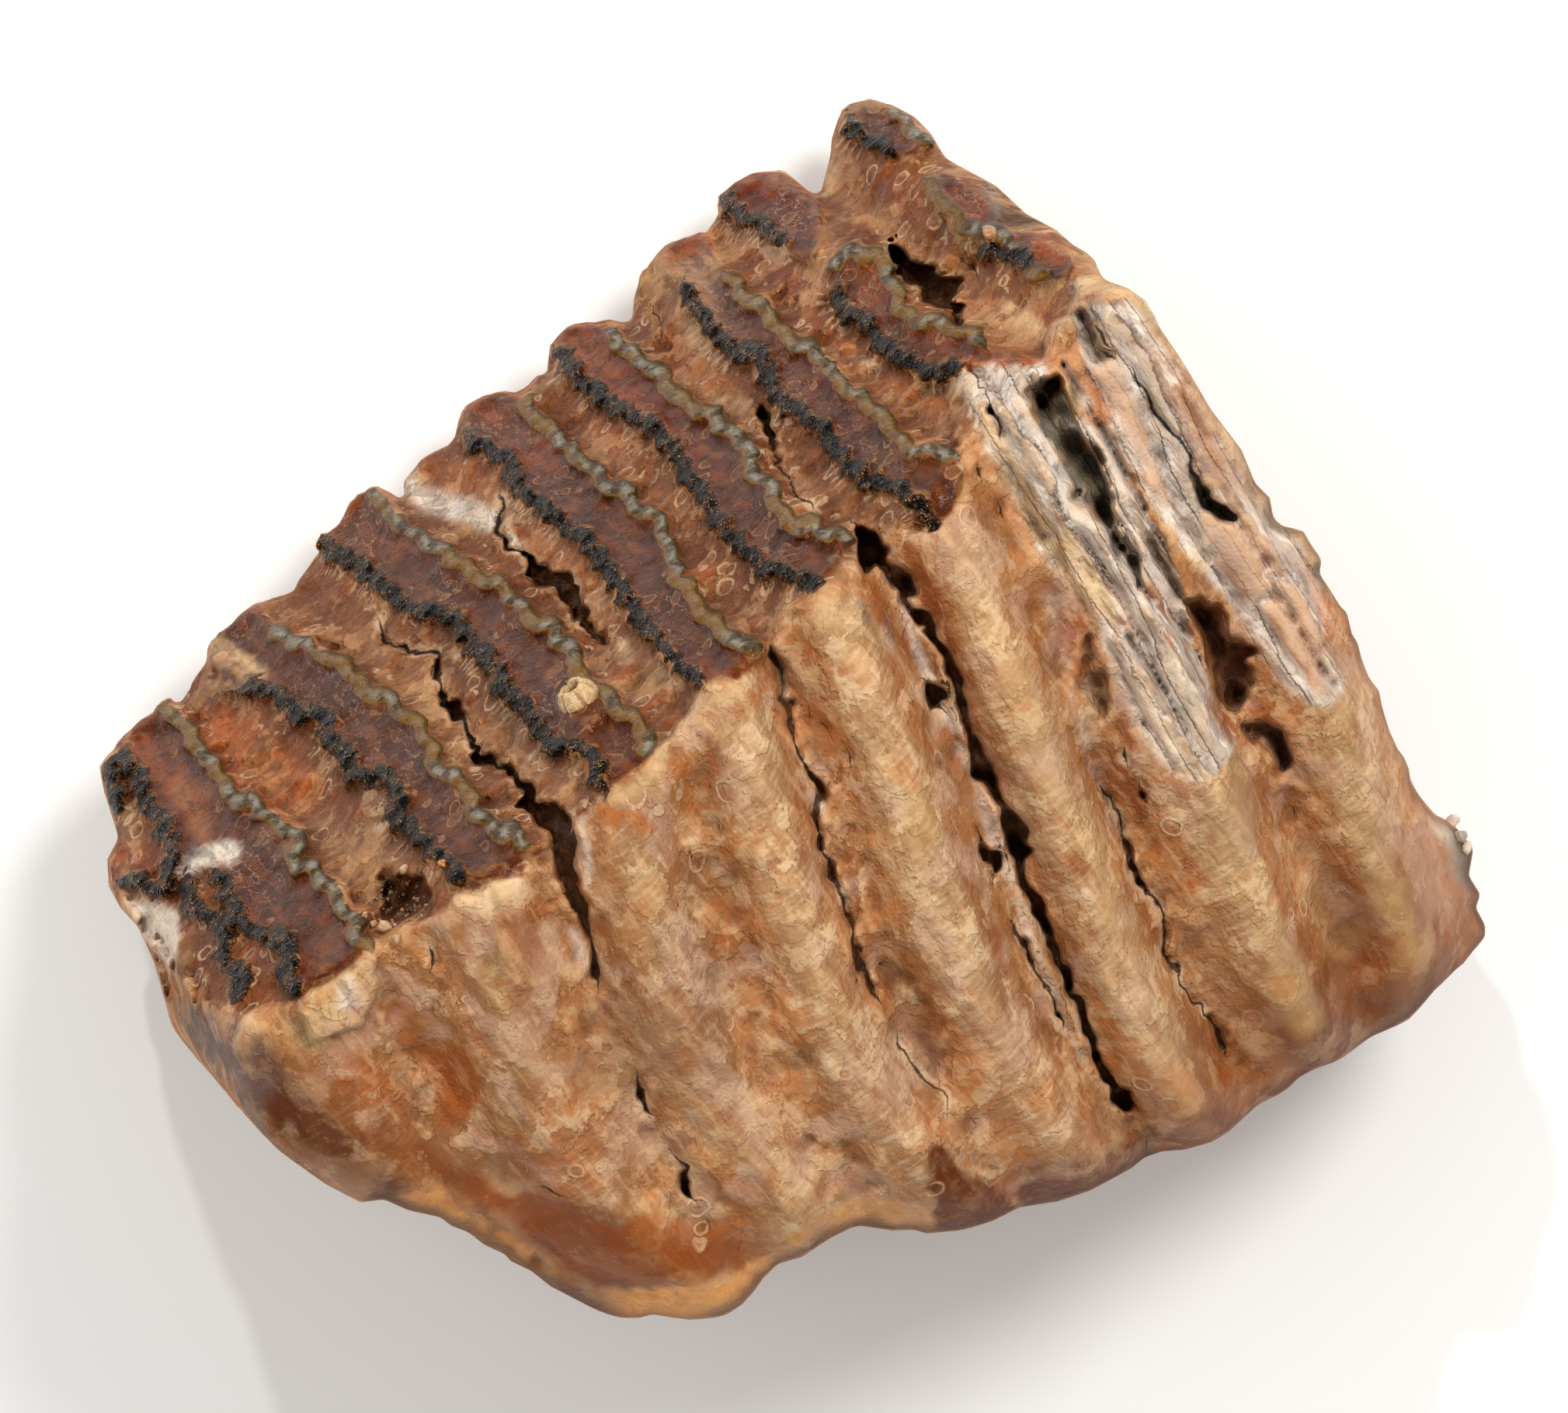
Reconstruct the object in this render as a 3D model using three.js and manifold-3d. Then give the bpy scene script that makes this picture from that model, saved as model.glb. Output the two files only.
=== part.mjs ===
// Fossil mammoth molar lying on its side: one solid tooth of eight fused plates, and the small
// barnacle shell that grew on its chewing face. Millimetres, +Z up, resting on z = 0.
//
// The tooth is described in its own axes:
//   u runs along the row of plates, from the worn front end to the tall rear end,
//   h is the height over the flat chewing face (0 there, negative towards the roots),
//   t runs across the tooth, from the side it lies on to the side that faces up.
import * as THREE from 'three';
import { mergeVertices } from 'three/addons/utils/BufferGeometryUtils.js';
import Module from 'manifold-3d';

const wasm = await Module();
wasm.setup();

// ---- driving dimensions -------------------------------------------------------------------
const MESH_DETAIL = 18;          // icosahedron detail of the tooth's skin
const AXIS_U = new THREE.Vector3(0.7567, 0.6517, -0.059).normalize();
const AXIS_H = new THREE.Vector3(-0.5636, 0.6953, 0.447);
AXIS_H.addScaledVector(AXIS_U, -AXIS_H.dot(AXIS_U)).normalize();
const AXIS_T = new THREE.Vector3().crossVectors(AXIS_U, AXIS_H);
const TOOTH_ORIGIN = new THREE.Vector3(-61.27, -15.46, 0);
const TAPER_HEIGHT = 800;        // the plan outline draws in towards a point this high over it
const FLOOR = -65.6;             // height of the worn flat spot, before the part is set on z = 0
const SHIFT = new THREE.Vector3(-0.205, -1.495, 65.6); // sets the outline's middle and the flat spot on the origin
const RIB_HEIGHT = 1.8;          // plates stand this proud of the middle line on the sides
const PLATE_RELIEF = 0.8;        // and this much on the chewing face
const FLUTES = { height: 1.1, pitch: 15 }; // upright flutes on the rear end
const CLEFT_DEPTH = 9;           // cracks between the plates
const CAVITY_DEPTH = 13;         // broken hollows at the rear plates
const SHELL = { base: 2.15, waist: 1.95, lip: 1.25, height: 2.5, mouth: 0.8, bore: 0.95, floor: 0.7, gap: 0.3, seat: 2.7, sink: 0.5 };

// Bounds of the tooth in its own axes, as [u, value] or [h, value] pairs.
const UPPER_SIDE = [[-20, 34], [0, 41], [15, 46.5], [25, 49], [40, 50.5], [55, 49.5], [70, 47], [84, 46.5], [99, 43], [114, 42], [130, 40]];
const LOWER_SIDE = [[-20, 42], [-5, 46], [5, 48], [11, 50], [27, 52.5], [40, 54.5], [54, 55], [66, 53], [76, 51], [87, 52], [95, 53.5], [111, 50.5], [130, 47]];
const ROOT_END = [[-24, -42], [-12, -54], [0, -66], [12, -73], [24, -77], [36, -85], [53, -92], [73, -98], [87, -102], [100, -104], [130, -104]];
const FRONT_END = [[-100, -4], [-60, -13], [-40, -20], [-25, -23], [-10, -19], [0, -13], [10, -10]];
const REAR_END = [[-100, 110], [-90, 112], [-73, 114], [-60, 116], [-40, 119], [-12, 121], [0, 121], [10, 121]];

// Plan outline of the lying tooth at the datum height, clockwise from its highest plate.
const OUTLINE = [
  [8.8, 67.8], [9.8, 67.8], [10.7, 67.5], [14.4, 65.5], [16.3, 63.6], [17.7, 61.2], [18.2, 60.7], [23.5, 57.8], [26.9, 54.7],
  [30.2, 52.9], [32.0, 51.3], [33.7, 50.3], [34.5, 49.5], [35.1, 47.9], [35.6, 47.3], [38.1, 46.5], [40.1, 45.1], [41.2, 43.4],
  [41.7, 42.1], [44.2, 38.4], [47.4, 33.0], [50.8, 28.4], [52.3, 24.8], [53.9, 23.2], [54.3, 21.2], [54.5, 20.7], [55.4, 20.0],
  [57.8, 19.7], [58.9, 17.8], [59.8, 17.0], [60.0, 16.1], [59.8, 14.9], [60.0, 14.3], [61.9, 11.4], [62.9, 10.7], [63.2, 8.2],
  [64.0, 7.2], [64.3, 5.8], [65.2, 3.4], [66.4, 2.0], [66.5, 0.3], [67.3, -2.4], [68.1, -4.5], [69.2, -5.8], [69.6, -7.0],
  [69.6, -8.0], [70.6, -9.9], [72.2, -11.9], [73.8, -12.7], [74.8, -13.4], [76.4, -15.5], [76.5, -16.1], [76.0, -18.8], [77.2, -20.7],
  [77.2, -21.2], [76.8, -22.3], [77.8, -24.2], [78.0, -25.5], [76.9, -28.0], [76.1, -29.2], [72.3, -31.6], [69.4, -34.7], [64.0, -38.4],
  [58.9, -40.3], [57.1, -41.2], [55.0, -43.4], [50.8, -46.4], [47.5, -48.4], [44.4, -49.2], [42.0, -49.4], [39.9, -50.3], [38.4, -51.4],
  [33.9, -53.8], [30.3, -55.0], [26.2, -55.6], [23.3, -57.1], [21.0, -57.8], [19.4, -58.2], [15.7, -58.5], [14.5, -58.1], [11.9, -58.2],
  [8.7, -57.7], [7.7, -57.8], [5.1, -59.1], [2.0, -61.1], [-0.7, -61.9], [-2.3, -63.4], [-3.3, -64.9], [-4.6, -66.4], [-6.5, -67.7],
  [-10.0, -69.0], [-11.2, -69.0], [-14.6, -68.3], [-15.8, -68.7], [-16.6, -68.7], [-18.2, -68.4], [-25.9, -64.4], [-28.1, -62.7], [-30.4, -61.6],
  [-30.9, -60.9], [-33.3, -59.7], [-35.0, -58.4], [-36.9, -57.7], [-38.1, -56.7], [-41.7, -55.9], [-44.4, -54.7], [-46.9, -55.1], [-48.5, -54.3],
  [-50.9, -53.0], [-56.2, -49.2], [-61.2, -44.7], [-65.8, -39.6], [-68.1, -36.4], [-68.5, -35.3], [-68.6, -33.3], [-70.0, -28.3], [-71.7, -24.5],
  [-73.7, -22.3], [-75.0, -20.0], [-75.1, -17.0], [-74.0, -14.9], [-73.9, -14.3], [-75.5, -9.5], [-76.0, -6.7], [-73.9, -3.4], [-72.1, -1.0],
  [-67.3, 2.2], [-66.2, 3.9], [-65.9, 5.9], [-64.9, 7.3], [-63.1, 8.6], [-61.7, 9.3], [-60.4, 10.6], [-57.3, 12.9], [-55.7, 13.4],
  [-54.7, 13.4], [-54.4, 13.4], [-54.1, 15.0], [-52.7, 17.6], [-52.3, 19.7], [-50.5, 21.2], [-49.9, 22.9], [-48.3, 24.0], [-46.4, 24.7],
  [-44.5, 24.5], [-42.8, 23.2], [-42.3, 23.1], [-42.1, 23.6], [-42.7, 26.2], [-42.3, 27.6], [-40.8, 28.1], [-38.7, 28.4], [-37.2, 29.1],
  [-36.5, 29.9], [-36.1, 32.2], [-35.5, 33.5], [-33.5, 34.8], [-32.1, 35.3], [-28.6, 35.6], [-27.4, 36.8], [-26.3, 36.9], [-26.0, 40.2],
  [-24.4, 42.5], [-23.3, 43.0], [-21.7, 43.3], [-19.1, 43.3], [-17.8, 42.7], [-17.0, 42.8], [-16.9, 43.3], [-16.3, 49.1], [-15.9, 50.0],
  [-12.5, 52.5], [-10.8, 53.0], [-9.0, 53.0], [-8.5, 53.2], [-8.2, 53.8], [-7.6, 57.2], [-5.5, 58.9], [-3.0, 59.9], [-0.6, 59.8],
  [0.0, 59.5], [2.8, 57.2], [3.5, 56.9], [4.1, 57.1], [5.1, 61.0], [5.3, 63.1], [6.2, 66.1], [7.1, 67.2],
];

// Which plate a point belongs to: a cubic of u, h and t, whole numbers on the plates' middles.
const PLATE_NUMBER = [[0, 0, 0, 3.4473], [1, 0, 0, 4.1028], [2, 0, 0, 0.4955], [3, 0, 0, -0.1505], [0, 1, 0, -1.2893], [0, 2, 0, -0.3085], [1, 1, 0, 0.9295], [1, 2, 0, 0.6098], [2, 1, 0, 0.7002], [0, 0, 1, 0.0914], [0, 0, 2, 0.0495], [1, 0, 1, 0.0315], [1, 0, 2, -0.1157], [0, 0, 3, -0.0421], [2, 0, 1, -0.1152]];

// Cracks and broken hollows that are open to the upper side: [x, y, width] along each at the datum height.
const CLEFTS = {
  BC: [
    [-45.3, 9.5, 1.4], [-43.5, 6.6, 1.4], [-39.7, 6.5, 1.4], [-38.1, 3.4, 1.4], [-36.7, -0.5, 1.5], [-33.7, -5.6, 1.4], [-30.8, -6.9, 1.4],
    [-28.3, -9.5, 1.4], [-26.8, -12.1, 2.2], [-24.6, -14.4, 2.0], [-24.1, -18.5, 1.4], [-22.4, -22.7, 1.4], [-21.2, -27.8, 1.4], [-20.6, -31.5, 1.4],
  ],
  CD: [
    [-31.9, 23.7, 1.3], [-31.9, 19.8, 1.3], [-29.4, 17.7, 1.3], [-26.9, 14.9, 1.7], [-24.5, 12.7, 2.3], [-21.9, 9.3, 1.3], [-19.5, 7.0, 1.3],
  ],
  DE: [
    [-1.9, 7.3, 1.2], [-0.4, 3.2, 1.2], [0.4, 0.0, 1.2], [0.8, -3.2, 1.2], [1.9, -6.1, 1.2], [3.4, -9.0, 1.2], [3.1, -11.9, 1.2],
    [4.4, -15.3, 1.2], [6.2, -20.9, 1.2], [7.4, -24.3, 1.2], [8.4, -27.7, 1.2], [9.0, -30.7, 1.2], [10.7, -33.2, 1.2],
  ],
  EF: [
    [7.8, 20.2, 1.5], [9.4, 16.3, 2.6], [12.0, 14.1, 1.5], [13.4, 11.4, 1.5], [15.8, 8.7, 1.5], [17.8, 5.2, 1.5], [19.6, -0.3, 1.5],
    [21.7, -6.3, 1.5], [25.2, -12.8, 1.6], [26.8, -18.3, 1.5], [29.2, -24.6, 1.5], [30.4, -27.9, 1.5], [31.9, -30.4, 1.5], [34.0, -35.3, 1.5],
    [35.2, -38.3, 1.5], [36.2, -41.6, 1.5], [39.2, -45.0, 1.5],
  ],
  FG: [
    [35.2, -8.4, 1.2], [36.6, -11.2, 1.2], [37.9, -16.1, 1.2], [40.0, -20.3, 1.2], [42.5, -24.8, 1.2], [43.7, -30.0, 1.2], [47.6, -34.6, 1.2],
    [49.2, -38.7, 1.2],
  ],
  Z1: [
    [28.1, 34.8, 4.5], [28.5, 31.8, 4.5], [30.5, 29.0, 4.5], [31.2, 25.4, 4.5], [35.6, 19.7, 4.5], [37.9, 16.1, 4.5], [39.1, 14.7, 4.5],
  ],
  Z3: [
    [38.4, 37.5, 1.6], [40.6, 33.9, 1.6], [44.9, 27.7, 1.6], [46.8, 24.0, 1.6], [49.3, 20.3, 1.6],
  ],
};
const HOLLOW = [[45.1, 11.9], [47.6, 12.8], [49.6, 8.6], [51.4, 3.2], [52.6, -1.0], [50.2, 0.4], [47.4, 4.4], [45.4, 8.2]];
const PIT = { x: -42.6, y: -22.1, r: 3.2, depth: 5 };
const SHELL_AT = [-22.6, 0.7];

// ---- the tooth's implicit surface ---------------------------------------------------------
const lerpTable = (table, x) => {
  if (x <= table[0][0]) return table[0][1];
  for (let i = 1; i < table.length; i++) {
    if (x <= table[i][0]) {
      const [x0, y0] = table[i - 1], [x1, y1] = table[i];
      return y0 + (y1 - y0) * (x - x0) / (x1 - x0);
    }
  }
  return table[table.length - 1][1];
};
const soft = (table, x, w) => (lerpTable(table, x - w) + lerpTable(table, x + w) + 2 * lerpTable(table, x)
  + lerpTable(table, x - w / 2) + lerpTable(table, x + w / 2)) / 6;
// Intersection of two solids with a round edge of radius r.
const roundMax = (a, b, r) => Math.min(Math.max(a, b), -r) + Math.hypot(Math.max(a + r, 0), Math.max(b + r, 0));

// Distance to the plan outline, positive inside.
function outlineDistance(x, y) {
  let best = Infinity, inside = false;
  for (let i = 0, n = OUTLINE.length; i < n; i++) {
    const [ax, ay] = OUTLINE[i], [bx, by] = OUTLINE[(i + 1) % n];
    const vx = bx - ax, vy = by - ay;
    const k = Math.min(1, Math.max(0, ((x - ax) * vx + (y - ay) * vy) / (vx * vx + vy * vy)));
    const dx = x - ax - k * vx, dy = y - ay - k * vy;
    best = Math.min(best, dx * dx + dy * dy);
    if ((ay > y) !== (by > y) && x < (bx - ax) * (y - ay) / (by - ay) + ax) inside = !inside;
  }
  return (inside ? 1 : -1) * Math.sqrt(best);
}
const plateNumber = (u, h, t) => {
  const U = u / 60 - 1, H = h / 45, T = t / 50;
  return PLATE_NUMBER.reduce((sum, [a, b, c, k]) => sum + k * U ** a * H ** b * T ** c, 0);
};
const p = new THREE.Vector3();
function toothField(x, y, z) {
  p.set(x, y, z).sub(TOOTH_ORIGIN);
  const u = p.dot(AXIS_U), h = p.dot(AXIS_H), t = p.dot(AXIS_T);
  const shrink = 1 - z / TAPER_HEIGHT;
  let low = Math.min(1, Math.max(0, (-8 - h) / 22));
  low = low * low * (3 - 2 * low);
  const bulge = 2.2 - 2.2 * ((h + 30) / 30) ** 2 * (h < -30 ? 0.9 : 1);
  const crown = roundMax(h, t - soft(UPPER_SIDE, u, 4) - bulge, 2);
  let ends = roundMax(-t - soft(LOWER_SIDE, u, 5) + 0.004 * Math.min(h + 4, 0) ** 2, lerpTable(FRONT_END, h) - u, 8);
  ends = roundMax(ends, u - lerpTable(REAR_END, h) + 0.001 * t * t
    + FLUTES.height * (1 + Math.cos(2 * Math.PI * (t + 0.06 * h) / FLUTES.pitch)), 6);
  ends = roundMax(ends, soft(ROOT_END, u, 5) - h, 9);
  let f = roundMax(crown, ends, 3 + 5 * low);
  const wave = Math.cos(2 * Math.PI * plateNumber(u, h, t));
  const side = Math.min(1, Math.max(0, (-h - 2) / 6));
  f -= wave * (RIB_HEIGHT * side + PLATE_RELIEF * (1 - side));
  return roundMax(f, -outlineDistance(x / shrink, y / shrink) * shrink, 1.2 + 4.8 * low);
}

// ---- meshes and solids --------------------------------------------------------------------
function toSolid(geometry) {
  const g = geometry.clone();
  g.deleteAttribute('normal');
  g.deleteAttribute('uv');
  const merged = mergeVertices(g, 1e-4);
  return new wasm.Manifold(new wasm.Mesh({
    numProp: 3, vertProperties: merged.attributes.position.array, triVerts: new Uint32Array(merged.index.array),
  }));
}
function toGeometry(solid) {
  const m = solid.getMesh();
  const g = new THREE.BufferGeometry();
  const pos = new Float32Array(m.numVert * 3);
  for (let i = 0; i < m.numVert; i++) for (let k = 0; k < 3; k++) pos[3 * i + k] = m.vertProperties[i * m.numProp + k];
  g.setAttribute('position', new THREE.BufferAttribute(pos, 3));
  g.setIndex(new THREE.BufferAttribute(new Uint32Array(m.triVerts), 1));
  g.computeVertexNormals();
  return g;
}

// The skin: an icosphere whose points move out or in along their rays until they meet the surface.
const HEART = new THREE.Vector3(3, -4, -14);
function toothSkin() {
  const g = new THREE.IcosahedronGeometry(1, MESH_DETAIL);
  g.deleteAttribute('normal');
  g.deleteAttribute('uv');
  const skin = mergeVertices(g, 1e-5);
  const pos = skin.attributes.position, d = new THREE.Vector3();
  for (let i = 0; i < pos.count; i++) {
    d.fromBufferAttribute(pos, i).normalize();
    const at = (r) => toothField(HEART.x + d.x * r, HEART.y + d.y * r, HEART.z + d.z * r);
    let out = 125;
    while (out > 4 && at(out) > 0) out -= 1;
    let lo = out, hi = out + 1;
    for (let k = 0; k < 16; k++) { const mid = (lo + hi) / 2; if (at(mid) > 0) hi = mid; else lo = mid; }
    pos.setXYZ(i, HEART.x + d.x * lo, HEART.y + d.y * lo, HEART.z + d.z * lo);
  }
  return skin;
}

// Height of the surface over a point of the plan.
function surfaceOver(a, b) {
  let z = 60;
  while (z > FLOOR && toothField(a * (1 - z / TAPER_HEIGHT), b * (1 - z / TAPER_HEIGHT), z) > 0) z -= 0.5;
  return z;
}
// A cutter that follows the surface: an extruded plan shape, bent to lie from depth below it to 8 mm above.
function cutter(points, depth) {
  const g = new THREE.ExtrudeGeometry(new THREE.Shape(points.map(([x, y]) => new THREE.Vector2(x, y))),
    { depth: 1, bevelEnabled: false, steps: 1 });
  const pos = g.attributes.position;
  for (let i = 0; i < pos.count; i++) {
    const a = pos.getX(i), b = pos.getY(i), top = pos.getZ(i) > 0.5;
    const z = surfaceOver(a, b) + (top ? 8 : -depth);
    pos.setXYZ(i, a * (1 - z / TAPER_HEIGHT), b * (1 - z / TAPER_HEIGHT), z);
  }
  return toSolid(g);
}
function ribbon(line) {
  const left = [], right = [];
  line.forEach(([x, y, w], i) => {
    const [px, py] = line[Math.max(0, i - 1)], [nx, ny] = line[Math.min(line.length - 1, i + 1)];
    const len = Math.hypot(nx - px, ny - py), half = (i === 0 || i === line.length - 1 ? 0.35 : 0.5) * w;
    const ox = -(ny - py) / len * half, oy = (nx - px) / len * half;
    left.push([x + ox, y + oy]);
    right.unshift([x - ox, y - oy]);
  });
  return [...left, ...right];
}

let tooth = toSolid(toothSkin());
for (const [name, line] of Object.entries(CLEFTS)) tooth = tooth.subtract(cutter(ribbon(line), name === 'Z1' ? CAVITY_DEPTH : CLEFT_DEPTH));
tooth = tooth.subtract(cutter(HOLLOW, CAVITY_DEPTH));
const rim = new THREE.Path().absellipse(PIT.x, PIT.y, PIT.r, PIT.r * 0.85, 0, 2 * Math.PI, false, -0.6).getPoints(16).slice(0, -1);
tooth = tooth.subtract(cutter(rim.map((v) => [v.x, v.y]), PIT.depth));

// The worn flat spot that it rests on.
const keep = new THREE.BoxGeometry(300, 300, 200);
keep.translate(0, 0, FLOOR + 100);
tooth = tooth.intersect(toSolid(keep));

// The barnacle: a hollow cone whose axis stands on the chewing face, in a shallow seat of its own.
const shellFoot = (() => {
  const [a, b] = SHELL_AT, z = surfaceOver(a, b);
  return new THREE.Vector3(a * (1 - z / TAPER_HEIGHT), b * (1 - z / TAPER_HEIGHT), z);
})();
const shellTurn = new THREE.Quaternion().setFromUnitVectors(new THREE.Vector3(0, 1, 0), AXIS_H);
const seat = new THREE.CylinderGeometry(SHELL.seat, SHELL.seat, 4, 24);
seat.translate(0, 2 - SHELL.sink, 0);
seat.applyQuaternion(shellTurn).translate(shellFoot.x, shellFoot.y, shellFoot.z);
tooth = tooth.subtract(toSolid(seat));

const toothMesh = new THREE.Mesh(toGeometry(tooth), new THREE.MeshStandardMaterial({ color: 0xa8703f, roughness: 0.45, metalness: 0 }));
toothMesh.name = 'molar';

const s = SHELL, V = (x, y) => new THREE.Vector2(x, y);
const shellShape = new THREE.LatheGeometry([V(0, 0), V(s.base, 0), V(s.waist, 0.35 * s.height), V(s.lip, s.height),
  V(s.mouth, 0.96 * s.height), V(s.bore, 0.6 * s.height), V(0.7 * s.bore, s.floor), V(0, s.floor)], 24);
const shellMesh = new THREE.Mesh(shellShape, new THREE.MeshStandardMaterial({ color: 0xd9b987, roughness: 0.5, metalness: 0 }));
shellMesh.name = 'barnacle_shell';
shellMesh.quaternion.copy(shellTurn);
shellMesh.position.copy(shellFoot).addScaledVector(AXIS_H, SHELL.gap - SHELL.sink);

const molar = new THREE.Group();
const lying = new THREE.Group();
lying.position.copy(SHIFT);
lying.add(toothMesh, shellMesh);
molar.add(lying);
export default molar;
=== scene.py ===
"""Fossil mammoth molar: the fine surface, its colours, the light and the camera.

The tooth is an implicit surface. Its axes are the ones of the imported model: u runs along the row of
plates, h is the height over the chewing face and t runs across to the side that faces up. The lines of
enamel, the cracks and the broken places are given by where they are seen from above, in pixels of a
2019 x 1820 frame, and carved into that surface.
"""
import math
import bpy
import numpy as np
import openvdb
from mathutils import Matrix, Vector


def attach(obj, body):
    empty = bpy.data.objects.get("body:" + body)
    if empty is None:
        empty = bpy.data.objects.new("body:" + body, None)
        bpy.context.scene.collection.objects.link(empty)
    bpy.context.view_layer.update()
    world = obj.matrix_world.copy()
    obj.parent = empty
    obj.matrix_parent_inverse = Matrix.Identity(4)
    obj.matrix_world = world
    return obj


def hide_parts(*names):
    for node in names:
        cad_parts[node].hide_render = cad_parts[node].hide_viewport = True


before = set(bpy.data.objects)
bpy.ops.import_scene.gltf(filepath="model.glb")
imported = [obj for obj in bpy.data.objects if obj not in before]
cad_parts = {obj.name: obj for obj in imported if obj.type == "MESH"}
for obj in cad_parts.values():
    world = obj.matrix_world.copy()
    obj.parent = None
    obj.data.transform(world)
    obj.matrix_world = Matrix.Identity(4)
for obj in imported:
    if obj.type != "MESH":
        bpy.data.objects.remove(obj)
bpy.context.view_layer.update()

# ------------------------------------------------------------------ frame, in millimetres
EYE = 800.0                 # height of the viewpoint over the datum
PX = 11.6                   # pixels per millimetre at the datum
CX, CY = 1009.5, 910.0      # middle of the 2019 x 1820 frame
SHIFT = np.array([-0.205, -1.495, 65.6])
FLOOR = -65.6
L = np.array([0.7567, 0.6517, -0.059])
L /= np.linalg.norm(L)
E = np.array([-0.5636, 0.6953, 0.447])
E -= L * (L @ E)
E /= np.linalg.norm(E)
T = np.cross(L, E)
O = np.array([-61.27, -15.46, 0.0])
VOXEL = 0.42
TRIANGLES = 196000
FACTOR = 0.05               # how much sooner the hidden side's edges are collapsed

UPPER_SIDE = ([-20, 0, 15, 25, 40, 55, 70, 84, 99, 114, 130], [34, 41, 46.5, 49, 50.5, 49.5, 47, 46.5, 43, 42, 40])
LOWER_SIDE = ([-20, -5, 5, 11, 27, 40, 54, 66, 76, 87, 95, 111, 130], [42, 46, 48, 50, 52.5, 54.5, 55, 53, 51, 52, 53.5, 50.5, 47])
ROOT_END = ([-24, -12, 0, 12, 24, 36, 53, 73, 87, 100, 130], [-42, -54, -66, -73, -77, -85, -92, -98, -102, -104, -104])
FRONT_END = ([-100, -60, -40, -25, -10, 0, 10], [-4, -13, -20, -23, -19, -13, -10])
REAR_END = ([-100, -90, -73, -60, -40, -12, 0, 10], [110, 112, 114, 116, 119, 121, 121, 121])
PLATE_NUMBER = [(0, 0, 0, 3.4473), (1, 0, 0, 4.1028), (2, 0, 0, 0.4955), (3, 0, 0, -0.1505), (0, 1, 0, -1.2893),
                (0, 2, 0, -0.3085), (1, 1, 0, 0.9295), (1, 2, 0, 0.6098), (2, 1, 0, 0.7002), (0, 0, 1, 0.0914),
                (0, 0, 2, 0.0495), (1, 0, 1, 0.0315), (1, 0, 2, -0.1157), (0, 0, 3, -0.0421), (2, 0, 1, -0.1152)]
OUTLINE = [(1112, 124), (1123, 123), (1134, 127), (1177, 150), (1199, 172), (1215, 200), (1221, 206), (1282, 239), (1322, 276), (1360, 296), (1381, 315), (1400, 326), (1410, 336), (1417, 354), (1423, 361), (1452, 371), (1475, 387), (1487, 407), (1493, 422), (1522, 464), (1559, 527), (1599, 580), (1616, 622), (1635, 641), (1639, 664), (1642, 670), (1652, 678), (1680, 682), (1693, 703), (1703, 713), (1706, 723), (1703, 737), (1705, 744), (1728, 778), (1739, 786), (1743, 815), (1752, 827), (1755, 843), (1766, 871), (1780, 887), (1781, 907), (1790, 938), (1800, 962), (1812, 977), (1817, 991), (1817, 1003), (1828, 1025), (1847, 1048), (1866, 1057), (1877, 1066), (1896, 1090), (1897, 1097), (1891, 1128), (1905, 1150), (1905, 1156), (1900, 1169), (1912, 1191), (1914, 1206), (1901, 1235), (1892, 1249), (1848, 1276), (1815, 1313), (1752, 1356), (1693, 1377), (1672, 1388), (1648, 1414), (1599, 1448), (1560, 1471), (1525, 1481), (1497, 1483), (1472, 1493), (1455, 1506), (1403, 1534), (1361, 1548), (1313, 1555), (1280, 1572), (1253, 1581), (1234, 1585), (1192, 1589), (1178, 1584), (1148, 1585), (1110, 1579), (1099, 1580), (1069, 1595), (1033, 1619), (1001, 1628), (983, 1646), (971, 1663), (956, 1680), (934, 1695), (893, 1710), (879, 1710), (840, 1702), (826, 1707), (817, 1707), (798, 1703), (709, 1657), (684, 1637), (657, 1624), (651, 1616), (623, 1603), (603, 1587), (581, 1579), (567, 1568), (526, 1559), (494, 1545), (465, 1549), (447, 1540), (419, 1525), (357, 1481), (299, 1428), (246, 1369), (220, 1332), (215, 1320), (214, 1296), (198, 1238), (178, 1194), (155, 1169), (140, 1142), (138, 1107), (151, 1083), (152, 1076), (134, 1020), (128, 988), (152, 949), (173, 922), (229, 885), (241, 865), (245, 842), (257, 825), (278, 810), (294, 802), (309, 787), (345, 760), (363, 754), (375, 755), (378, 754), (382, 736), (398, 706), (403, 682), (424, 664), (431, 644), (449, 632), (471, 624), (493, 626), (513, 641), (519, 642), (521, 636), (514, 606), (519, 590), (536, 584), (561, 581), (578, 573), (586, 563), (591, 537), (598, 521), (621, 506), (637, 501), (678, 497), (692, 483), (704, 482), (708, 444), (727, 417), (739, 411), (758, 408), (788, 408), (803, 415), (812, 413), (814, 408), (820, 340), (825, 330), (865, 301), (884, 295), (905, 295), (911, 293), (914, 286), (921, 247), (946, 227), (975, 215), (1003, 216), (1010, 220), (1042, 247), (1050, 250), (1057, 248), (1069, 202), (1071, 178), (1082, 143), (1092, 131)]
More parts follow.
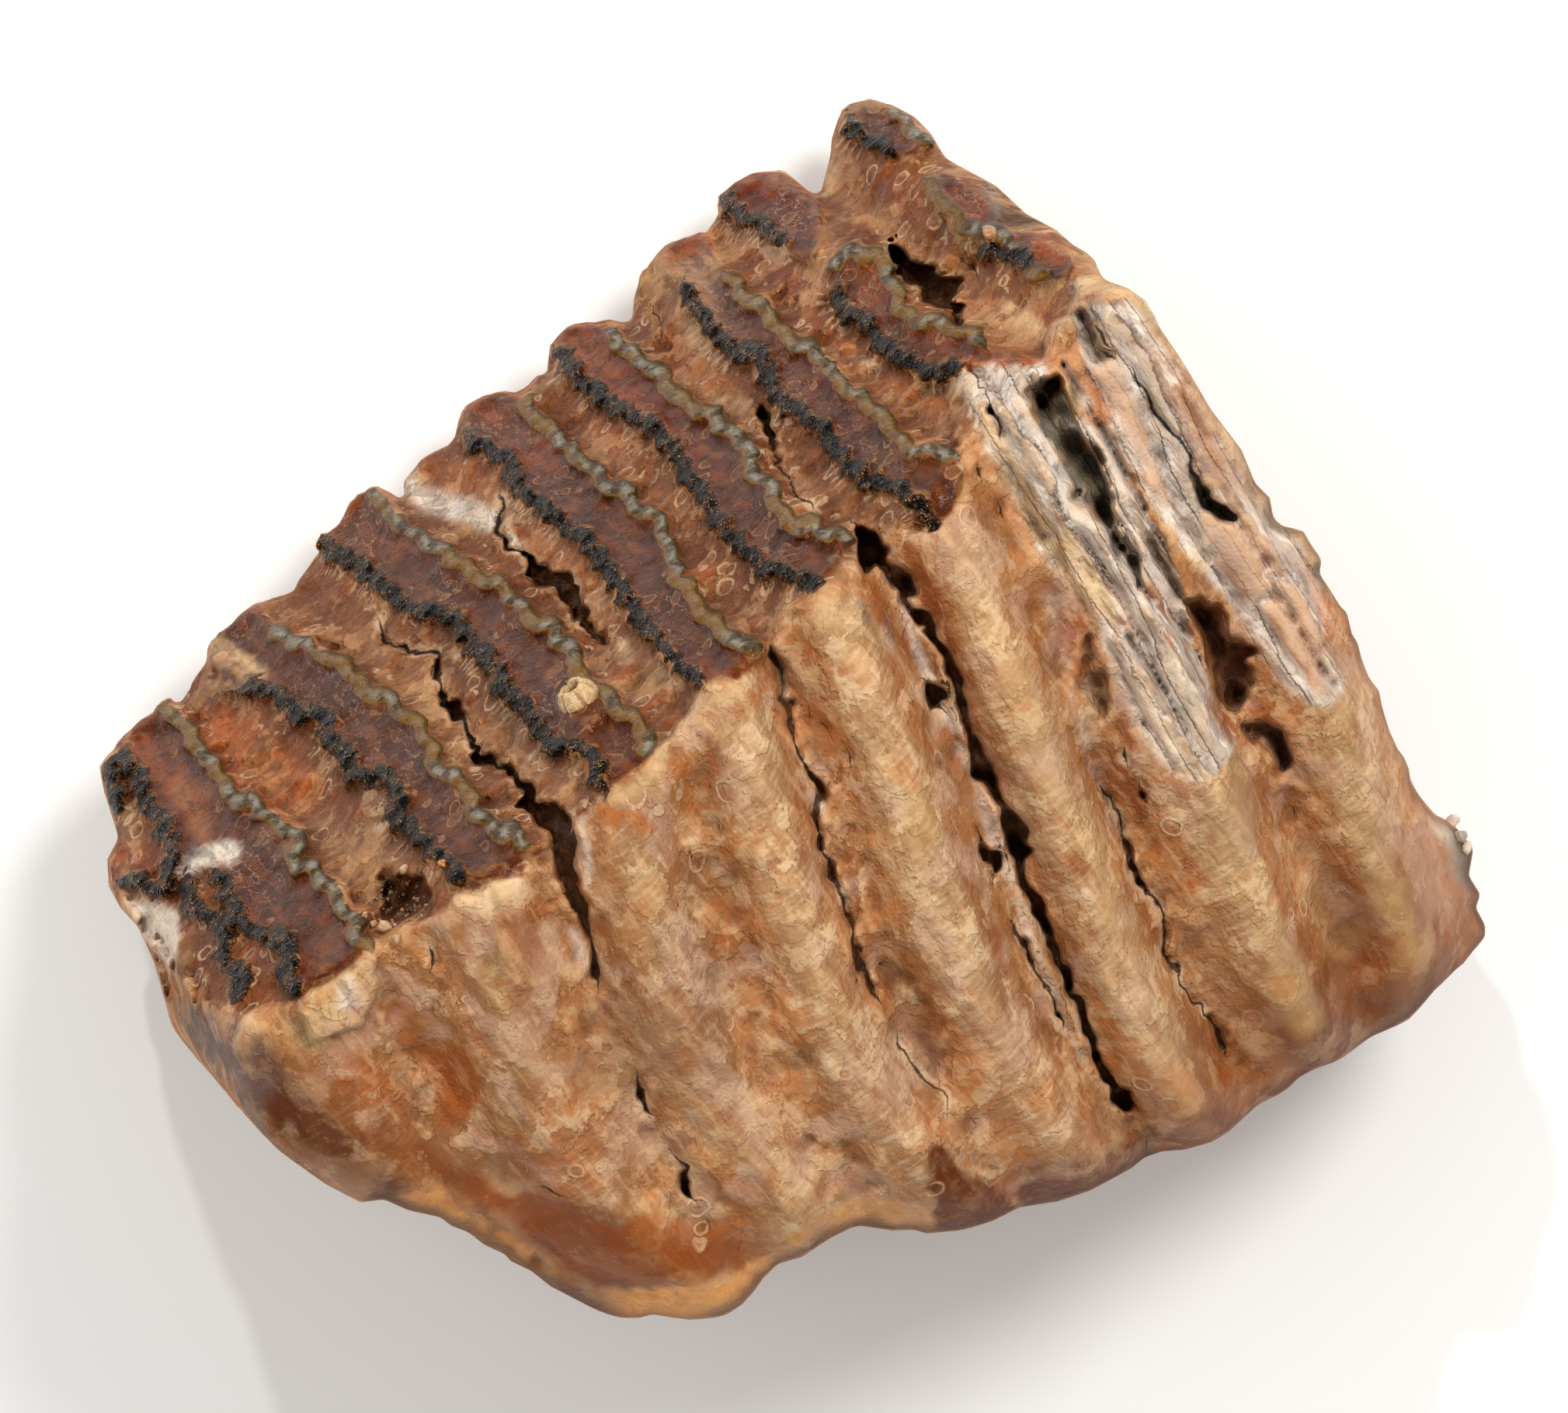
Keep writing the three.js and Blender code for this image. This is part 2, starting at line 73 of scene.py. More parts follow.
DARK = {
    'A1': [(157, 980, 9), (163, 982, 23), (179, 1000, 1), (185, 1026, 1), (199, 1047, 11), (209, 1058, 21), (211, 1070, 12), (218, 1079, 5), (219, 1085, 4), (223, 1091, 1), (224, 1104, 1), (219, 1111, 5), (219, 1126, 9), (216, 1131, 9)],
    'A2': [(163, 1136, 1), (167, 1134, 1), (179, 1134, 3), (189, 1140, 2), (212, 1147, 8)],
    'A3': [(283, 1128, 14), (290, 1137, 4), (292, 1147, 1), (298, 1158, 19), (301, 1169, 17), (314, 1192, 26), (319, 1195, 23), (333, 1197, 18), (342, 1207, 14), (362, 1209, 31), (367, 1213, 28), (372, 1232, 10), (369, 1249, 1), (369, 1264, 3), (372, 1269, 5), (378, 1273, 9)],
    'A4': [(244, 1138, 1), (242, 1151, 1), (243, 1165, 8), (252, 1171, 14), (264, 1173, 9), (283, 1194, 9), (288, 1207, 17), (288, 1221, 14), (285, 1228, 14), (286, 1234, 1), (311, 1258, 1), (311, 1264, 2), (305, 1277, 6)],
    'A0': [(141, 989, 1), (141, 998, 1), (146, 1008, 19), (147, 1024, 13), (151, 1034, 6)],
    'B': [(316, 886, 1), (335, 885, 10), (345, 891, 6), (351, 893, 6), (368, 903, 26), (382, 919, 5), (391, 919, 18), (404, 915, 30), (414, 918, 29), (420, 927, 7), (421, 951, 21), (432, 959, 19), (449, 978, 14), (451, 991, 12), (459, 998, 9), (470, 999, 8), (477, 1003, 9), (486, 998, 19), (490, 998, 19), (507, 1010, 11), (511, 1015, 12), (513, 1035, 1), (509, 1045, 14), (510, 1052, 32), (561, 1100, 28), (573, 1104, 5), (590, 1131, 1)],
    'C': [(410, 697, 5), (424, 710, 26), (432, 712, 24), (448, 721, 4), (460, 722, 11), (468, 735, 21), (481, 743, 34), (502, 765, 23), (511, 769, 6), (529, 785, 21), (567, 789, 21), (582, 801, 13), (591, 804, 19), (605, 827, 15), (622, 842, 6), (641, 866, 13), (644, 872, 1), (645, 884, 19), (679, 917, 20), (688, 928, 1), (690, 936, 1), (700, 947, 10), (701, 955, 23), (704, 959, 14), (710, 962, 12), (719, 960, 20), (728, 962, 1), (745, 960, 5), (769, 981, 1), (770, 990, 1), (768, 1009, 1), (770, 1016, 9)],
    'D': [(604, 563, 31), (613, 570, 27), (623, 574, 22), (634, 584, 8), (642, 586, 16), (654, 594, 1), (658, 599, 3), (659, 612, 1), (669, 629, 18), (687, 643, 19), (698, 657, 24), (710, 660, 28), (729, 679, 8), (740, 682, 15), (755, 696, 17), (758, 705, 9), (773, 720, 17), (783, 735, 16), (790, 752, 3), (802, 764, 9), (815, 783, 27), (817, 791, 13), (822, 801, 10), (830, 805, 23), (846, 821, 6), (849, 829, 1), (864, 841, 1), (876, 859, 1), (900, 878, 6)],
    'E': [(720, 454, 17), (740, 480, 19), (785, 522, 16), (802, 526, 30), (822, 540, 23), (836, 545, 29), (843, 552, 28), (853, 570, 11), (862, 574, 19), (870, 582, 19), (883, 607, 11), (912, 649, 21), (916, 662, 16), (937, 686, 18), (978, 727, 22), (990, 735, 17), (1005, 735, 21), (1017, 738, 19), (1024, 743, 18), (1041, 746, 23)],
    'F': [(886, 375, 17), (888, 382, 17), (899, 396, 9), (905, 410, 7), (943, 454, 17), (957, 455, 4), (970, 448, 14), (976, 450, 14), (991, 496, 1), (1009, 520, 11), (1024, 527, 17), (1050, 544, 12), (1064, 558, 11), (1066, 565, 12), (1071, 572, 8), (1115, 618, 1), (1142, 622, 1), (1152, 630, 7), (1160, 631, 12), (1174, 638, 7), (1187, 654, 1), (1195, 668, 9), (1196, 673, 8)],
    'G1': [(936, 262, 7), (956, 279, 1), (967, 282, 12), (978, 288, 26), (997, 306, 33)],
    'G2': [(1078, 371, 12), (1080, 389, 10), (1097, 408, 23), (1109, 414, 12), (1135, 443, 16), (1161, 459, 33), (1168, 461, 18), (1175, 466, 32), (1183, 469, 9), (1195, 479, 25), (1217, 479, 19), (1226, 476, 6)],
    'H1': [(1090, 158, 9), (1094, 164, 19), (1110, 177, 23), (1141, 191, 41)],
    'H2': [(1264, 324, 28), (1281, 323, 7), (1294, 329, 11), (1309, 331, 19), (1319, 330, 18)],
}
GREY = {
    'A': [(204, 901, 43), (217, 918, 1), (227, 922, 1), (238, 933, 1), (240, 940, 9), (260, 962, 8), (265, 981, 1), (280, 993, 2), (286, 1008, 1), (302, 1024, 6), (314, 1034, 8), (331, 1036, 10), (355, 1061, 21), (365, 1066, 22), (374, 1068, 16), (380, 1073, 1), (382, 1077, 1), (382, 1086, 12), (376, 1098, 11), (377, 1111, 18), (383, 1116, 17), (398, 1120, 12), (428, 1147, 1), (432, 1157, 21), (458, 1182, 8), (461, 1205, 1), (472, 1217, 1)],
    'B': [(355, 813, 2), (371, 824, 1), (387, 826, 1), (397, 834, 1), (404, 836, 1), (422, 844, 1), (438, 853, 1), (475, 889, 1), (486, 896, 1), (496, 899, 1), (528, 927, 10), (551, 952, 18), (555, 962, 16), (555, 971, 12), (562, 984, 16), (576, 997, 18), (587, 999, 12), (593, 1004, 15), (598, 1023, 16), (621, 1053, 22), (641, 1072, 23), (660, 1074, 2), (670, 1083, 1), (674, 1084, 1)],
    'C': [(478, 623, 30), (484, 626, 28), (485, 639, 1), (492, 649, 1), (530, 688, 1), (555, 699, 10), (577, 718, 1), (598, 725, 1), (614, 740, 1), (630, 749, 1), (640, 751, 1), (654, 765, 1), (665, 772, 1), (689, 801, 7), (694, 804, 10), (706, 805, 7), (710, 808, 7), (717, 820, 13), (733, 836, 14), (739, 847, 17), (740, 859, 10), (747, 870, 9), (760, 878, 1), (803, 917, 3), (811, 920, 7), (824, 933, 11), (827, 943, 7), (831, 949, 1), (831, 964, 1)],
    'D': [(676, 517, 1), (682, 528, 1), (741, 587, 1), (750, 592, 3), (784, 626, 1), (791, 628, 1), (804, 637, 10), (827, 660, 13), (839, 665, 12), (851, 677, 15), (853, 681, 12), (854, 698, 16), (870, 719, 9), (871, 740, 7), (882, 755, 1), (884, 763, 7), (898, 779, 17), (952, 830, 12), (965, 836, 1)],
    'E': [(787, 432, 1), (824, 465, 1), (839, 474, 1), (882, 519, 1), (898, 526, 1), (907, 527, 2), (952, 568, 1), (961, 580, 1), (963, 594, 1), (971, 603, 1), (974, 611, 1), (992, 629, 1), (997, 649, 1), (1014, 671, 1), (1033, 677, 10), (1046, 678, 14), (1058, 687, 7), (1076, 688, 1), (1085, 695, 1)],
    'F': [(939, 360, 1), (962, 385, 1), (973, 390, 1), (1015, 434, 1), (1043, 449, 1), (1061, 467, 1), (1064, 475, 1), (1084, 495, 13), (1107, 510, 12), (1127, 529, 1), (1145, 547, 2), (1151, 563, 1), (1166, 578, 3), (1178, 582, 1), (1210, 582, 1), (1222, 585, 1)],
    'G': [(1075, 339, 1), (1082, 333, 1), (1089, 331, 1), (1095, 327, 1), (1126, 328, 1), (1143, 345, 1), (1151, 364, 1), (1154, 388, 1), (1166, 403, 1), (1179, 412, 6), (1202, 415, 16), (1213, 422, 13), (1232, 422, 1), (1243, 425, 18), (1257, 438, 14)],
    'H1': [(1152, 148, 1), (1160, 151, 1), (1189, 180, 1)],
    'H2': [(1200, 243, 1), (1213, 259, 1), (1216, 266, 1), (1246, 296, 7), (1263, 299, 4), (1272, 294, 1), (1283, 295, 4), (1290, 301, 1), (1294, 311, 1), (1337, 351, 1)],
}
CRACK = {
    'BC': [(484, 800, 7), (493, 825, 7), (500, 831, 4), (521, 837, 1), (553, 836, 4), (567, 843, 10), (567, 871, 1), (573, 880, 1), (571, 893, 5), (575, 908, 15), (590, 919, 19), (603, 937, 4), (617, 974, 11), (622, 977, 9), (639, 981, 6), (672, 1006, 14), (685, 1021, 12), (685, 1028, 10), (681, 1037, 14), (694, 1046, 19), (708, 1050, 24), (722, 1066, 22), (729, 1085, 19), (731, 1102, 18), (735, 1126, 18), (739, 1148, 19), (746, 1170, 15), (753, 1192, 11), (759, 1213, 9), (763, 1235, 11), (768, 1256, 11), (773, 1277, 6)],
    'BC2': [(819, 1386, 12), (832, 1409, 7), (837, 1427, 7), (842, 1431, 2), (848, 1433, 1)],
    'BC3': [(864, 1485, 9), (877, 1503, 6), (879, 1528, 9), (894, 1544, 10)],
    'BC4': [(909, 1560, 1), (914, 1566, 1), (918, 1583, 1)],
    'CD': [(640, 635, 4), (645, 644, 4), (648, 657, 1), (647, 664, 1), (639, 681, 3), (640, 687, 2), (651, 698, 1), (670, 707, 4), (685, 721, 14), (692, 733, 24), (710, 744, 15), (716, 752, 16), (731, 761, 26), (740, 782, 21), (752, 793, 12), (759, 812, 12), (778, 825, 9), (782, 830, 9)],
    'DE': [(988, 825, 3), (988, 833, 3), (1002, 862, 7), (1009, 892, 1), (1009, 903, 1), (1014, 910, 1), (1015, 939, 1), (1019, 947, 1), (1030, 981, 6), (1052, 1013, 10), (1050, 1032, 4), (1046, 1039, 1), (1046, 1048, 2), (1051, 1056, 7), (1060, 1087, 9), (1067, 1096, 4), (1067, 1120, 10), (1076, 1138, 7), (1080, 1152, 4), (1090, 1163, 1), (1090, 1178, 4), (1095, 1192, 5), (1095, 1204, 1), (1103, 1225, 4), (1107, 1231, 1), (1107, 1241, 2), (1114, 1266, 5), (1134, 1295, 5)],
    'DE2': [(1151, 1324, 4), (1158, 1351, 1), (1173, 1375, 1), (1210, 1410, 3), (1213, 1418, 1), (1213, 1447, 1)],
    'EFo': [(837, 397, 8), (852, 419, 2), (852, 435, 1), (858, 443, 1), (861, 457, 3)],
    'EFo2': [(972, 519, 9), (978, 536, 13), (979, 544, 9), (988, 559, 11), (998, 590, 5), (1010, 605, 3), (1023, 630, 6), (1040, 646, 5), (1046, 661, 7)],
    'EF': [(1102, 675, 13), (1112, 696, 20), (1123, 708, 28), (1124, 719, 40), (1137, 722, 27), (1141, 736, 12), (1149, 738, 16), (1162, 751, 24), (1164, 757, 24), (1162, 768, 12), (1165, 779, 7), (1174, 789, 6), (1191, 797, 16), (1199, 819, 11), (1218, 846, 13), (1237, 903, 12), (1245, 940, 12), (1261, 971, 15), (1269, 993, 17), (1286, 1020, 14), (1290, 1038, 6), (1303, 1060, 19), (1308, 1075, 21), (1309, 1090, 14), (1314, 1100, 18), (1316, 1113, 11), (1325, 1144, 13), (1329, 1150, 14), (1334, 1170, 14), (1345, 1191, 12), (1349, 1207, 7), (1359, 1221, 2), (1361, 1231, 3), (1379, 1261, 9), (1379, 1273, 11), (1382, 1284, 7), (1390, 1294, 6), (1402, 1317, 9), (1408, 1340, 7), (1415, 1355, 11), (1417, 1370, 8), (1422, 1384, 1), (1435, 1399, 12), (1446, 1416, 14), (1464, 1432, 8)],
    'EFl1': [(1188, 882, 14), (1200, 894, 26), (1200, 907, 17), (1207, 910, 10), (1216, 920, 9)],
    'EFl2': [(1261, 1070, 14), (1270, 1095, 11), (1280, 1107, 20), (1281, 1127, 19)],
    'EFl3': [(1300, 1195, 8), (1309, 1206, 9), (1327, 1238, 7), (1339, 1255, 1), (1346, 1272, 1), (1354, 1283, 2), (1360, 1299, 8), (1368, 1310, 1), (1373, 1323, 3)],
    'FG': [(1418, 1008, 4), (1426, 1027, 2), (1432, 1035, 1), (1435, 1053, 1), (1444, 1071, 1), (1448, 1097, 9), (1461, 1127, 14), (1475, 1147, 8), (1492, 1165, 1), (1502, 1198, 1), (1502, 1224, 7), (1513, 1246, 8), (1516, 1258, 6), (1527, 1274, 1), (1562, 1311, 1), (1569, 1336, 1), (1580, 1359, 1)],
    'Z1': [(1341, 505, 24), (1348, 529, 35), (1347, 539, 35), (1368, 562, 27), (1373, 576, 21), (1374, 588, 19), (1381, 599, 27), (1382, 610, 30), (1389, 620, 28), (1401, 652, 24), (1437, 682, 28), (1468, 735, 17)],
    'Z2': [(1246, 471, 9), (1257, 488, 4), (1271, 517, 1), (1275, 532, 8), (1286, 548, 8), (1291, 563, 6)],
    'Z3': [(1455, 475, 1), (1479, 515, 5), (1500, 539, 7), (1530, 588, 1), (1547, 625, 11), (1553, 644, 21), (1573, 662, 8), (1581, 674, 8)],
    'GH': [(1147, 319, 14), (1152, 327, 10), (1161, 336, 8), (1184, 347, 24), (1205, 369, 24), (1221, 381, 16), (1225, 389, 8), (1235, 400, 1)],
    'H3': [(1237, 338, 9), (1257, 363, 8)],
}

# Plates' outlines on the chewing face: dark line, near end, light line back, far end.
def _xy(v):
    return [(p[0], p[1]) for p in v]

PLATES = {
    'A': [(142, 985), (150, 960), (170, 935), (190, 915)] + _xy(GREY['A']) + [(478, 1212), (455, 1240), (420, 1258), (378, 1273)]
         + _xy(DARK['A3'])[::-1] + [(250, 1118), (218, 1131)] + _xy(DARK['A1'])[::-1],
    'B': [(300, 880), (266, 838), (285, 808), (330, 775)] + _xy(GREY['B']) + [(700, 1090), (690, 1110), (665, 1127), (610, 1133)] + _xy(DARK['B'])[::-1],
    'C': [(400, 690), (398, 672), (425, 642), (455, 630)] + _xy(GREY['C']) + [(841, 975), (820, 995), (785, 1014)] + _xy(DARK['C'])[::-1],
    'D': [(598, 555), (592, 530), (606, 512), (640, 502)] + _xy(GREY['D']) + [(975, 846), (955, 870), (925, 884), (905, 880)] + _xy(DARK['D'])[::-1],
    'E': [(715, 446), (712, 428), (735, 412), (765, 416)] + _xy(GREY['E']) + [(1087, 705), (1078, 730), (1060, 748), (1046, 750)] + _xy(DARK['E'])[::-1],
    'F': [(872, 365), (845, 345), (862, 308), (905, 302), (925, 335)] + _xy(GREY['F']) + [(1239, 606), (1238, 640), (1220, 665), (1200, 676)] + _xy(DARK['F'])[::-1],
    'G1': [(945, 278), (926, 255), (945, 234), (985, 222), (1025, 240), (1058, 270), (1062, 310), (1045, 335), (1020, 325), (997, 306), (967, 282)],
    'G2': [(1075, 345)] + _xy(GREY['G']) + [(1300, 450), (1335, 464), (1300, 470), (1240, 474)] + _xy(DARK['G2'])[::-1],
    'H1': [(1085, 150), (1100, 132), (1125, 130), (1160, 150), (1192, 182), (1180, 198), (1140, 192), (1108, 176)],
    'H2': [(1196, 232), (1215, 222), (1250, 235), (1280, 262), (1286, 292), (1262, 303), (1230, 285), (1206, 258)],
    'H3': [(1299, 300), (1330, 298), (1372, 325), (1384, 350), (1350, 357), (1318, 335)],
}
# The edge between the chewing face and the side that faces up.
NEAR_EDGE = [(100, 1120), (160, 1155), (232, 1255), (300, 1300), (378, 1285), (430, 1262), (478, 1215), (520, 1195), (556, 1180), (598, 1150),
             (650, 1130), (705, 1094), (722, 1080), (760, 1040), (785, 1018), (841, 978), (880, 930), (905, 884), (955, 872), (978, 848),
             (1000, 800), (1045, 755), (1080, 730), (1090, 700), (1130, 690), (1195, 680), (1240, 640), (1239, 600), (1225, 540),
             (1232, 478), (1335, 468), (1345, 430), (1380, 400), (1386, 358), (1440, 352), (1500, 372), (1600, 300)]

# Open cracks: x, y, width in pixels, and the depth in millimetres.
CRACKS = {
    'BC': (9, 3), 'BC2': (7, 5), 'BC3': (7, 6), 'BC4': (3, 4), 'CD': (8, 3.5), 'DE': (8, 5), 'DE2': (5, 4), 'EFo': (3, 4),
    'EFo2': (6, 4), 'EF': (10, 6), 'EFl1': (7, 5), 'EFl2': (7, 6), 'EFl3': (6, 5), 'FG': (8, 5), 'Z2': (5, 5), 'Z3': (8, 5),
    'GH': (8, 7), 'H3': (4, 4),
}
EXTRA_CRACKS = {
    'm1': ([(1042, 919, 8), (1043, 926, 9)], 5), 'm2': ([(1064, 930, 6), (1069, 940, 8)], 5), 'm3': ([(1091, 968, 9), (1093, 977, 9)], 5),
    'm4': ([(889, 1095, 9), (891, 1104, 9)], 4), 'm5': ([(549, 1222, 6), (552, 1238, 8), (553, 1250, 7)], 5),
    'm6': ([(1444, 968, 13), (1446, 977, 11)], 6), 'm7': ([(1463, 1010, 9), (1469, 1026, 11), (1474, 1036, 8)], 6),
    'm8': ([(1261, 600, 8), (1264, 614, 10)], 6), 'm9': ([(1284, 646, 6), (1291, 666, 8)], 5),
    'm10': ([(1475, 1470, 9), (1474, 1484, 9)], 4), 'm11': ([(1663, 1046, 10), (1666, 1055, 10)], 4), 'm12': ([(1714, 1041, 7), (1717, 1046, 7)], 4),
    'm13': ([(1412, 418, 10), (1440, 446, 7)], 5), 'm14': ([(686, 1525, 4), (705, 1532, 4), (735, 1540, 3)], 1.5),
    'm15': ([(1420, 440, 5), (1436, 462, 6), (1441, 470, 5)], 5),
    'm16': ([(474, 783, 4), (485, 792, 5)], 4), 'm17': ([(628, 1120, 3), (640, 1125, 3)], 1.5),
}
# Broken hollows on the side: outline and depth.
HOLLOWS = [
    ([(1322, 508), (1332, 544), (1357, 569), (1368, 612), (1386, 662), (1414, 676), (1436, 701), (1450, 730), (1470, 753), (1475, 737), (1464, 701),
      (1446, 669), (1432, 616), (1414, 580), (1393, 551), (1386, 519), (1357, 484), (1339, 491)], 6.5),
    ([(1522, 772), (1561, 776), (1585, 806), (1604, 845), (1608, 900), (1592, 906), (1574, 888), (1555, 845), (1536, 800)], 7.5),
    ([(1611, 932), (1630, 928), (1652, 945), (1660, 975), (1650, 1000), (1634, 992), (1622, 968)], 6.0),
    ([(1383, 858), (1400, 850), (1420, 866), (1430, 900), (1420, 925), (1402, 915), (1388, 890)], 4.0),
    ([(1388, 812), (1400, 815), (1405, 842), (1395, 856), (1385, 838)], 4.5),
    ([(1533, 604), (1552, 622), (1574, 648), (1588, 672), (1582, 680), (1560, 662), (1541, 632)], 9.0),
    ([(1382, 395), (1396, 388), (1412, 402), (1440, 440), (1446, 458), (1430, 460), (1405, 440), (1388, 420)], 4.0),
    ([(1150, 316), (1172, 328), (1196, 345), (1226, 378), (1243, 404), (1232, 410), (1205, 392), (1178, 362), (1156, 336)], 8.0),
]
PIT = (515, 1160, 42, 34)
# Pale broken core of the seventh plate and the strips beside it.
CORE = [(1240, 474), (1262, 470), (1337, 470), (1345, 500), (1390, 500), (1430, 560), (1470, 640), (1500, 700), (1516, 750), (1528, 800), (1548, 860),
        (1570, 905), (1590, 955), (1578, 985), (1552, 1004), (1524, 1002), (1494, 980), (1460, 925), (1440, 870), (1412, 815), (1388, 772), (1352, 720),
        (1322, 672), (1296, 618), (1270, 565), (1246, 520)]
REAR_STRIPS = [(1380, 395), (1470, 385), (1500, 440), (1560, 545), (1620, 640), (1665, 690), (1700, 750), (1712, 830), (1725, 890), (1700, 905), (1668, 885),
               (1630, 850), (1598, 795), (1560, 740), (1520, 690), (1480, 640), (1440, 560), (1410, 480)]
PEACH = [
    [(1410, 470), (1440, 462), (1462, 520), (1485, 575), (1500, 620), (1508, 645), (1490, 640), (1466, 590), (1440, 540)],
    [(1543, 659), (1568, 666), (1596, 687), (1618, 716), (1641, 755), (1636, 766), (1616, 784), (1596, 759), (1571, 723), (1550, 687)],
    [(1589, 666), (1607, 662), (1629, 687), (1650, 723), (1646, 744), (1621, 719), (1600, 687)],
    [(1651, 744), (1672, 758), (1694, 797), (1701, 833), (1697, 854), (1672, 811), (1647, 765)],
    [(1622, 779), (1647, 776), (1672, 811), (1697, 854), (1719, 883), (1701, 897), (1672, 861), (1647, 826)],
]
# Ridges (+) and furrows (-) on the broken strips: points, half width in mm, height in mm.
STRIPS = [
    ([(1243, 501), (1289, 573), (1307, 601), (1332, 651), (1354, 687), (1379, 734), (1400, 766), (1421, 809)], 0.9, 1.2),
    ([(1304, 530), (1325, 580), (1350, 616), (1368, 662), (1371, 690)], 1.8, 1.3),
    ([(1375, 665), (1400, 676), (1429, 705), (1450, 734), (1471, 769), (1482, 798)], 1.4, 2.0),
    ([(1393, 530), (1414, 566), (1436, 609), (1450, 644), (1464, 680), (1475, 709)], 0.8, 1.9),
    ([(1432, 530), (1457, 580), (1479, 623)], 1.0, 1.2),
    ([(1471, 648), (1503, 680), (1532, 709), (1553, 726)], 1.6, 1.3),
    ([(1480, 760), (1500, 800), (1520, 850), (1545, 900), (1560, 940)], 1.0, 1.2),
    ([(1440, 820), (1462, 870), (1480, 910), (1500, 950), (1520, 985)], 0.8, 1.3),
    ([(1504, 860), (1520, 890), (1540, 930), (1552, 960)], 0.8, 1.0),
    ([(1600, 785), (1634, 838), (1661, 872), (1697, 902)], 0.7, 1.0),
    ([(1578, 655), (1610, 690), (1640, 735), (1650, 760)], 0.5, -1.5),
    ([(1651, 765), (1675, 812), (1700, 858), (1715, 880)], 0.4, -1.6),
    ([(1451, 819), (1476, 854), (1497, 890), (1522, 944)], 0.4, -1.6),
    ([(1352, 690), (1372, 730), (1392, 770), (1410, 800)], 0.5, -1.6),
    ([(1300, 600), (1320, 645), (1345, 690)], 0.4, -1.4),
    ([(1395, 720), (1420, 770), (1445, 800)], 0.4, -1.2),
    ([(1370, 470), (1395, 520), (1420, 560), (1450, 610), (1475, 655)], 0.5, -2.0),
    ([(1430, 700), (1460, 745), (1490, 790)], 0.35, -0.9),
    ([(1520, 560), (1560, 620), (1600, 665), (1630, 705)], 1.2, 0.9),
    ([(1470, 760), (1490, 780), (1512, 800), (1535, 815)], 0.8, -2.4),
    ([(1480, 700), (1500, 735), (1516, 765)], 0.7, -2.0),
]
# Convex ribs on the upper side: points along each crest.
RIBS = {
    'B': ([(640, 1168), (652, 1262), (668, 1373), (690, 1450)], 4.0, 0.6),
    'B2': ([(575, 1195), (600, 1290), (640, 1400)], 3.0, 0.4),
    'C': ([(852, 1000), (846, 1080), (852, 1160), (862, 1230), (890, 1350)], 3.2, 0.8),
    'C2': ([(800, 1040), (790, 1120), (812, 1220), (850, 1330)], 2.2, 0.7),
    'D': ([(937, 907), (964, 984), (994, 1080), (1025, 1175), (1052, 1263), (1075, 1330), (1100, 1420)], 3.8, 1.0),
    'E': ([(1085, 800), (1128, 920), (1160, 1005), (1190, 1090), (1216, 1175), (1245, 1263), (1275, 1350)], 4.2, 1.3),
    'F': ([(1226, 700), (1262, 790), (1306, 888), (1337, 965), (1364, 1041), (1390, 1118), (1413, 1175), (1440, 1252), (1479, 1330), (1511, 1401), (1529, 1454)], 4.2, 1.5),
    'G': ([(1562, 1000), (1596, 1078), (1622, 1148), (1650, 1218), (1676, 1288), (1700, 1341)], 4.0, 1.2),
    'H': ([(1712, 925), (1737, 1008), (1768, 1096), (1793, 1166), (1821, 1225)], 3.8, 1.0),
}
GROOVES = [  # sunken ground beside the cracks
    ([(990, 830), (1020, 920), (1065, 1010), (1085, 1100), (1115, 1190), (1150, 1290), (1190, 1380)], 3.2, -1.8),
    ([(1110, 700), (1160, 770), (1215, 870), (1250, 960), (1290, 1060), (1330, 1160), (1360, 1250), (1400, 1340), (1450, 1430)], 3.0, -2.4),
    ([(1400, 960), (1440, 1040), (1470, 1110), (1500, 1190), (1530, 1270), (1570, 1350)], 3.0, -1.8),
    ([(712, 1090), (745, 1160), (765, 1250), (800, 1360), (850, 1450)], 2.8, -1.6),
    ([(1610, 900), (1650, 1000), (1690, 1100), (1730, 1200), (1760, 1290)], 3.0, -1.8),
    ([(500, 1240), (520, 1330), (560, 1430)], 3.0, -0.9),
    ([(905, 1000), (925, 1090), (955, 1200), (985, 1290)], 1.6, -1.1),
]
FLAPS = [  # thin raised flakes along the cracks
    ([(1158, 760), (1195, 810), (1215, 870), (1232, 925), (1262, 990), (1290, 1075), (1312, 1150), (1340, 1220), (1372, 1290), (1395, 1345)], 0.7, 1.6),
    ([(1150, 735), (1175, 775), (1188, 800)], 0.6, 1.0),
    ([(712, 1040), (738, 1075), (745, 1120), (760, 1180)], 0.6, 1.2),
    ([(1090, 1080), (1105, 1130), (1125, 1200)], 0.6, 0.7),
    ([(640, 640), (650, 660), (663, 690)], 0.8, 0.8),
]
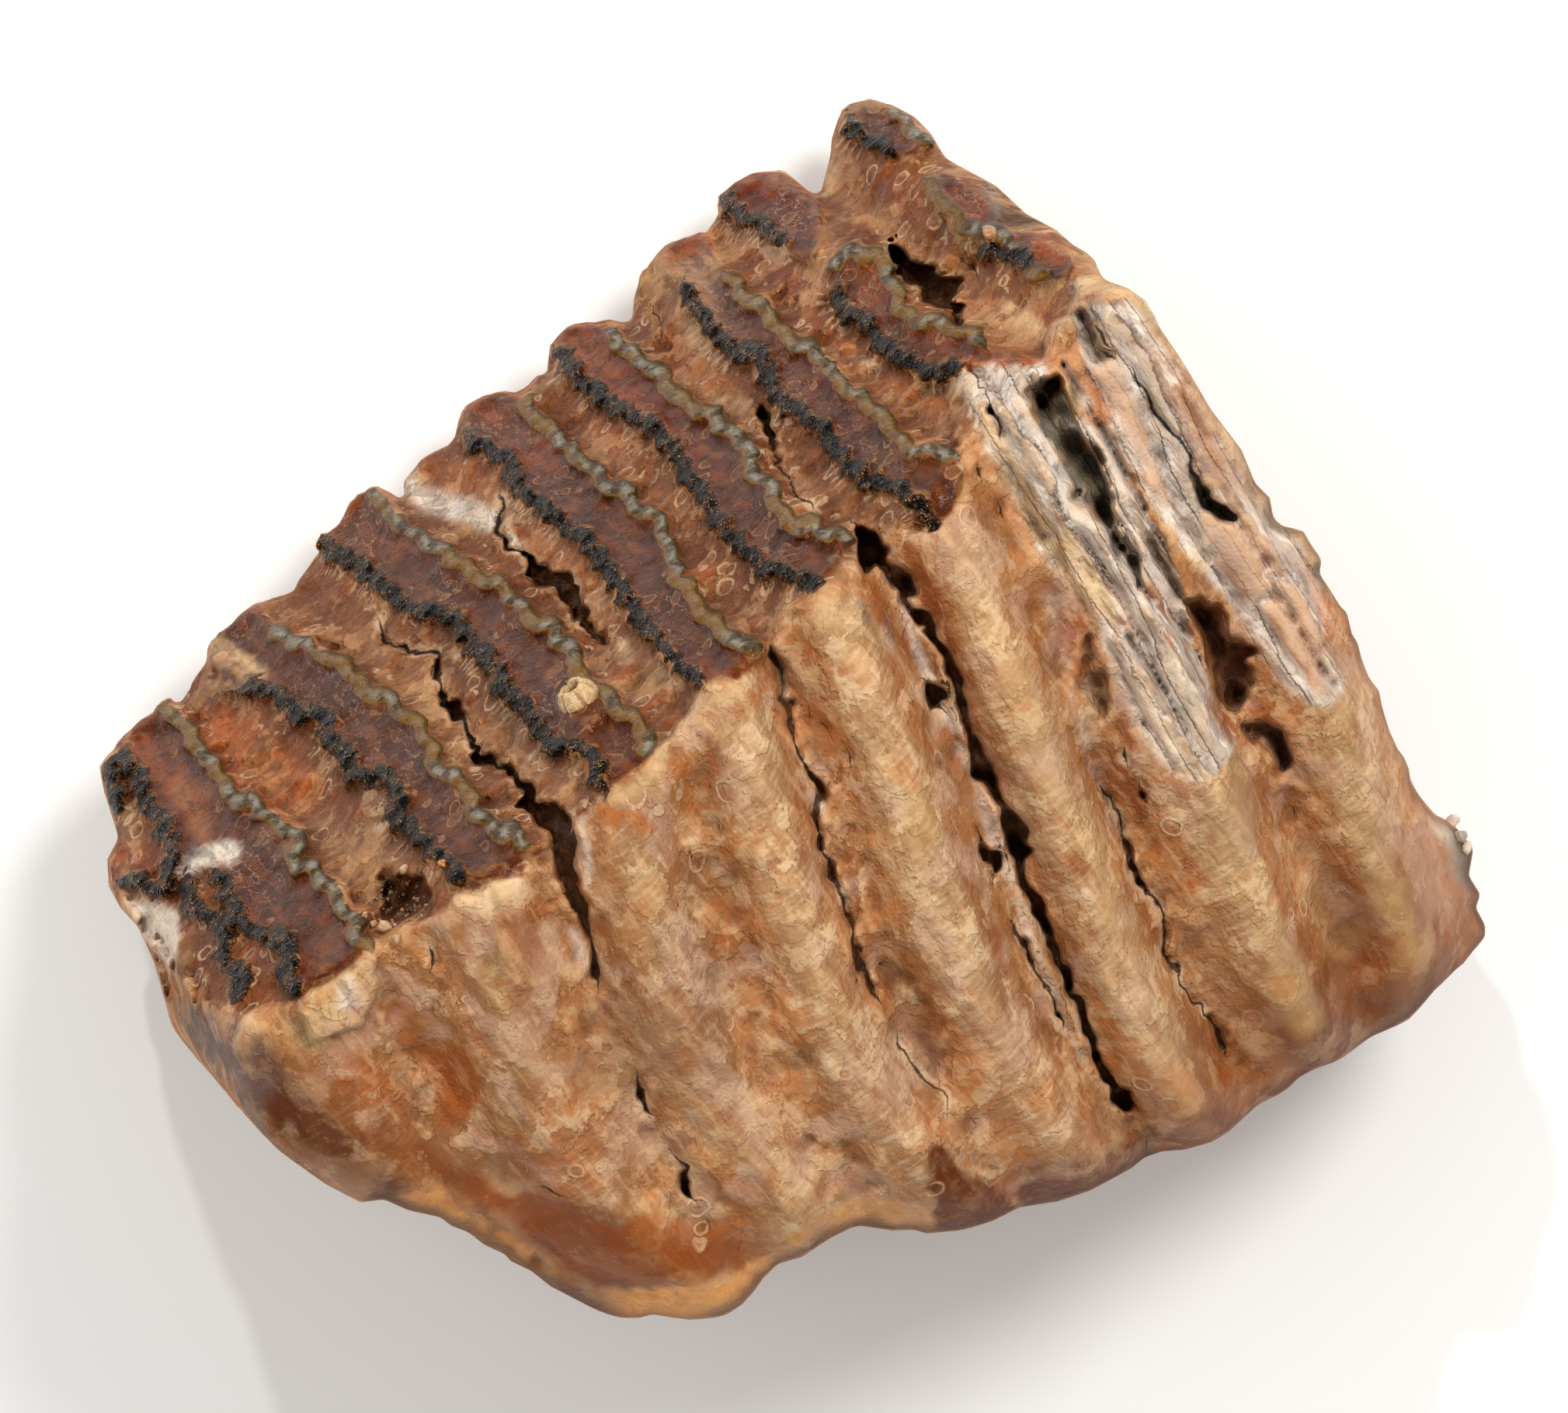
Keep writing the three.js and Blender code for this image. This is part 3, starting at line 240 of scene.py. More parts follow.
PATCHES = [  # thin plates of cementum that stand over their surroundings, or sink below them
    ([(762, 1280), (800, 1268), (842, 1278), (866, 1300), (868, 1340), (852, 1372), (822, 1384), (790, 1420), (766, 1424), (752, 1390), (760, 1330)], 0.45),
    ([(828, 1384), (868, 1400), (878, 1440), (862, 1468), (836, 1452), (822, 1420)], 0.35),
    ([(548, 1222), (590, 1232), (606, 1290), (600, 1350), (574, 1352), (556, 1300)], -0.3),
    ([(386, 1262), (430, 1240), (478, 1240), (486, 1290), (460, 1322), (410, 1336), (384, 1310)], 2.0),
    ([(1062, 1000), (1100, 1040), (1108, 1110), (1090, 1120), (1066, 1060)], 0.5),
    ([(1072, 1130), (1108, 1140), (1132, 1200), (1120, 1240), (1092, 1210)], 0.4),
    ([(1250, 860), (1276, 900), (1290, 950), (1270, 950), (1252, 910)], 0.5),
    ([(500, 1240), (548, 1250), (556, 1330), (520, 1340)], 0.3),
    ([(1200, 1500), (1250, 1492), (1300, 1520), (1290, 1560), (1230, 1570), (1196, 1540)], -0.35),
    ([(930, 1180), (975, 1230), (985, 1300), (950, 1290), (930, 1240)], 0.35),
    ([(1190, 1380), (1240, 1400), (1262, 1450), (1220, 1460), (1186, 1430)], 0.3),
    ([(690, 1590), (780, 1640), (900, 1660), (980, 1640), (990, 1700), (780, 1710), (690, 1640)], -0.7),
    ([(516, 1536), (600, 1548), (700, 1625), (640, 1620), (520, 1560)], -0.6),
    ([(1000, 1600), (1060, 1568), (1160, 1566), (1170, 1590), (1060, 1600)], -0.5),
]
# The worn, polished ground at the front of the base.
WORN = [(205, 1290), (260, 1310), (330, 1340), (400, 1370), (470, 1440), (560, 1470), (640, 1500), (720, 1540), (860, 1570), (960, 1580), (1010, 1600),
        (980, 1720), (700, 1720), (500, 1560), (300, 1480), (180, 1340)]


# ------------------------------------------------------------------ helpers
def smooth(x):
    x = np.clip(x, 0.0, 1.0)
    return x * x * (3.0 - 2.0 * x)


def ramp(x, a, b):
    return smooth((x - a) / (b - a))


def table(tab, x):
    return np.interp(x, tab[0], tab[1])


def soft(tab, x, w):
    return (table(tab, x - w) + table(tab, x + w) + 2 * table(tab, x) + table(tab, x - w / 2) + table(tab, x + w / 2)) / 6


def round_max(a, b, r):
    return np.minimum(np.maximum(a, b), -r) + np.hypot(np.maximum(a + r, 0), np.maximum(b + r, 0))


def smooth_max(a, b, k):
    h = np.clip(0.5 + 0.5 * (a - b) / k, 0, 1)
    return b + (a - b) * h + k * h * (1 - h)


class Lattice:
    """Value noise from one fixed random lattice; sizes are in millimetres."""
    N = 48

    def __init__(self, seed):
        r = np.random.RandomState(seed)
        self.v = r.uniform(-1, 1, (self.N,) * 3).astype(np.float32)
        self.r = r

    def turn(self, k):
        r = np.random.RandomState(100 + k)
        m, _ = np.linalg.qr(r.normal(size=(3, 3)))
        return m.astype(np.float32), r.uniform(0, 40, 3).astype(np.float32)

    def __call__(self, P, size, k=0):
        m, o = self.turn(k)
        s = np.asarray(size, np.float32)
        X = (P / s).astype(np.float32) @ m.T + o if np.ndim(s) == 0 else (P / s).astype(np.float32) + o
        I = np.floor(X).astype(np.int32)
        Fr = X - I
        Fr = Fr * Fr * (3 - 2 * Fr)
        n = self.N
        a = I % n
        b = (I + 1) % n
        v = self.v.reshape(-1)
        x0, x1 = a[..., 0] * (n * n), b[..., 0] * (n * n)
        y0, y1 = a[..., 1] * n, b[..., 1] * n
        z0, z1 = a[..., 2], b[..., 2]
        fx, fy, fz = Fr[..., 0], Fr[..., 1], Fr[..., 2]

        def row(x, y):
            p = v[x + y + z0]
            return p + (v[x + y + z1] - p) * fz
        p = row(x0, y0)
        p = p + (row(x0, y1) - p) * fy
        q = row(x1, y0)
        q = q + (row(x1, y1) - q) * fy
        return p + (q - p) * fx


noise = Lattice(7)


def fractal(P, size, octaves, k=0, gain=0.5):
    total, amp, norm = 0, 1.0, 0.0
    for i in range(octaves):
        total = total + amp * noise(P, size / 2.03 ** i, k + i)
        norm += amp
        amp *= gain
    return total / norm


def to_tooth(P):
    d = P - O
    return d @ L, d @ E, d @ T


def project(P):
    k = PX / (1 - P[..., 2] / EYE)
    return CX + P[..., 0] * k, CY - P[..., 1] * k


# ------------------------------------------------------------------ maps in the frame's pixels
STEP, MX0, MY0, NX, NY = 2.0, -60.0, -60.0, 1071, 971
GX = MX0 + STEP * np.arange(NX)
GY = MY0 + STEP * np.arange(NY)


class Map:
    """Where points fall on the maps; call it with a map to read it there."""

    def __init__(self, px, py):
        x = np.clip((px - MX0) / STEP, 0, NX - 1.001)
        y = np.clip((py - MY0) / STEP, 0, NY - 1.001)
        i, j = x.astype(np.int32), y.astype(np.int32)
        self.fx, self.fy = (x - i).astype(np.float32), (y - j).astype(np.float32)
        self.k = j * NX + i

    def __call__(self, m):
        m = m.reshape(-1)
        k = self.k
        a = m[k] + (m[k + 1] - m[k]) * self.fx
        b = m[k + NX] + (m[k + NX + 1] - m[k + NX]) * self.fx
        return a + (b - a) * self.fy


def curve(points, step=5.0):
    """A smooth curve through the points, with a point every few pixels; other columns go along."""
    p = np.array(points, float)
    if len(p) < 3:
        out = [p[0]]
        n = max(1, int(np.hypot(*(p[1] - p[0])[:2]) / step))
        return np.array([p[0] + (p[1] - p[0]) * i / n for i in range(n + 1)])
    q = np.vstack([2 * p[0] - p[1], p, 2 * p[-1] - p[-2]])
    out = []
    for i in range(1, len(q) - 2):
        n = max(1, int(np.hypot(*(q[i + 1] - q[i])[:2]) / step))
        for s in range(n):
            t = s / n
            v = 0.5 * (2 * q[i] + (q[i + 1] - q[i - 1]) * t + (2 * q[i - 1] - 5 * q[i] + 4 * q[i + 1] - q[i + 2]) * t * t
                       + (3 * q[i] - q[i - 1] - 3 * q[i + 1] + q[i + 2]) * t ** 3)
            v[2:] = q[i][2:] + (q[i + 1][2:] - q[i][2:]) * t
            out.append(v)
    out.append(p[-1])
    return np.array(out)


def near(lines, reach):
    """Maps of the nearest line: distance, length along it, which side, and the third column's value there."""
    D = np.full((NY, NX), reach, np.float32)
    S = np.zeros((NY, NX), np.float32)
    C = np.zeros((NY, NX), np.float32)
    W = np.zeros((NY, NX), np.float32)
    arc = 0.0
    for pts in lines:
        pts = np.asarray(pts, float)
        arc += 37.0
        for a, b in zip(pts[:-1], pts[1:]):
            v = b[:2] - a[:2]
            n = np.hypot(*v)
            if n < 1e-6:
                continue
            i0 = max(0, int((min(a[0], b[0]) - reach - MX0) / STEP))
            i1 = min(NX, int((max(a[0], b[0]) + reach - MX0) / STEP) + 2)
            j0 = max(0, int((min(a[1], b[1]) - reach - MY0) / STEP))
            j1 = min(NY, int((max(a[1], b[1]) + reach - MY0) / STEP) + 2)
            if i0 >= i1 or j0 >= j1:
                arc += n
                continue
            x = GX[None, i0:i1] - a[0]
            y = GY[j0:j1, None] - a[1]
            t = np.clip((x * v[0] + y * v[1]) / (n * n), 0, 1)
            dx, dy = x - t * v[0], y - t * v[1]
            d = np.sqrt(dx * dx + dy * dy)
            hit = d < D[j0:j1, i0:i1]
            D[j0:j1, i0:i1][hit] = d[hit]
            S[j0:j1, i0:i1][hit] = (arc + t * n)[hit]
            C[j0:j1, i0:i1][hit] = np.sign(v[0] * y - v[1] * x)[hit]
            if len(a) > 2:
                W[j0:j1, i0:i1][hit] = (a[2] + t * (b[2] - a[2]))[hit]
            arc += n
    return D, S, C, W


def inside(poly):
    p = np.asarray(poly, float)[:, :2]
    i0 = max(0, int((p[:, 0].min() - MX0) / STEP) - 1)
    i1 = min(NX, int((p[:, 0].max() - MX0) / STEP) + 2)
    j0 = max(0, int((p[:, 1].min() - MY0) / STEP) - 1)
    j1 = min(NY, int((p[:, 1].max() - MY0) / STEP) + 2)
    X, Y = np.meshgrid(GX[i0:i1], GY[j0:j1])
    m = np.zeros(X.shape, bool)
    for a, b in zip(p, np.roll(p, -1, 0)):
        if a[1] == b[1]:
            continue
        c = (a[1] > Y) != (b[1] > Y)
        m ^= c & (X < (b[0] - a[0]) * (Y - a[1]) / (b[1] - a[1]) + a[0])
    out = np.zeros((NY, NX), bool)
    out[j0:j1, i0:i1] = m
    return out


def area(polys, reach, bend=True):
    """Signed distance to the outline of some areas, in pixels, positive inside."""
    rings = []
    for p in polys:
        p = np.array([q[:2] for q in p], float)
        ring = np.vstack([p, p[:1]])
        rings.append(curve(ring, 6.0) if bend else ring)
    D = near(rings, reach)[0]
    m = np.zeros((NY, NX), bool)
    for r in rings:
        m |= inside(r)
    return np.where(m, D, -D)


def pits(seed, n, x0, y0, x1, y1):
    r = np.random.RandomState(seed)
    return np.stack([r.uniform(x0, x1, n), r.uniform(y0, y1, n)], 1)


# ------------------------------------------------------------------ the body without its fine relief
def plate_number(u, h, t):
    U, H, W = u / 60 - 1, h / 45, t / 50
    return sum(c * U ** a * H ** b * W ** d for a, b, d, c in PLATE_NUMBER)


HULL = area([OUTLINE], 200.0, bend=False)      # the outline seen from above


def body(P, parts=False):
    """The smooth body (negative inside), before the outline trims it."""
    u, h, t = to_tooth(P)
    low = smooth((-8 - h) / 22)
    bulge = 2.2 - 2.2 * ((h + 30) / 30) ** 2 * np.where(h < -30, 0.9, 1.0)
    q = plate_number(u, h, t)
    crown = round_max(h, t - soft(UPPER_SIDE, u, 4) - bulge, 2.0)
    ends = round_max(-t - soft(LOWER_SIDE, u, 5) + 0.004 * np.minimum(h + 4, 0) ** 2, table(FRONT_END, h) - u, 8.0)
    ends = round_max(ends, u - table(REAR_END, h) + 0.001 * t ** 2 + 1.1 * (1 + np.cos(2 * np.pi * (t + 0.06 * h) / 15)), 6.0)
    ends = round_max(ends, soft(ROOT_END, u, 5) - h, 9.0)
    f = round_max(crown, ends, 3 + 5 * low)
    side = np.clip((-h - 2) / 6, 0, 1)
    f = f - np.cos(2 * np.pi * q) * (1.8 * side + 0.8 * (1 - side))
    return (f, u, h, t, q, low) if parts else f


def first_surface():
    """The height at which a ray straight down the view meets the smooth body, on a coarse map."""
    step = 8
    xs, ys = GX[::step // 2], GY[::step // 2]
    X, Y = np.meshgrid(xs, ys)
    a, b = (X - CX) / PX, (CY - Y) / PX
    Z = np.full(X.shape, FLOOR, np.float32)
    last = np.full(X.shape, 9.0)
    done = np.zeros(X.shape, bool)
    for z in np.arange(46.0, FLOOR - 3, -3.0):
        P = np.stack([a * (1 - z / EYE), b * (1 - z / EYE), np.full(X.shape, z)], -1)
        f = body(P)
        hit = ~done & (f < 0)
        Z[hit] = (z + 3.0 * (-f / np.maximum(last - f, 1e-3)))[hit]
        done |= hit
        last = f
    # spread to the full map
    yi = np.clip((GY - ys[0]) / step, 0, len(ys) - 1.001)
    xi = np.clip((GX - xs[0]) / step, 0, len(xs) - 1.001)
    j, i = yi.astype(int), xi.astype(int)
    fy, fx = (yi - j)[:, None], (xi - i)[None, :]
    R = Z[j] * (1 - fy) + Z[j + 1] * fy
    return (R[:, i] * (1 - fx) + R[:, i + 1] * fx).astype(np.float32)


TOP = first_surface()
XX, YY = np.meshgrid(GX, GY)
SURF = np.stack([(XX - CX) / PX * (1 - TOP / EYE), (CY - YY) / PX * (1 - TOP / EYE), TOP], -1).astype(np.float32)
MU, MH, MT = to_tooth(SURF)
MQ = plate_number(MU, MH, MT)

# ------------------------------------------------------------------ relief of the side that faces up
N1 = noise(SURF, 1.1, 1)
N2 = noise(SURF, 2.3, 2)
N4 = noise(SURF, 4.5, 3)
N9 = noise(SURF, 9.0, 4)
N07 = noise(SURF, 0.7, 9)
WOBX, WOBY = noise(SURF, 1.3, 5), noise(SURF, 1.3, 6)
WIDX, WIDY = noise(SURF, 4.0, 7), noise(SURF, 4.0, 8)
TORN = Map(XX + 6.5 * WOBX + 6.0 * WIDX, YY + 6.5 * WOBY + 6.0 * WIDY)
RAGGED = Map(XX + 7.0 * WOBX + 15.0 * WIDX, YY + 7.0 * WOBY + 15.0 * WIDY)
LUMPY = Map(XX + 5.5 * WOBX + 2.5 * WIDX, YY + 5.5 * WOBY + 2.5 * WIDY)
GENTLE = Map(XX + 2.0 * WOBX + 4.5 * WIDX, YY + 2.0 * WOBY + 4.5 * WIDY)


def torn(m):
    return TORN(np.ascontiguousarray(m)).astype(np.float32)


def lumpy(m):
    return LUMPY(np.ascontiguousarray(m)).astype(np.float32)


# the layers of the broken plates: along and across them, in millimetres
LONG, WIDE = (0.5 * XX + 0.866 * YY) / PX, (0.866 * XX - 0.5 * YY) / PX
SHEET = np.stack([WIDE, LONG, 0 * LONG], -1)
LAY = (WIDE + 1.5 * noise(SHEET, (5.0, 17.0, 1.0), 31) + 0.55 * noise(SHEET, (2.0, 7.0, 1.0), 32) + 0.15 * noise(SHEET, (0.8, 2.0, 1.0), 33)) / 1.75
LAYN = np.floor(LAY).astype(int)
LAYF = (LAY - LAYN).astype(np.float32)
HASH = np.random.RandomState(12).uniform(-1, 1, 400).astype(np.float32)

edge = np.array(NEAR_EDGE, float)
CHEW = area([list(map(tuple, curve(edge, 8))) + [(2300, 100), (2300, -300), (-300, -300), (-300, 1120)]], 60.0, bend=False)
CHEW = torn(CHEW) + 3.0 * N2
chew = ramp(CHEW, -6, 4)

DKD, DKS, DKC, _ = near([curve(v) for v in DARK.values()], 70.0)
GRD, GRS, GRC, _ = near([curve(v) for v in GREY.values()], 70.0)


def waved(D, S, C, amp, period):
    """Signed distance to a line that is folded to and fro."""
    return np.where(C == 0, 1, C) * D + amp * np.sin(2 * np.pi * S / period + 2.4 * N9 + 1.4 * N4) * np.exp(-(D / 40.0) ** 2)


GRX = GENTLE(np.ascontiguousarray(waved(GRD, GRS, GRC, 4.5, 43.0))).astype(np.float32)
DKX = lumpy(waved(DKD, DKS, DKC, 3.0, 29.0))
DKD = np.maximum(np.abs(DKX), lumpy(DKD) - 9)
GRD = np.maximum(np.abs(GRX), GENTLE(GRD).astype(np.float32) - 9)
PLATE = lumpy(area(PLATES.values(), 60.0))
deep = np.zeros((NY, NX), np.float32)      # how deep the cracks go, in millimetres
CRD = np.full((NY, NX), 60.0, np.float32)  # distance outside the cracks' walls, in pixels
CKS = np.full((NY, NX), 3.0, np.float32)   # signed distance from a crack's middle, in millimetres
CKW = np.zeros((NY, NX), np.float32)       # its half width there
crack_items = [(CRACK[k], wmin, dep) for k, (wmin, dep) in CRACKS.items() if k in CRACK]
crack_items += [(p, 0, d) for p, d in EXTRA_CRACKS.values()]
for pts, wmin, dep in crack_items:
    c = curve([(p[0], p[1], max(p[2], 0.8 * wmin)) for p in pts], 4.0)
    c[:, 2] *= 1 + 0.15 * ramp(c[:, 2], 9, 16)
    s = np.r_[0, np.cumsum(np.hypot(*np.diff(c[:, :2], axis=0).T))]
    c[:, 2] *= np.minimum(1, 0.30 + np.minimum(s, s[-1] - s) / 26)
    D, S, C, W = near([c], 45.0)
    far = D >= 44.9
    side, D, W = torn(C * D), torn(D), torn(W)
    jag = 1.2 * N1 + 1.3 * N07 + 1.3 * N2
    half = 0.5 * W * (1 + 0.25 * N4)
    gap = np.where(far, 60.0, D - half - jag * np.minimum(W / 9, 1.7))
    nearer = gap < CRD
    CKS[nearer] = (side / PX)[nearer]
    CKW[nearer] = (half / PX)[nearer]
    CRD = np.minimum(CRD, gap)
    reach_ = np.where(far, 60.0, D - np.maximum(half, 4.6) - jag * np.clip(W / 12, 1, 1.7))
    deep = np.maximum(deep, dep * np.clip((W - 4) / 7, 0.12, 1) * ramp(-reach_, -3.0, 3.0) * (0.8 + 0.35 * N4 + 0.25 * N1))

HOLE = np.full((NY, NX), -60.0, np.float32)
for poly, dep in HOLLOWS:
    A = RAGGED(area([poly], 60.0)).astype(np.float32) + 3.0 * N1 + 3.0 * N07
    HOLE = np.maximum(HOLE, A)
    deep = np.maximum(deep, dep * (0.45 * ramp(A, -3.0, 3.0) + 0.55 * ramp(A, 0.0, 16.0)) * (0.85 + 0.35 * N2 + 0.25 * HASH[LAYN % 400]))
px_, py_, rx_, ry_ = PIT
PITD = RAGGED(1 - np.hypot((XX - px_) / rx_, (YY - py_) / ry_)).astype(np.float32) + 0.12 * N2 + 0.10 * N1
deep = np.maximum(deep, 3.0 * ramp(PITD, -0.1, 0.6) + ramp(PITD, 0.0, 0.3) * (0.8 * N1 + 0.9 * N2))
COREA = torn(area([CORE], 60.0)) + 3 * N1 + 3 * N2
REARA = torn(area([REAR_STRIPS], 60.0)) + 3 * N2
PEACHA = area(PEACH, 60.0)

# chewing face: low cementum, hollow dentine, standing enamel
STEP5 = ramp(noise(SURF, 5.0, 16) + 0.35 * N2 + 0.2 * N1, -0.05, 0.05)
ground = -1.25 + 0.45 * N9 + 0.34 * N4 + 0.36 * (STEP5 - 0.5) + 0.10 * N2
basin = -0.40 - 0.85 * ramp(PLATE, 4, 34) + 0.20 * N9 + 0.14 * N4 + 0.05 * N2
face = ground + (basin - ground) * ramp(PLATE, -7, 5)
wd = 12.0 + 2.5 * N2 + 1.5 * N1
en_d = np.clip(1 - (DKD / (wd + 4.0)) ** 2.4, 0, 1)
wg = 11.5 + 1.6 * N2
en_g = np.clip(1 - (GRD / (wg + 3.0)) ** 3.2, 0, 1)
face = face + (0.15 + 0.44 * N1 + 0.40 * N2 - face) * en_d ** 0.7
face = np.maximum(face, face + (0.10 + 0.12 * N2 + 0.14 * np.sin(2 * np.pi * GRS / 19 + 3 * N4) - face) * en_g ** 0.8)
crest = np.clip(np.maximum(en_d, en_g), 0, 1)

# long side: columns, furrows, flakes
flank = np.zeros((NY, NX), np.float32)
for pts, half, high in RIBS.values():
    D, S, C, W = near([curve(pts, 8)], 110.0)
    d = D / PX / half
    flank += high * np.exp(-d ** 2.6) * (1 - ramp(D, 80, 109))
for pts, half, high in GROOVES:
    D, S, C, W = near([curve(pts, 8)], 110.0)
    flank += high * np.exp(-(D / PX / half) ** 2) * (1 + 0.35 * N4) * (1 - ramp(D, 80, 109))
for pts, half, high in FLAPS:
    D, S, C, W = near([curve(pts, 6)], 40.0)
    flank += high * np.exp(-(D / PX / half) ** 2) * (0.75 + 0.5 * N2) * (1 - ramp(D, 30, 39))
for pts, half, high in STRIPS:
    D, S, C, W = near([curve(pts, 6)], 60.0)
    flank += high * np.exp(-((D + 2.5 * N1) / PX / half) ** 2) * (0.8 + 0.4 * N2) * (1 - ramp(D, 45, 59))
core = ramp(COREA, -4, 5)
rear = ramp(REARA, -6, 6) * (1 - core)
peach = ramp(torn(PEACHA), -2, 4)
flank += core * (-0.5 + 1.15 * (LAYF - 0.5) + 0.75 * HASH[LAYN % 400] + 0.25 * N2 + 0.22 * N1)
flank += rear * (-0.7 + (1 - 0.8 * peach) * (0.75 * (LAYF - 0.5) + 0.5 * HASH[(LAYN + 77) % 400] + 0.3 * N2 + 0.15 * N1) + 0.15 * N4)
flank += peach * 1.0
q_wave = np.cos(2 * np.pi * (MQ + 0.02 * N9))
low_ground = (1 - ramp(q_wave, -0.5, 0.6)) * (1 - core) * (1 - rear) * ramp(MH, -95, -75)
flank += low_ground * (1 - 0.8 * ramp(area([WORN], 60.0), -25, 25)) * (0.50 * (STEP5 - 0.5) + 0.30 * N4 + 0.14 * N2)
flank += (1 - core) * (1 - rear) * (0.30 * (ramp(N9 + 0.4 * N4 + 0.2 * N1, 0.12, 0.2) - 0.5)) * 0.6
for poly, high in PATCHES:
    flank += high * ramp(torn(area([poly], 40.0)), -1.5, 1.5) * (1 + 0.2 * N4)
polish = np.maximum(ramp(MH, -66, -82) * (MT > 0), ramp(area([WORN], 60.0), -25, 25))
DOWN = np.stack([MU, MH * 0.14, MT], -1)
fl_ = noise(DOWN, 3.4, 61)
flute = 0.85 * (0.45 - np.abs(fl_)) + 0.50 * (0.40 - np.abs(noise(DOWN, 1.9, 62))) + 0.35 * (ramp(noise(DOWN, 5.5, 63) + 0.25 * N2, 0.0, 0.07) - 0.5)
flank += flute * (1 - core) * (1 - rear) * (1 - 0.7 * polish)
relief = flank * (1 - chew) + face * chew
# how rough the surface is, in millimetres
dent = ramp(PLATE, 0, 8) * chew
rough = 0.21 + 0 * N1
rough = rough + chew * (0.33 * (1 - ramp(PLATE, -8, 2)) - 0.14)
rough = rough + (1 - chew) * 0.10 * (1 - ramp(q_wave, -0.6, 0.4))
rough = rough + core * 0.25 + rear * (0.2 - 0.35 * peach)
rough = rough * (1 - 0.75 * polish) * (1 - 0.45 * ramp(q_wave, 0.0, 0.9) * (1 - chew))
rough = np.where(crest > 0.1, 0.14, rough) + ramp(PITD, -0.1, 0.2) * 0.5
rough = rough + 0.7 * ramp(HOLE, 0, 8) + 0.4 * np.exp(-(np.maximum(CRD, 0) / 9.0) ** 2)
relief = relief + 0.22 * np.exp(-((CRD - 5) / 5.0) ** 2) * (0.5 + N4)
at_shell = ramp(np.hypot(XX - 747, YY - 902), 46, 27)
relief = relief + (-0.1 - relief) * at_shell
rough = rough * (1 - 0.7 * at_shell)
deep = deep * (1 - at_shell)
relief = relief - deep
relief = relief.astype(np.float32)
rough = rough.astype(np.float32)
deepest = np.zeros((NY, NX), np.float32)
w = 6
pad = np.pad(deep, w, mode='edge')
for dy in range(0, 2 * w + 1, 3):
    for dx in range(0, 2 * w + 1, 3):
        deepest = np.maximum(deepest, pad[dy:dy + NY, dx:dx + NX])


def seen(P, at):
    """1 where the view from above reaches, 0 well behind that surface."""
    return 1 - ramp(at(TOP) - P[..., 2], 13.0, 21.0)


def solid(P):
    """The whole surface (negative inside)."""
    f, u, h, t, q, low = body(P, True)
    at = Map(*project(P))
    m = seen(P, at)
    n1 = noise(P, 1.25, 11)
    n2 = noise(P, 2.7, 12)
    n5 = noise(P, 5.5, 13)
    n12 = noise(P, 13.0, 14)
    r = at(rough)
    n07 = noise(P, 0.75, 17)
    fine = n07 * 0.12 + n1 * 0.46 + n2 * 0.50 + n5 * 0.34
    vis = at(relief) + r * fine
    g = np.abs(np.mod(q + 0.035 * n5, 1) - 0.5) * 15.0
    n9 = noise(P, 9.0, 15)
    g2 = np.abs(np.mod(q + 0.06 * n5 + 0.03 * n2, 1) - 0.5) * 15.0
    step = ramp(n5 + 0.35 * n2 + 0.2 * n1, -0.05, 0.05) - 0.5
    hid = -1.3 * np.exp(-(g / 1.6) ** 2) * ramp(n12, -0.6, 0.4) + 0.55 * fine + 0.7 * n12 - 0.3 + 0.45 * step * np.exp(-(g / 3.5) ** 2)
    hid = hid - 2.8 * np.exp(-(g2 / 0.5) ** 2) * ramp(n9 + 0.5 * n2, 0.1, 0.4) * ramp(-h, 4, 14)
    f = f - m * vis - (1 - m) * hid
    k = 1 - P[..., 2] / EYE
    wall = -at(HULL) / PX * k + (1 - m) * (0.9 - 0.9 * np.cos(2 * np.pi * q) + 0.35 * fine + 0.25)
    f = round_max(f, wall, 1.2 + 4.8 * low)
    return np.maximum(f, FLOOR - P[..., 2])


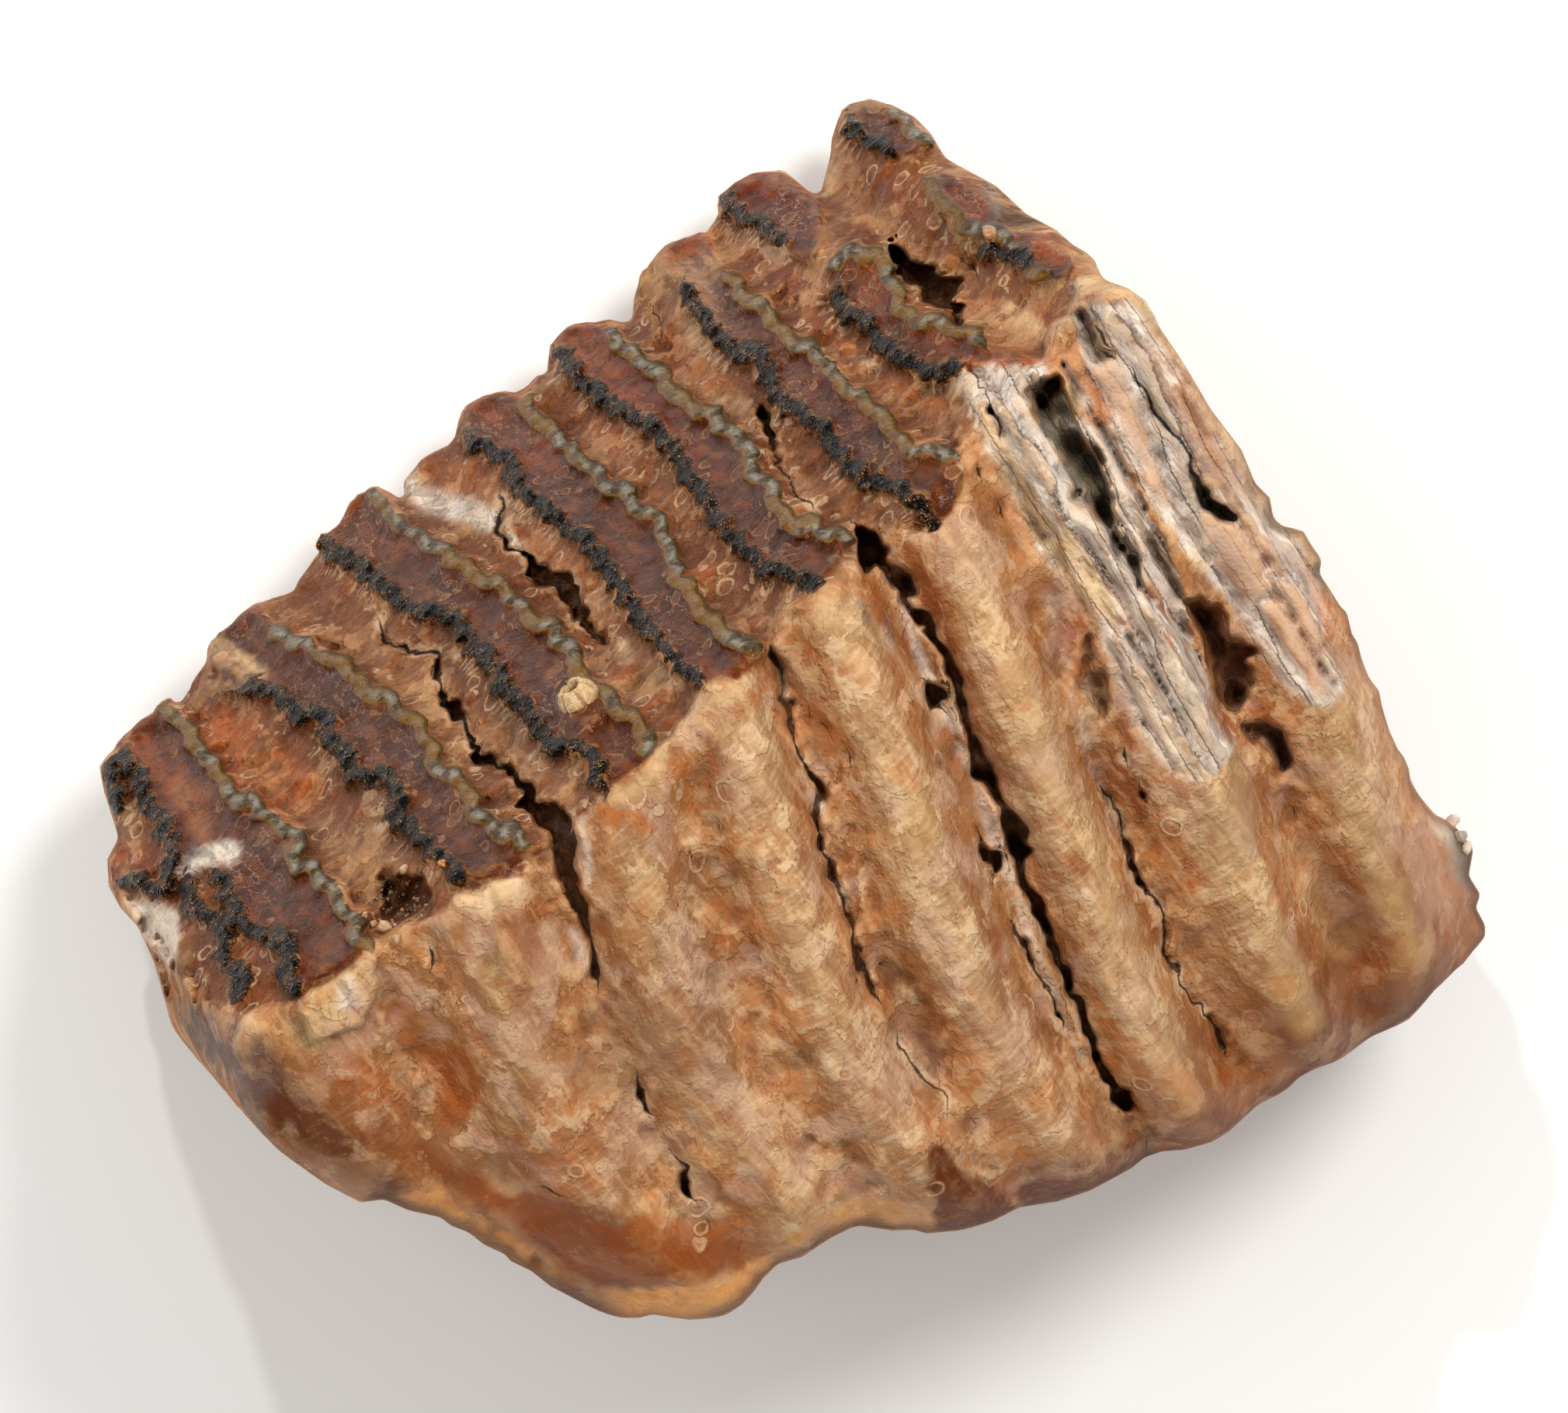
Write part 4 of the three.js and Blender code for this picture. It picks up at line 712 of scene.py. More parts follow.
def make_mesh():
    lo = np.array([-81.5, -71.5, -1.6])
    B = 4
    n = (np.ceil(np.array([163.0, 143.0, 112.0]) / (VOXEL * B))).astype(int)
    cell = VOXEL * B
    cx = [lo[i] + cell * (np.arange(n[i]) + 0.5) - 0.5 * VOXEL for i in range(3)]
    C = np.stack(np.meshgrid(*cx, indexing='ij'), -1) - SHIFT
    f = np.empty(C.shape[:3], np.float32)
    reach = np.empty(C.shape[:3], np.float32)
    for i in range(n[0]):
        b, u, h, t, q, low = body(C[i], True)
        at = Map(*project(C[i]))
        wall = -at(HULL) / PX
        f[i] = np.maximum(np.maximum(b, wall), FLOOR - C[i][..., 2])
        reach[i] = at(deepest)
    half = cell * 0.5 * 1.7321
    band = half + 2.4
    live = (f < band) & (f > -(reach + band + 1.2))
    F = np.where(f[:, None, :, None, :, None] > 0, 3.0, -3.0) * np.ones((1, B, 1, B, 1, B), np.float32)
    F = np.ascontiguousarray(F.reshape(n[0] * B, n[1] * B, n[2] * B), np.float32)
    V = F.reshape(n[0], B, n[1], B, n[2], B).transpose(0, 2, 4, 1, 3, 5)
    I = np.argwhere(live)
    off = np.stack(np.meshgrid(*[np.arange(B)] * 3, indexing='ij'), -1).reshape(-1, 3)
    for s in range(0, len(I), 12000):
        J = I[s:s + 12000]
        G = (J[:, None, :] * B + off[None]).astype(np.float32) * VOXEL + lo - SHIFT
        v = solid(G)
        V[J[:, 0], J[:, 1], J[:, 2]] = np.clip(v, -3, 3).reshape(-1, B, B, B)
    grid = openvdb.FloatGrid(3.0)
    grid.copyFromArray(F)
    pts, quads = grid.convertToQuads(0.0)
    pts = pts * VOXEL + lo
    # keep the largest connected part
    nv = len(pts)
    lab = np.arange(nv)
    e = np.concatenate([quads[:, [0, 1]], quads[:, [1, 2]], quads[:, [2, 3]], quads[:, [3, 0]]]).astype(np.int64)
    while True:
        old = lab.copy()
        mn = np.minimum(lab[e[:, 0]], lab[e[:, 1]])
        np.minimum.at(lab, e[:, 0], mn)
        np.minimum.at(lab, e[:, 1], mn)
        lab = lab[lab]
        lab = lab[lab]
        if (lab == old).all():
            break
    ids, cnt = np.unique(lab, return_counts=True)
    keep = lab == ids[cnt.argmax()]
    new = np.cumsum(keep) - 1
    quads = new[quads[keep[quads[:, 0]]]]
    pts = pts[keep]
    a, b, c, d = (pts[quads[:, i]] for i in range(4))
    vol = (np.einsum('ij,ij->i', a, np.cross(b, c)) + np.einsum('ij,ij->i', a, np.cross(c, d))).sum() / 6
    if vol < 0:
        quads = quads[:, ::-1]
    return pts, quads


def new_object(name, pts, faces, scale=0.001):
    me = bpy.data.meshes.new(name)
    pts = np.asarray(pts, np.float64) * scale
    faces = np.asarray(faces)
    k = faces.shape[1]
    me.vertices.add(len(pts))
    me.vertices.foreach_set("co", pts.astype(np.float32).ravel())
    me.loops.add(faces.size)
    me.loops.foreach_set("vertex_index", faces.astype(np.int32).ravel())
    me.polygons.add(len(faces))
    me.polygons.foreach_set("loop_start", np.arange(0, faces.size, k, dtype=np.int32))
    me.polygons.foreach_set("use_smooth", np.ones(len(faces), bool))
    me.update(calc_edges=True)
    ob = bpy.data.objects.new(name, me)
    bpy.context.scene.collection.objects.link(ob)
    return ob


def coords(me):
    co = np.empty(len(me.vertices) * 3, np.float32)
    me.vertices.foreach_get("co", co)
    return co.reshape(-1, 3).astype(np.float64) * 1000


def reduce_mesh(ob, triangles, hidden):
    """Collapse the flattest edges; where hidden is 1 they go a little sooner. The mesh is in millimetres here."""
    me = ob.data
    have = 2 * len(me.polygons) if len(me.polygons[0].vertices) == 4 else len(me.polygons)
    if have > triangles:
        g = ob.vertex_groups.new(name="w")
        lv = np.round(np.clip(hidden, 0, 1) * 10).astype(int)
        for v in np.unique(lv):
            g.add(np.nonzero(lv == v)[0].tolist(), max(0.001, v / 10), 'REPLACE')
        mod = ob.modifiers.new("d", 'DECIMATE')
        mod.ratio = triangles / have
        mod.vertex_group = "w"
        mod.vertex_group_factor = FACTOR
        bpy.context.view_layer.update()
        out = bpy.data.meshes.new_from_object(ob.evaluated_get(bpy.context.evaluated_depsgraph_get()))
        ob.modifiers.clear()
        ob.vertex_groups.clear()
        ob.data = out
        bpy.data.meshes.remove(me)
    n = len(ob.data.vertices)
    xyz = np.empty(n * 3, np.float32)
    ob.data.vertices.foreach_get("co", xyz)
    ob.data.vertices.foreach_set("co", xyz * np.float32(0.001))
    ob.data.update()
    return ob


def triangles_of(me):
    me.calc_loop_triangles()
    t = np.empty(len(me.loop_triangles) * 3, np.int32)
    me.loop_triangles.foreach_get("vertices", t)
    return t.reshape(-1, 3)


def attribute(me, name, values):
    a = me.attributes.new(name, 'FLOAT' if np.ndim(values) == 1 else 'FLOAT_COLOR', 'POINT')
    if np.ndim(values) == 1:
        a.data.foreach_set("value", np.asarray(values, np.float32))
    else:
        v = np.asarray(values, np.float32)
        if v.shape[1] == 3:
            v = np.concatenate([v, np.ones((len(v), 1), np.float32)], 1)
        a.data.foreach_set("color", v.ravel())


pts, quads = make_mesh()
tooth = new_object("mammoth_molar", pts, quads, 1.0)
P = pts - SHIFT
tooth = reduce_mesh(tooth, TRIANGLES, 1 - seen(P, Map(*project(P))))


# ------------------------------------------------------------------ colour
def lin(c):
    c = np.array(c, float) / 255
    return np.where(c <= 0.04045, c / 12.92, ((c + 0.055) / 1.055) ** 2.4)


PAL = {k: lin(v) for k, v in {
    'umber': (110, 58, 26), 'purple': (96, 53, 30), 'mauve': (122, 78, 50), 'rust': (158, 80, 34), 'orange': (186, 102, 42), 'ochre': (168, 113, 68),
    'brown': (136, 84, 50), 'dark': (104, 58, 36), 'deep': (66, 38, 23), 'black': (24, 18, 13), 'tan': (182, 137, 95), 'sand': (192, 153, 113),
    'straw': (192, 158, 112), 'cream': (224, 194, 152), 'white': (234, 223, 208), 'pink': (200, 144, 102), 'flesh': (178, 122, 82), 'grey': (160, 150, 138),
    'slate': (112, 114, 112), 'blue': (104, 104, 104), 'olive': (78, 74, 54), 'peach': (218, 168, 118), 'khaki': (166, 132, 88), 'taupe': (142, 108, 82),
    'lilac': (142, 126, 120), 'red': (132, 62, 34), 'chalk': (222, 206, 190),
    'polished': (106, 51, 20), 'buff': (170, 130, 96), 'honey': (230, 166, 94), 'amber': (150, 84, 38), 'slab': (204, 163, 134), 'rose': (176, 143, 123),
}.items()}

# Broad brush strokes over the side that faces up: colour, radius in pixels, strength, points.
STROKES = [
    ('tan', 40, .4, [(1002, 960), (1002, 1088), (1030, 1200), (1057, 1300)]), ('sand', 20, .35, [(960, 960), (990, 1060), (1020, 1170), (1050, 1270)]), ('brown', 30, .45, [(888, 1110), (905, 1250), (925, 1360)]), ('brown', 18, .5, [(1236, 1120), (1262, 1200), (1292, 1290)]), ('brown', 30, .3, [(660, 1290), (675, 1380), (685, 1450)]),
    ('khaki', 26, .5, [(1081, 800), (1100, 850)]), ('sand', 30, .75, [(1100, 860), (1130, 950), (1160, 1039), (1190, 1120), (1216, 1200), (1251, 1290)]),
    ('khaki', 30, .65, [(1240, 720), (1262, 790), (1285, 850)]), ('sand', 34, .8, [(1275, 821), (1324, 930), (1350, 990), (1396, 1090), (1430, 1170), (1463, 1282), (1505, 1391)]),
    ('straw', 22, .6, [(1360, 1010), (1400, 1100), (1440, 1200)]), ('rust', 18, .55, [(1200, 700), (1215, 780), (1239, 882), (1262, 950), (1290, 1020)]),
    ('orange', 14, .4, [(1300, 1050), (1340, 1150), (1370, 1230)]), ('red', 16, .6, [(1376, 1112), (1392, 1122)]), ('red', 9, .8, [(1402, 1224), (1404, 1226)]),
    ('khaki', 26, .6, [(1590, 975), (1598, 1030)]), ('straw', 30, .8, [(1584, 1010), (1602, 1136), (1645, 1233), (1681, 1306)]),
    ('khaki', 28, .6, [(1712, 935), (1735, 990)]), ('straw', 28, .7, [(1730, 967), (1760, 1076), (1800, 1180), (1828, 1225)]),
    ('pink', 36, .75, [(1715, 740), (1750, 830), (1790, 940), (1830, 1050), (1860, 1140)]), ('peach', 22, .6, [(1745, 780), (1790, 900), (1830, 1010)]), ('orange', 12, .5, [(1690, 700), (1720, 770), (1740, 840)]), ('flesh', 40, .6, [(1900, 1190), (1860, 1250), (1790, 1310)]),
    ('mauve', 34, .55, [(1690, 1365), (1740, 1335), (1800, 1290), (1857, 1262)]), ('orange', 22, .6, [(1750, 1262), (1772, 1240)]),
    ('grey', 26, .9, [(1868, 1066), (1888, 1092), (1892, 1120)]), ('white', 12, .6, [(1850, 1058), (1862, 1075)]), ('olive', 10, .6, [(1880, 1072), (1892, 1092)]),
    ('pink', 30, .5, [(1530, 1180), (1554, 1215), (1580, 1290)]), ('pink', 24, .4, [(1650, 1080), (1670, 1160)]),
    ('dark', 36, .8, [(1210, 1500), (1235, 1550), (1270, 1555)]), ('mauve', 26, .45, [(1225, 1530), (1270, 1560)]), ('dark', 24, .6, [(1330, 1530), (1400, 1505), (1470, 1480)]),
    ('red', 24, .35, [(1290, 1540), (1360, 1520)]), ('tan', 40, .8, [(1010, 1590), (1080, 1555), (1150, 1555), (1175, 1560)]), ('cream', 14, .5, [(1050, 1560), (1100, 1550)]),
    ('pink', 34, .4, [(1130, 1440), (1200, 1450), (1300, 1430)]), ('ochre', 40, .3, [(1080, 1490), (1160, 1500)]),
    ('brown', 48, .8, [(700, 1570), (760, 1610), (830, 1632), (900, 1636), (960, 1622)]), ('dark', 22, .5, [(690, 1555), (760, 1565), (800, 1590)]),
    ('deep', 16, .5, [(800, 1652), (900, 1655), (940, 1640)]), ('orange', 26, .35, [(840, 1590), (900, 1585), (950, 1575)]), ('orange', 24, .3, [(930, 1500), (990, 1520)]),
    ('peach', 34, .95, [(800, 1690), (860, 1684), (910, 1680), (960, 1655), (985, 1635)]), ('tan', 14, .5, [(830, 1670), (870, 1664)]),
    ('tan', 18, .9, [(520, 1545), (560, 1545), (600, 1565), (650, 1600), (690, 1625)]), ('cream', 12, .6, [(560, 1560), (590, 1575), (640, 1608)]), ('rust', 14, .7, [(610, 1530), (650, 1555), (690, 1590)]),
    ('pink', 22, .4, [(530, 1530), (600, 1555)]),
    ('brown', 60, .7, [(440, 1450), (520, 1480), (600, 1490)]), ('purple', 40, .8, [(330, 1370), (370, 1430), (440, 1490), (490, 1525)]), ('purple', 34, .7, [(270, 1290), (320, 1360), (380, 1450)]),
    ('blue', 24, .9, [(240, 1310), (268, 1355), (305, 1400), (325, 1440)]), ('slate', 16, .7, [(255, 1340), (290, 1385)]), ('taupe', 16, .6, [(225, 1300), (250, 1350), (300, 1410)]),
    ('mauve', 22, .6, [(400, 1440), (440, 1480), (490, 1510)]), ('tan', 14, .4, [(370, 1470), (430, 1510), (470, 1530)]),
    ('orange', 26, .8, [(452, 1375), (474, 1392)]), ('rust', 30, .5, [(420, 1350), (480, 1400), (560, 1380)]), ('orange', 26, .55, [(560, 1350), (600, 1400), (580, 1430)]),
    ('straw', 40, 1., [(425, 1268), (458, 1262), (462, 1290), (430, 1312), (402, 1325)]), ('white', 16, .8, [(448, 1272), (452, 1290)]), ('rust', 12, .7, [(430, 1330), (470, 1322), (486, 1300)]),
    ('taupe', 24, .5, [(552, 1290), (560, 1330)]), ('khaki', 26, .6, [(625, 1215), (640, 1300), (655, 1400), (650, 1440)]), ('taupe', 16, .5, [(610, 1280), (640, 1370), (670, 1450)]),
    ('pink', 16, .8, [(696, 1365), (706, 1385)]), ('cream', 10, .6, [(688, 1372), (700, 1378)]), ('ochre', 30, .5, [(680, 1200), (690, 1290), (700, 1340)]),
    ('taupe', 44, .65, [(790, 1310), (830, 1320), (800, 1380)]), ('flesh', 30, .5, [(770, 1400), (830, 1440), (800, 1460)]), ('pink', 24, .6, [(780, 1450), (820, 1470)]), ('taupe', 16, .5, [(860, 1450), (880, 1480)]),
    ('khaki', 16, .7, [(822, 1060), (830, 1130), (838, 1200), (846, 1250)]), ('straw', 10, .5, [(840, 1080), (850, 1160), (856, 1230)]), ('ochre', 24, .5, [(780, 1080), (800, 1180), (820, 1280)]),
    ('pink', 36, .5, [(980, 1380), (1000, 1440), (1040, 1470)]), ('cream', 12, .4, [(965, 1410), (1000, 1430)]), ('orange', 22, .35, [(900, 1500), (960, 1540)]),
    ('rust', 16, .6, [(760, 1010), (790, 1030), (820, 1050)]), ('orange', 20, .6, [(850, 1000), (880, 990)]), ('cream', 12, .9, [(775, 1020), (805, 1022), (838, 1000), (852, 975)]),
    ('slate', 7, .7, [(800, 1035), (808, 1065)]), ('slate', 5, .6, [(838, 1030), (848, 1048)]), ('straw', 14, .7, [(900, 905), (935, 900), (960, 880)]), ('straw', 12, .5, [(945, 900), (975, 870)]),
    ('cream', 28, .95, [(607, 1150), (635, 1140), (655, 1150), (630, 1165)]), ('slate', 8, .6, [(600, 1128), (615, 1150)]), ('slate', 5, .6, [(635, 1150), (645, 1165)]), ('rust', 18, .6, [(640, 1185), (670, 1170), (690, 1180)]),
    ('orange', 20, .5, [(660, 1210), (690, 1220)]), ('white', 8, .5, [(655, 1128), (668, 1134)]),
    ('chalk', 9, .85, [(742, 1046), (752, 1075), (756, 1105), (758, 1140)]), ('pink', 6, .6, [(760, 1170), (766, 1210), (774, 1250)]), ('chalk', 10, .7, [(738, 1200), (746, 1222), (750, 1238)]),
    ('white', 9, .8, [(1165, 790), (1185, 850), (1212, 900), (1235, 940)]), ('chalk', 8, .7, [(1235, 960), (1262, 1020), (1285, 1090), (1308, 1150), (1325, 1200), (1345, 1250), (1372, 1310), (1392, 1360)]),
    ('pink', 8, .8, [(1010, 940), (1040, 990), (1055, 1040)]), ('chalk', 6, .7, [(1042, 1020), (1060, 1045)]),
    ('khaki', 24, .7, [(1085, 765), (1110, 800), (1140, 830)]), ('slate', 6, .7, [(1108, 775), (1118, 800)]), ('slate', 5, .6, [(1140, 790), (1150, 830)]), ('orange', 14, .5, [(1060, 760), (1090, 760)]),
    ('chalk', 8, .5, [(1350, 770), (1370, 830), (1382, 900), (1400, 960)]), ('lilac', 10, .6, [(1360, 760), (1380, 820)]), ('lilac', 8, .5, [(1400, 980), (1425, 1030), (1440, 1080)]),
    ('khaki', 22, .4, [(640, 1400), (655, 1450)]), ('slate', 12, .35, [(560, 1170), (570, 1200)]),
    # the two 'deep' strokes on the next line lie along the crack between columns E and F: painted shade
    ('deep', 20, .3, [(1215, 860), (1228, 900)]), ('rust', 20, .6, [(1150, 690), (1190, 740), (1200, 800)]), ('deep', 12, .5, [(1225, 900), (1240, 930)]),
    ('rust', 26, .5, [(1420, 980), (1450, 1010), (1480, 1020)]), ('rust', 20, .5, [(1510, 1000), (1530, 1020)]), ('rust', 26, .3, [(1620, 1010), (1660, 1040), (1690, 1080)]), ('pink', 32, .6, [(1675, 1110), (1705, 1160), (1730, 1210)]), ('straw', 34, .35, [(1685, 1115), (1725, 1205)]), ('straw', 26, .35, [(1540, 1190), (1570, 1270)]), ('straw', 32, .5, [(1745, 1050), (1795, 1145)]), ('taupe', 36, .55, [(815, 1060), (840, 1150), (880, 1260)]), ('ochre', 30, .3, [(990, 1040), (1030, 1160)]), ('ochre', 30, .3, [(1150, 1040), (1195, 1140)]), ('ochre', 26, .35, [(640, 1290), (675, 1450)]), ('taupe', 24, .5, [(885, 1110), (925, 1360)]), ('pink', 26, .5, [(1548, 1190), (1570, 1270)]), ('slab', 34, .65, [(1822, 1085), (1850, 1160)]), ('lilac', 40, .7, [(285, 1335), (325, 1395)]), ('dark', 40, .3, [(285, 1335), (325, 1395)]),
    # the 'deep' stroke on the next line sits in a broken hollow: painted shade
    ('deep', 20, .4, [(1396, 870), (1412, 910)]), ('rust', 22, .6, [(1380, 800), (1390, 860)]),
]
# Patches with sharp outlines: worn to a brown polish, or broken.
SHEETS = [
    ('polished', .92, [(1190, 1490), (1206, 1478), (1224, 1492), (1262, 1515), (1292, 1545), (1303, 1556), (1270, 1584), (1235, 1600), (1208, 1590), (1200, 1540)]),
    ('polished', .85, [(1312, 1526), (1380, 1516), (1440, 1502), (1500, 1482), (1480, 1506), (1425, 1534), (1380, 1556), (1312, 1568)]),
    ('polished', .45, [(1480, 1470), (1540, 1440), (1600, 1425), (1650, 1400), (1660, 1430), (1580, 1465), (1500, 1490)]),
    ('amber', .85, [(655, 1540), (700, 1530), (740, 1562), (790, 1580), (830, 1572), (870, 1592), (920, 1600), (960, 1590), (978, 1600), (985, 1622), (940, 1640), (880, 1655), (820, 1655), (770, 1650), (725, 1625), (690, 1590)]),
    ('orange', .40, [(850, 1578), (900, 1570), (950, 1572), (940, 1592), (890, 1598)]),
    ('buff', .60, [(762, 1282), (800, 1290), (850, 1298), (872, 1312), (866, 1380), (850, 1412), (800, 1425), (762, 1418), (740, 1380), (745, 1320)]),
    ('cream', .45, [(600, 1145), (630, 1132), (662, 1128), (680, 1140), (668, 1165), (640, 1180), (612, 1172)]),
    ('straw', .80, [(772, 1012), (800, 1018), (832, 1000), (852, 960), (866, 960), (860, 1000), (842, 1030), (812, 1036), (782, 1030)]),
    ('orange', .75, [(762, 1034), (790, 1040), (830, 1044), (842, 1066), (800, 1056), (770, 1056)]),
    ('red', .65, [(1370, 1105), (1392, 1100), (1402, 1118), (1388, 1130), (1372, 1124)]),
    ('honey', .90, [(780, 1664), (850, 1662), (920, 1652), (975, 1620), (992, 1630), (964, 1668), (910, 1700), (850, 1706), (800, 1694)]),
    ('honey', .80, [(516, 1540), (560, 1533), (600, 1558), (650, 1596), (690, 1622), (706, 1644), (640, 1616), (560, 1576)]),
    ('honey', .60, [(1010, 1590), (1060, 1560), (1110, 1545), (1188, 1550), (1200, 1584), (1120, 1572), (1060, 1590), (1020, 1610)]),
    ('brown', .55, [(640, 1190), (672, 1180), (700, 1190), (690, 1230), (655, 1236)]), ('rust', .45, [(560, 1360), (600, 1350), (622, 1390), (600, 1440), (565, 1430)]),
    ('straw', .45, [(1290, 830), (1320, 850), (1345, 930), (1335, 980), (1310, 940), (1292, 880)]), ('straw', .45, [(1400, 1100), (1425, 1110), (1450, 1180), (1440, 1210), (1415, 1180)]),
    ('brown', .35, [(1120, 1240), (1150, 1250), (1170, 1300), (1150, 1330), (1125, 1300)]), ('buff', .5, [(1000, 1180), (1030, 1190), (1045, 1260), (1030, 1290), (1005, 1240)]),
    ('straw', .5, [(1160, 1010), (1185, 1020), (1205, 1090), (1195, 1130), (1170, 1080)]), ('buff', .5, [(1590, 990), (1615, 1000), (1622, 1060), (1605, 1090), (1588, 1040)]),
]
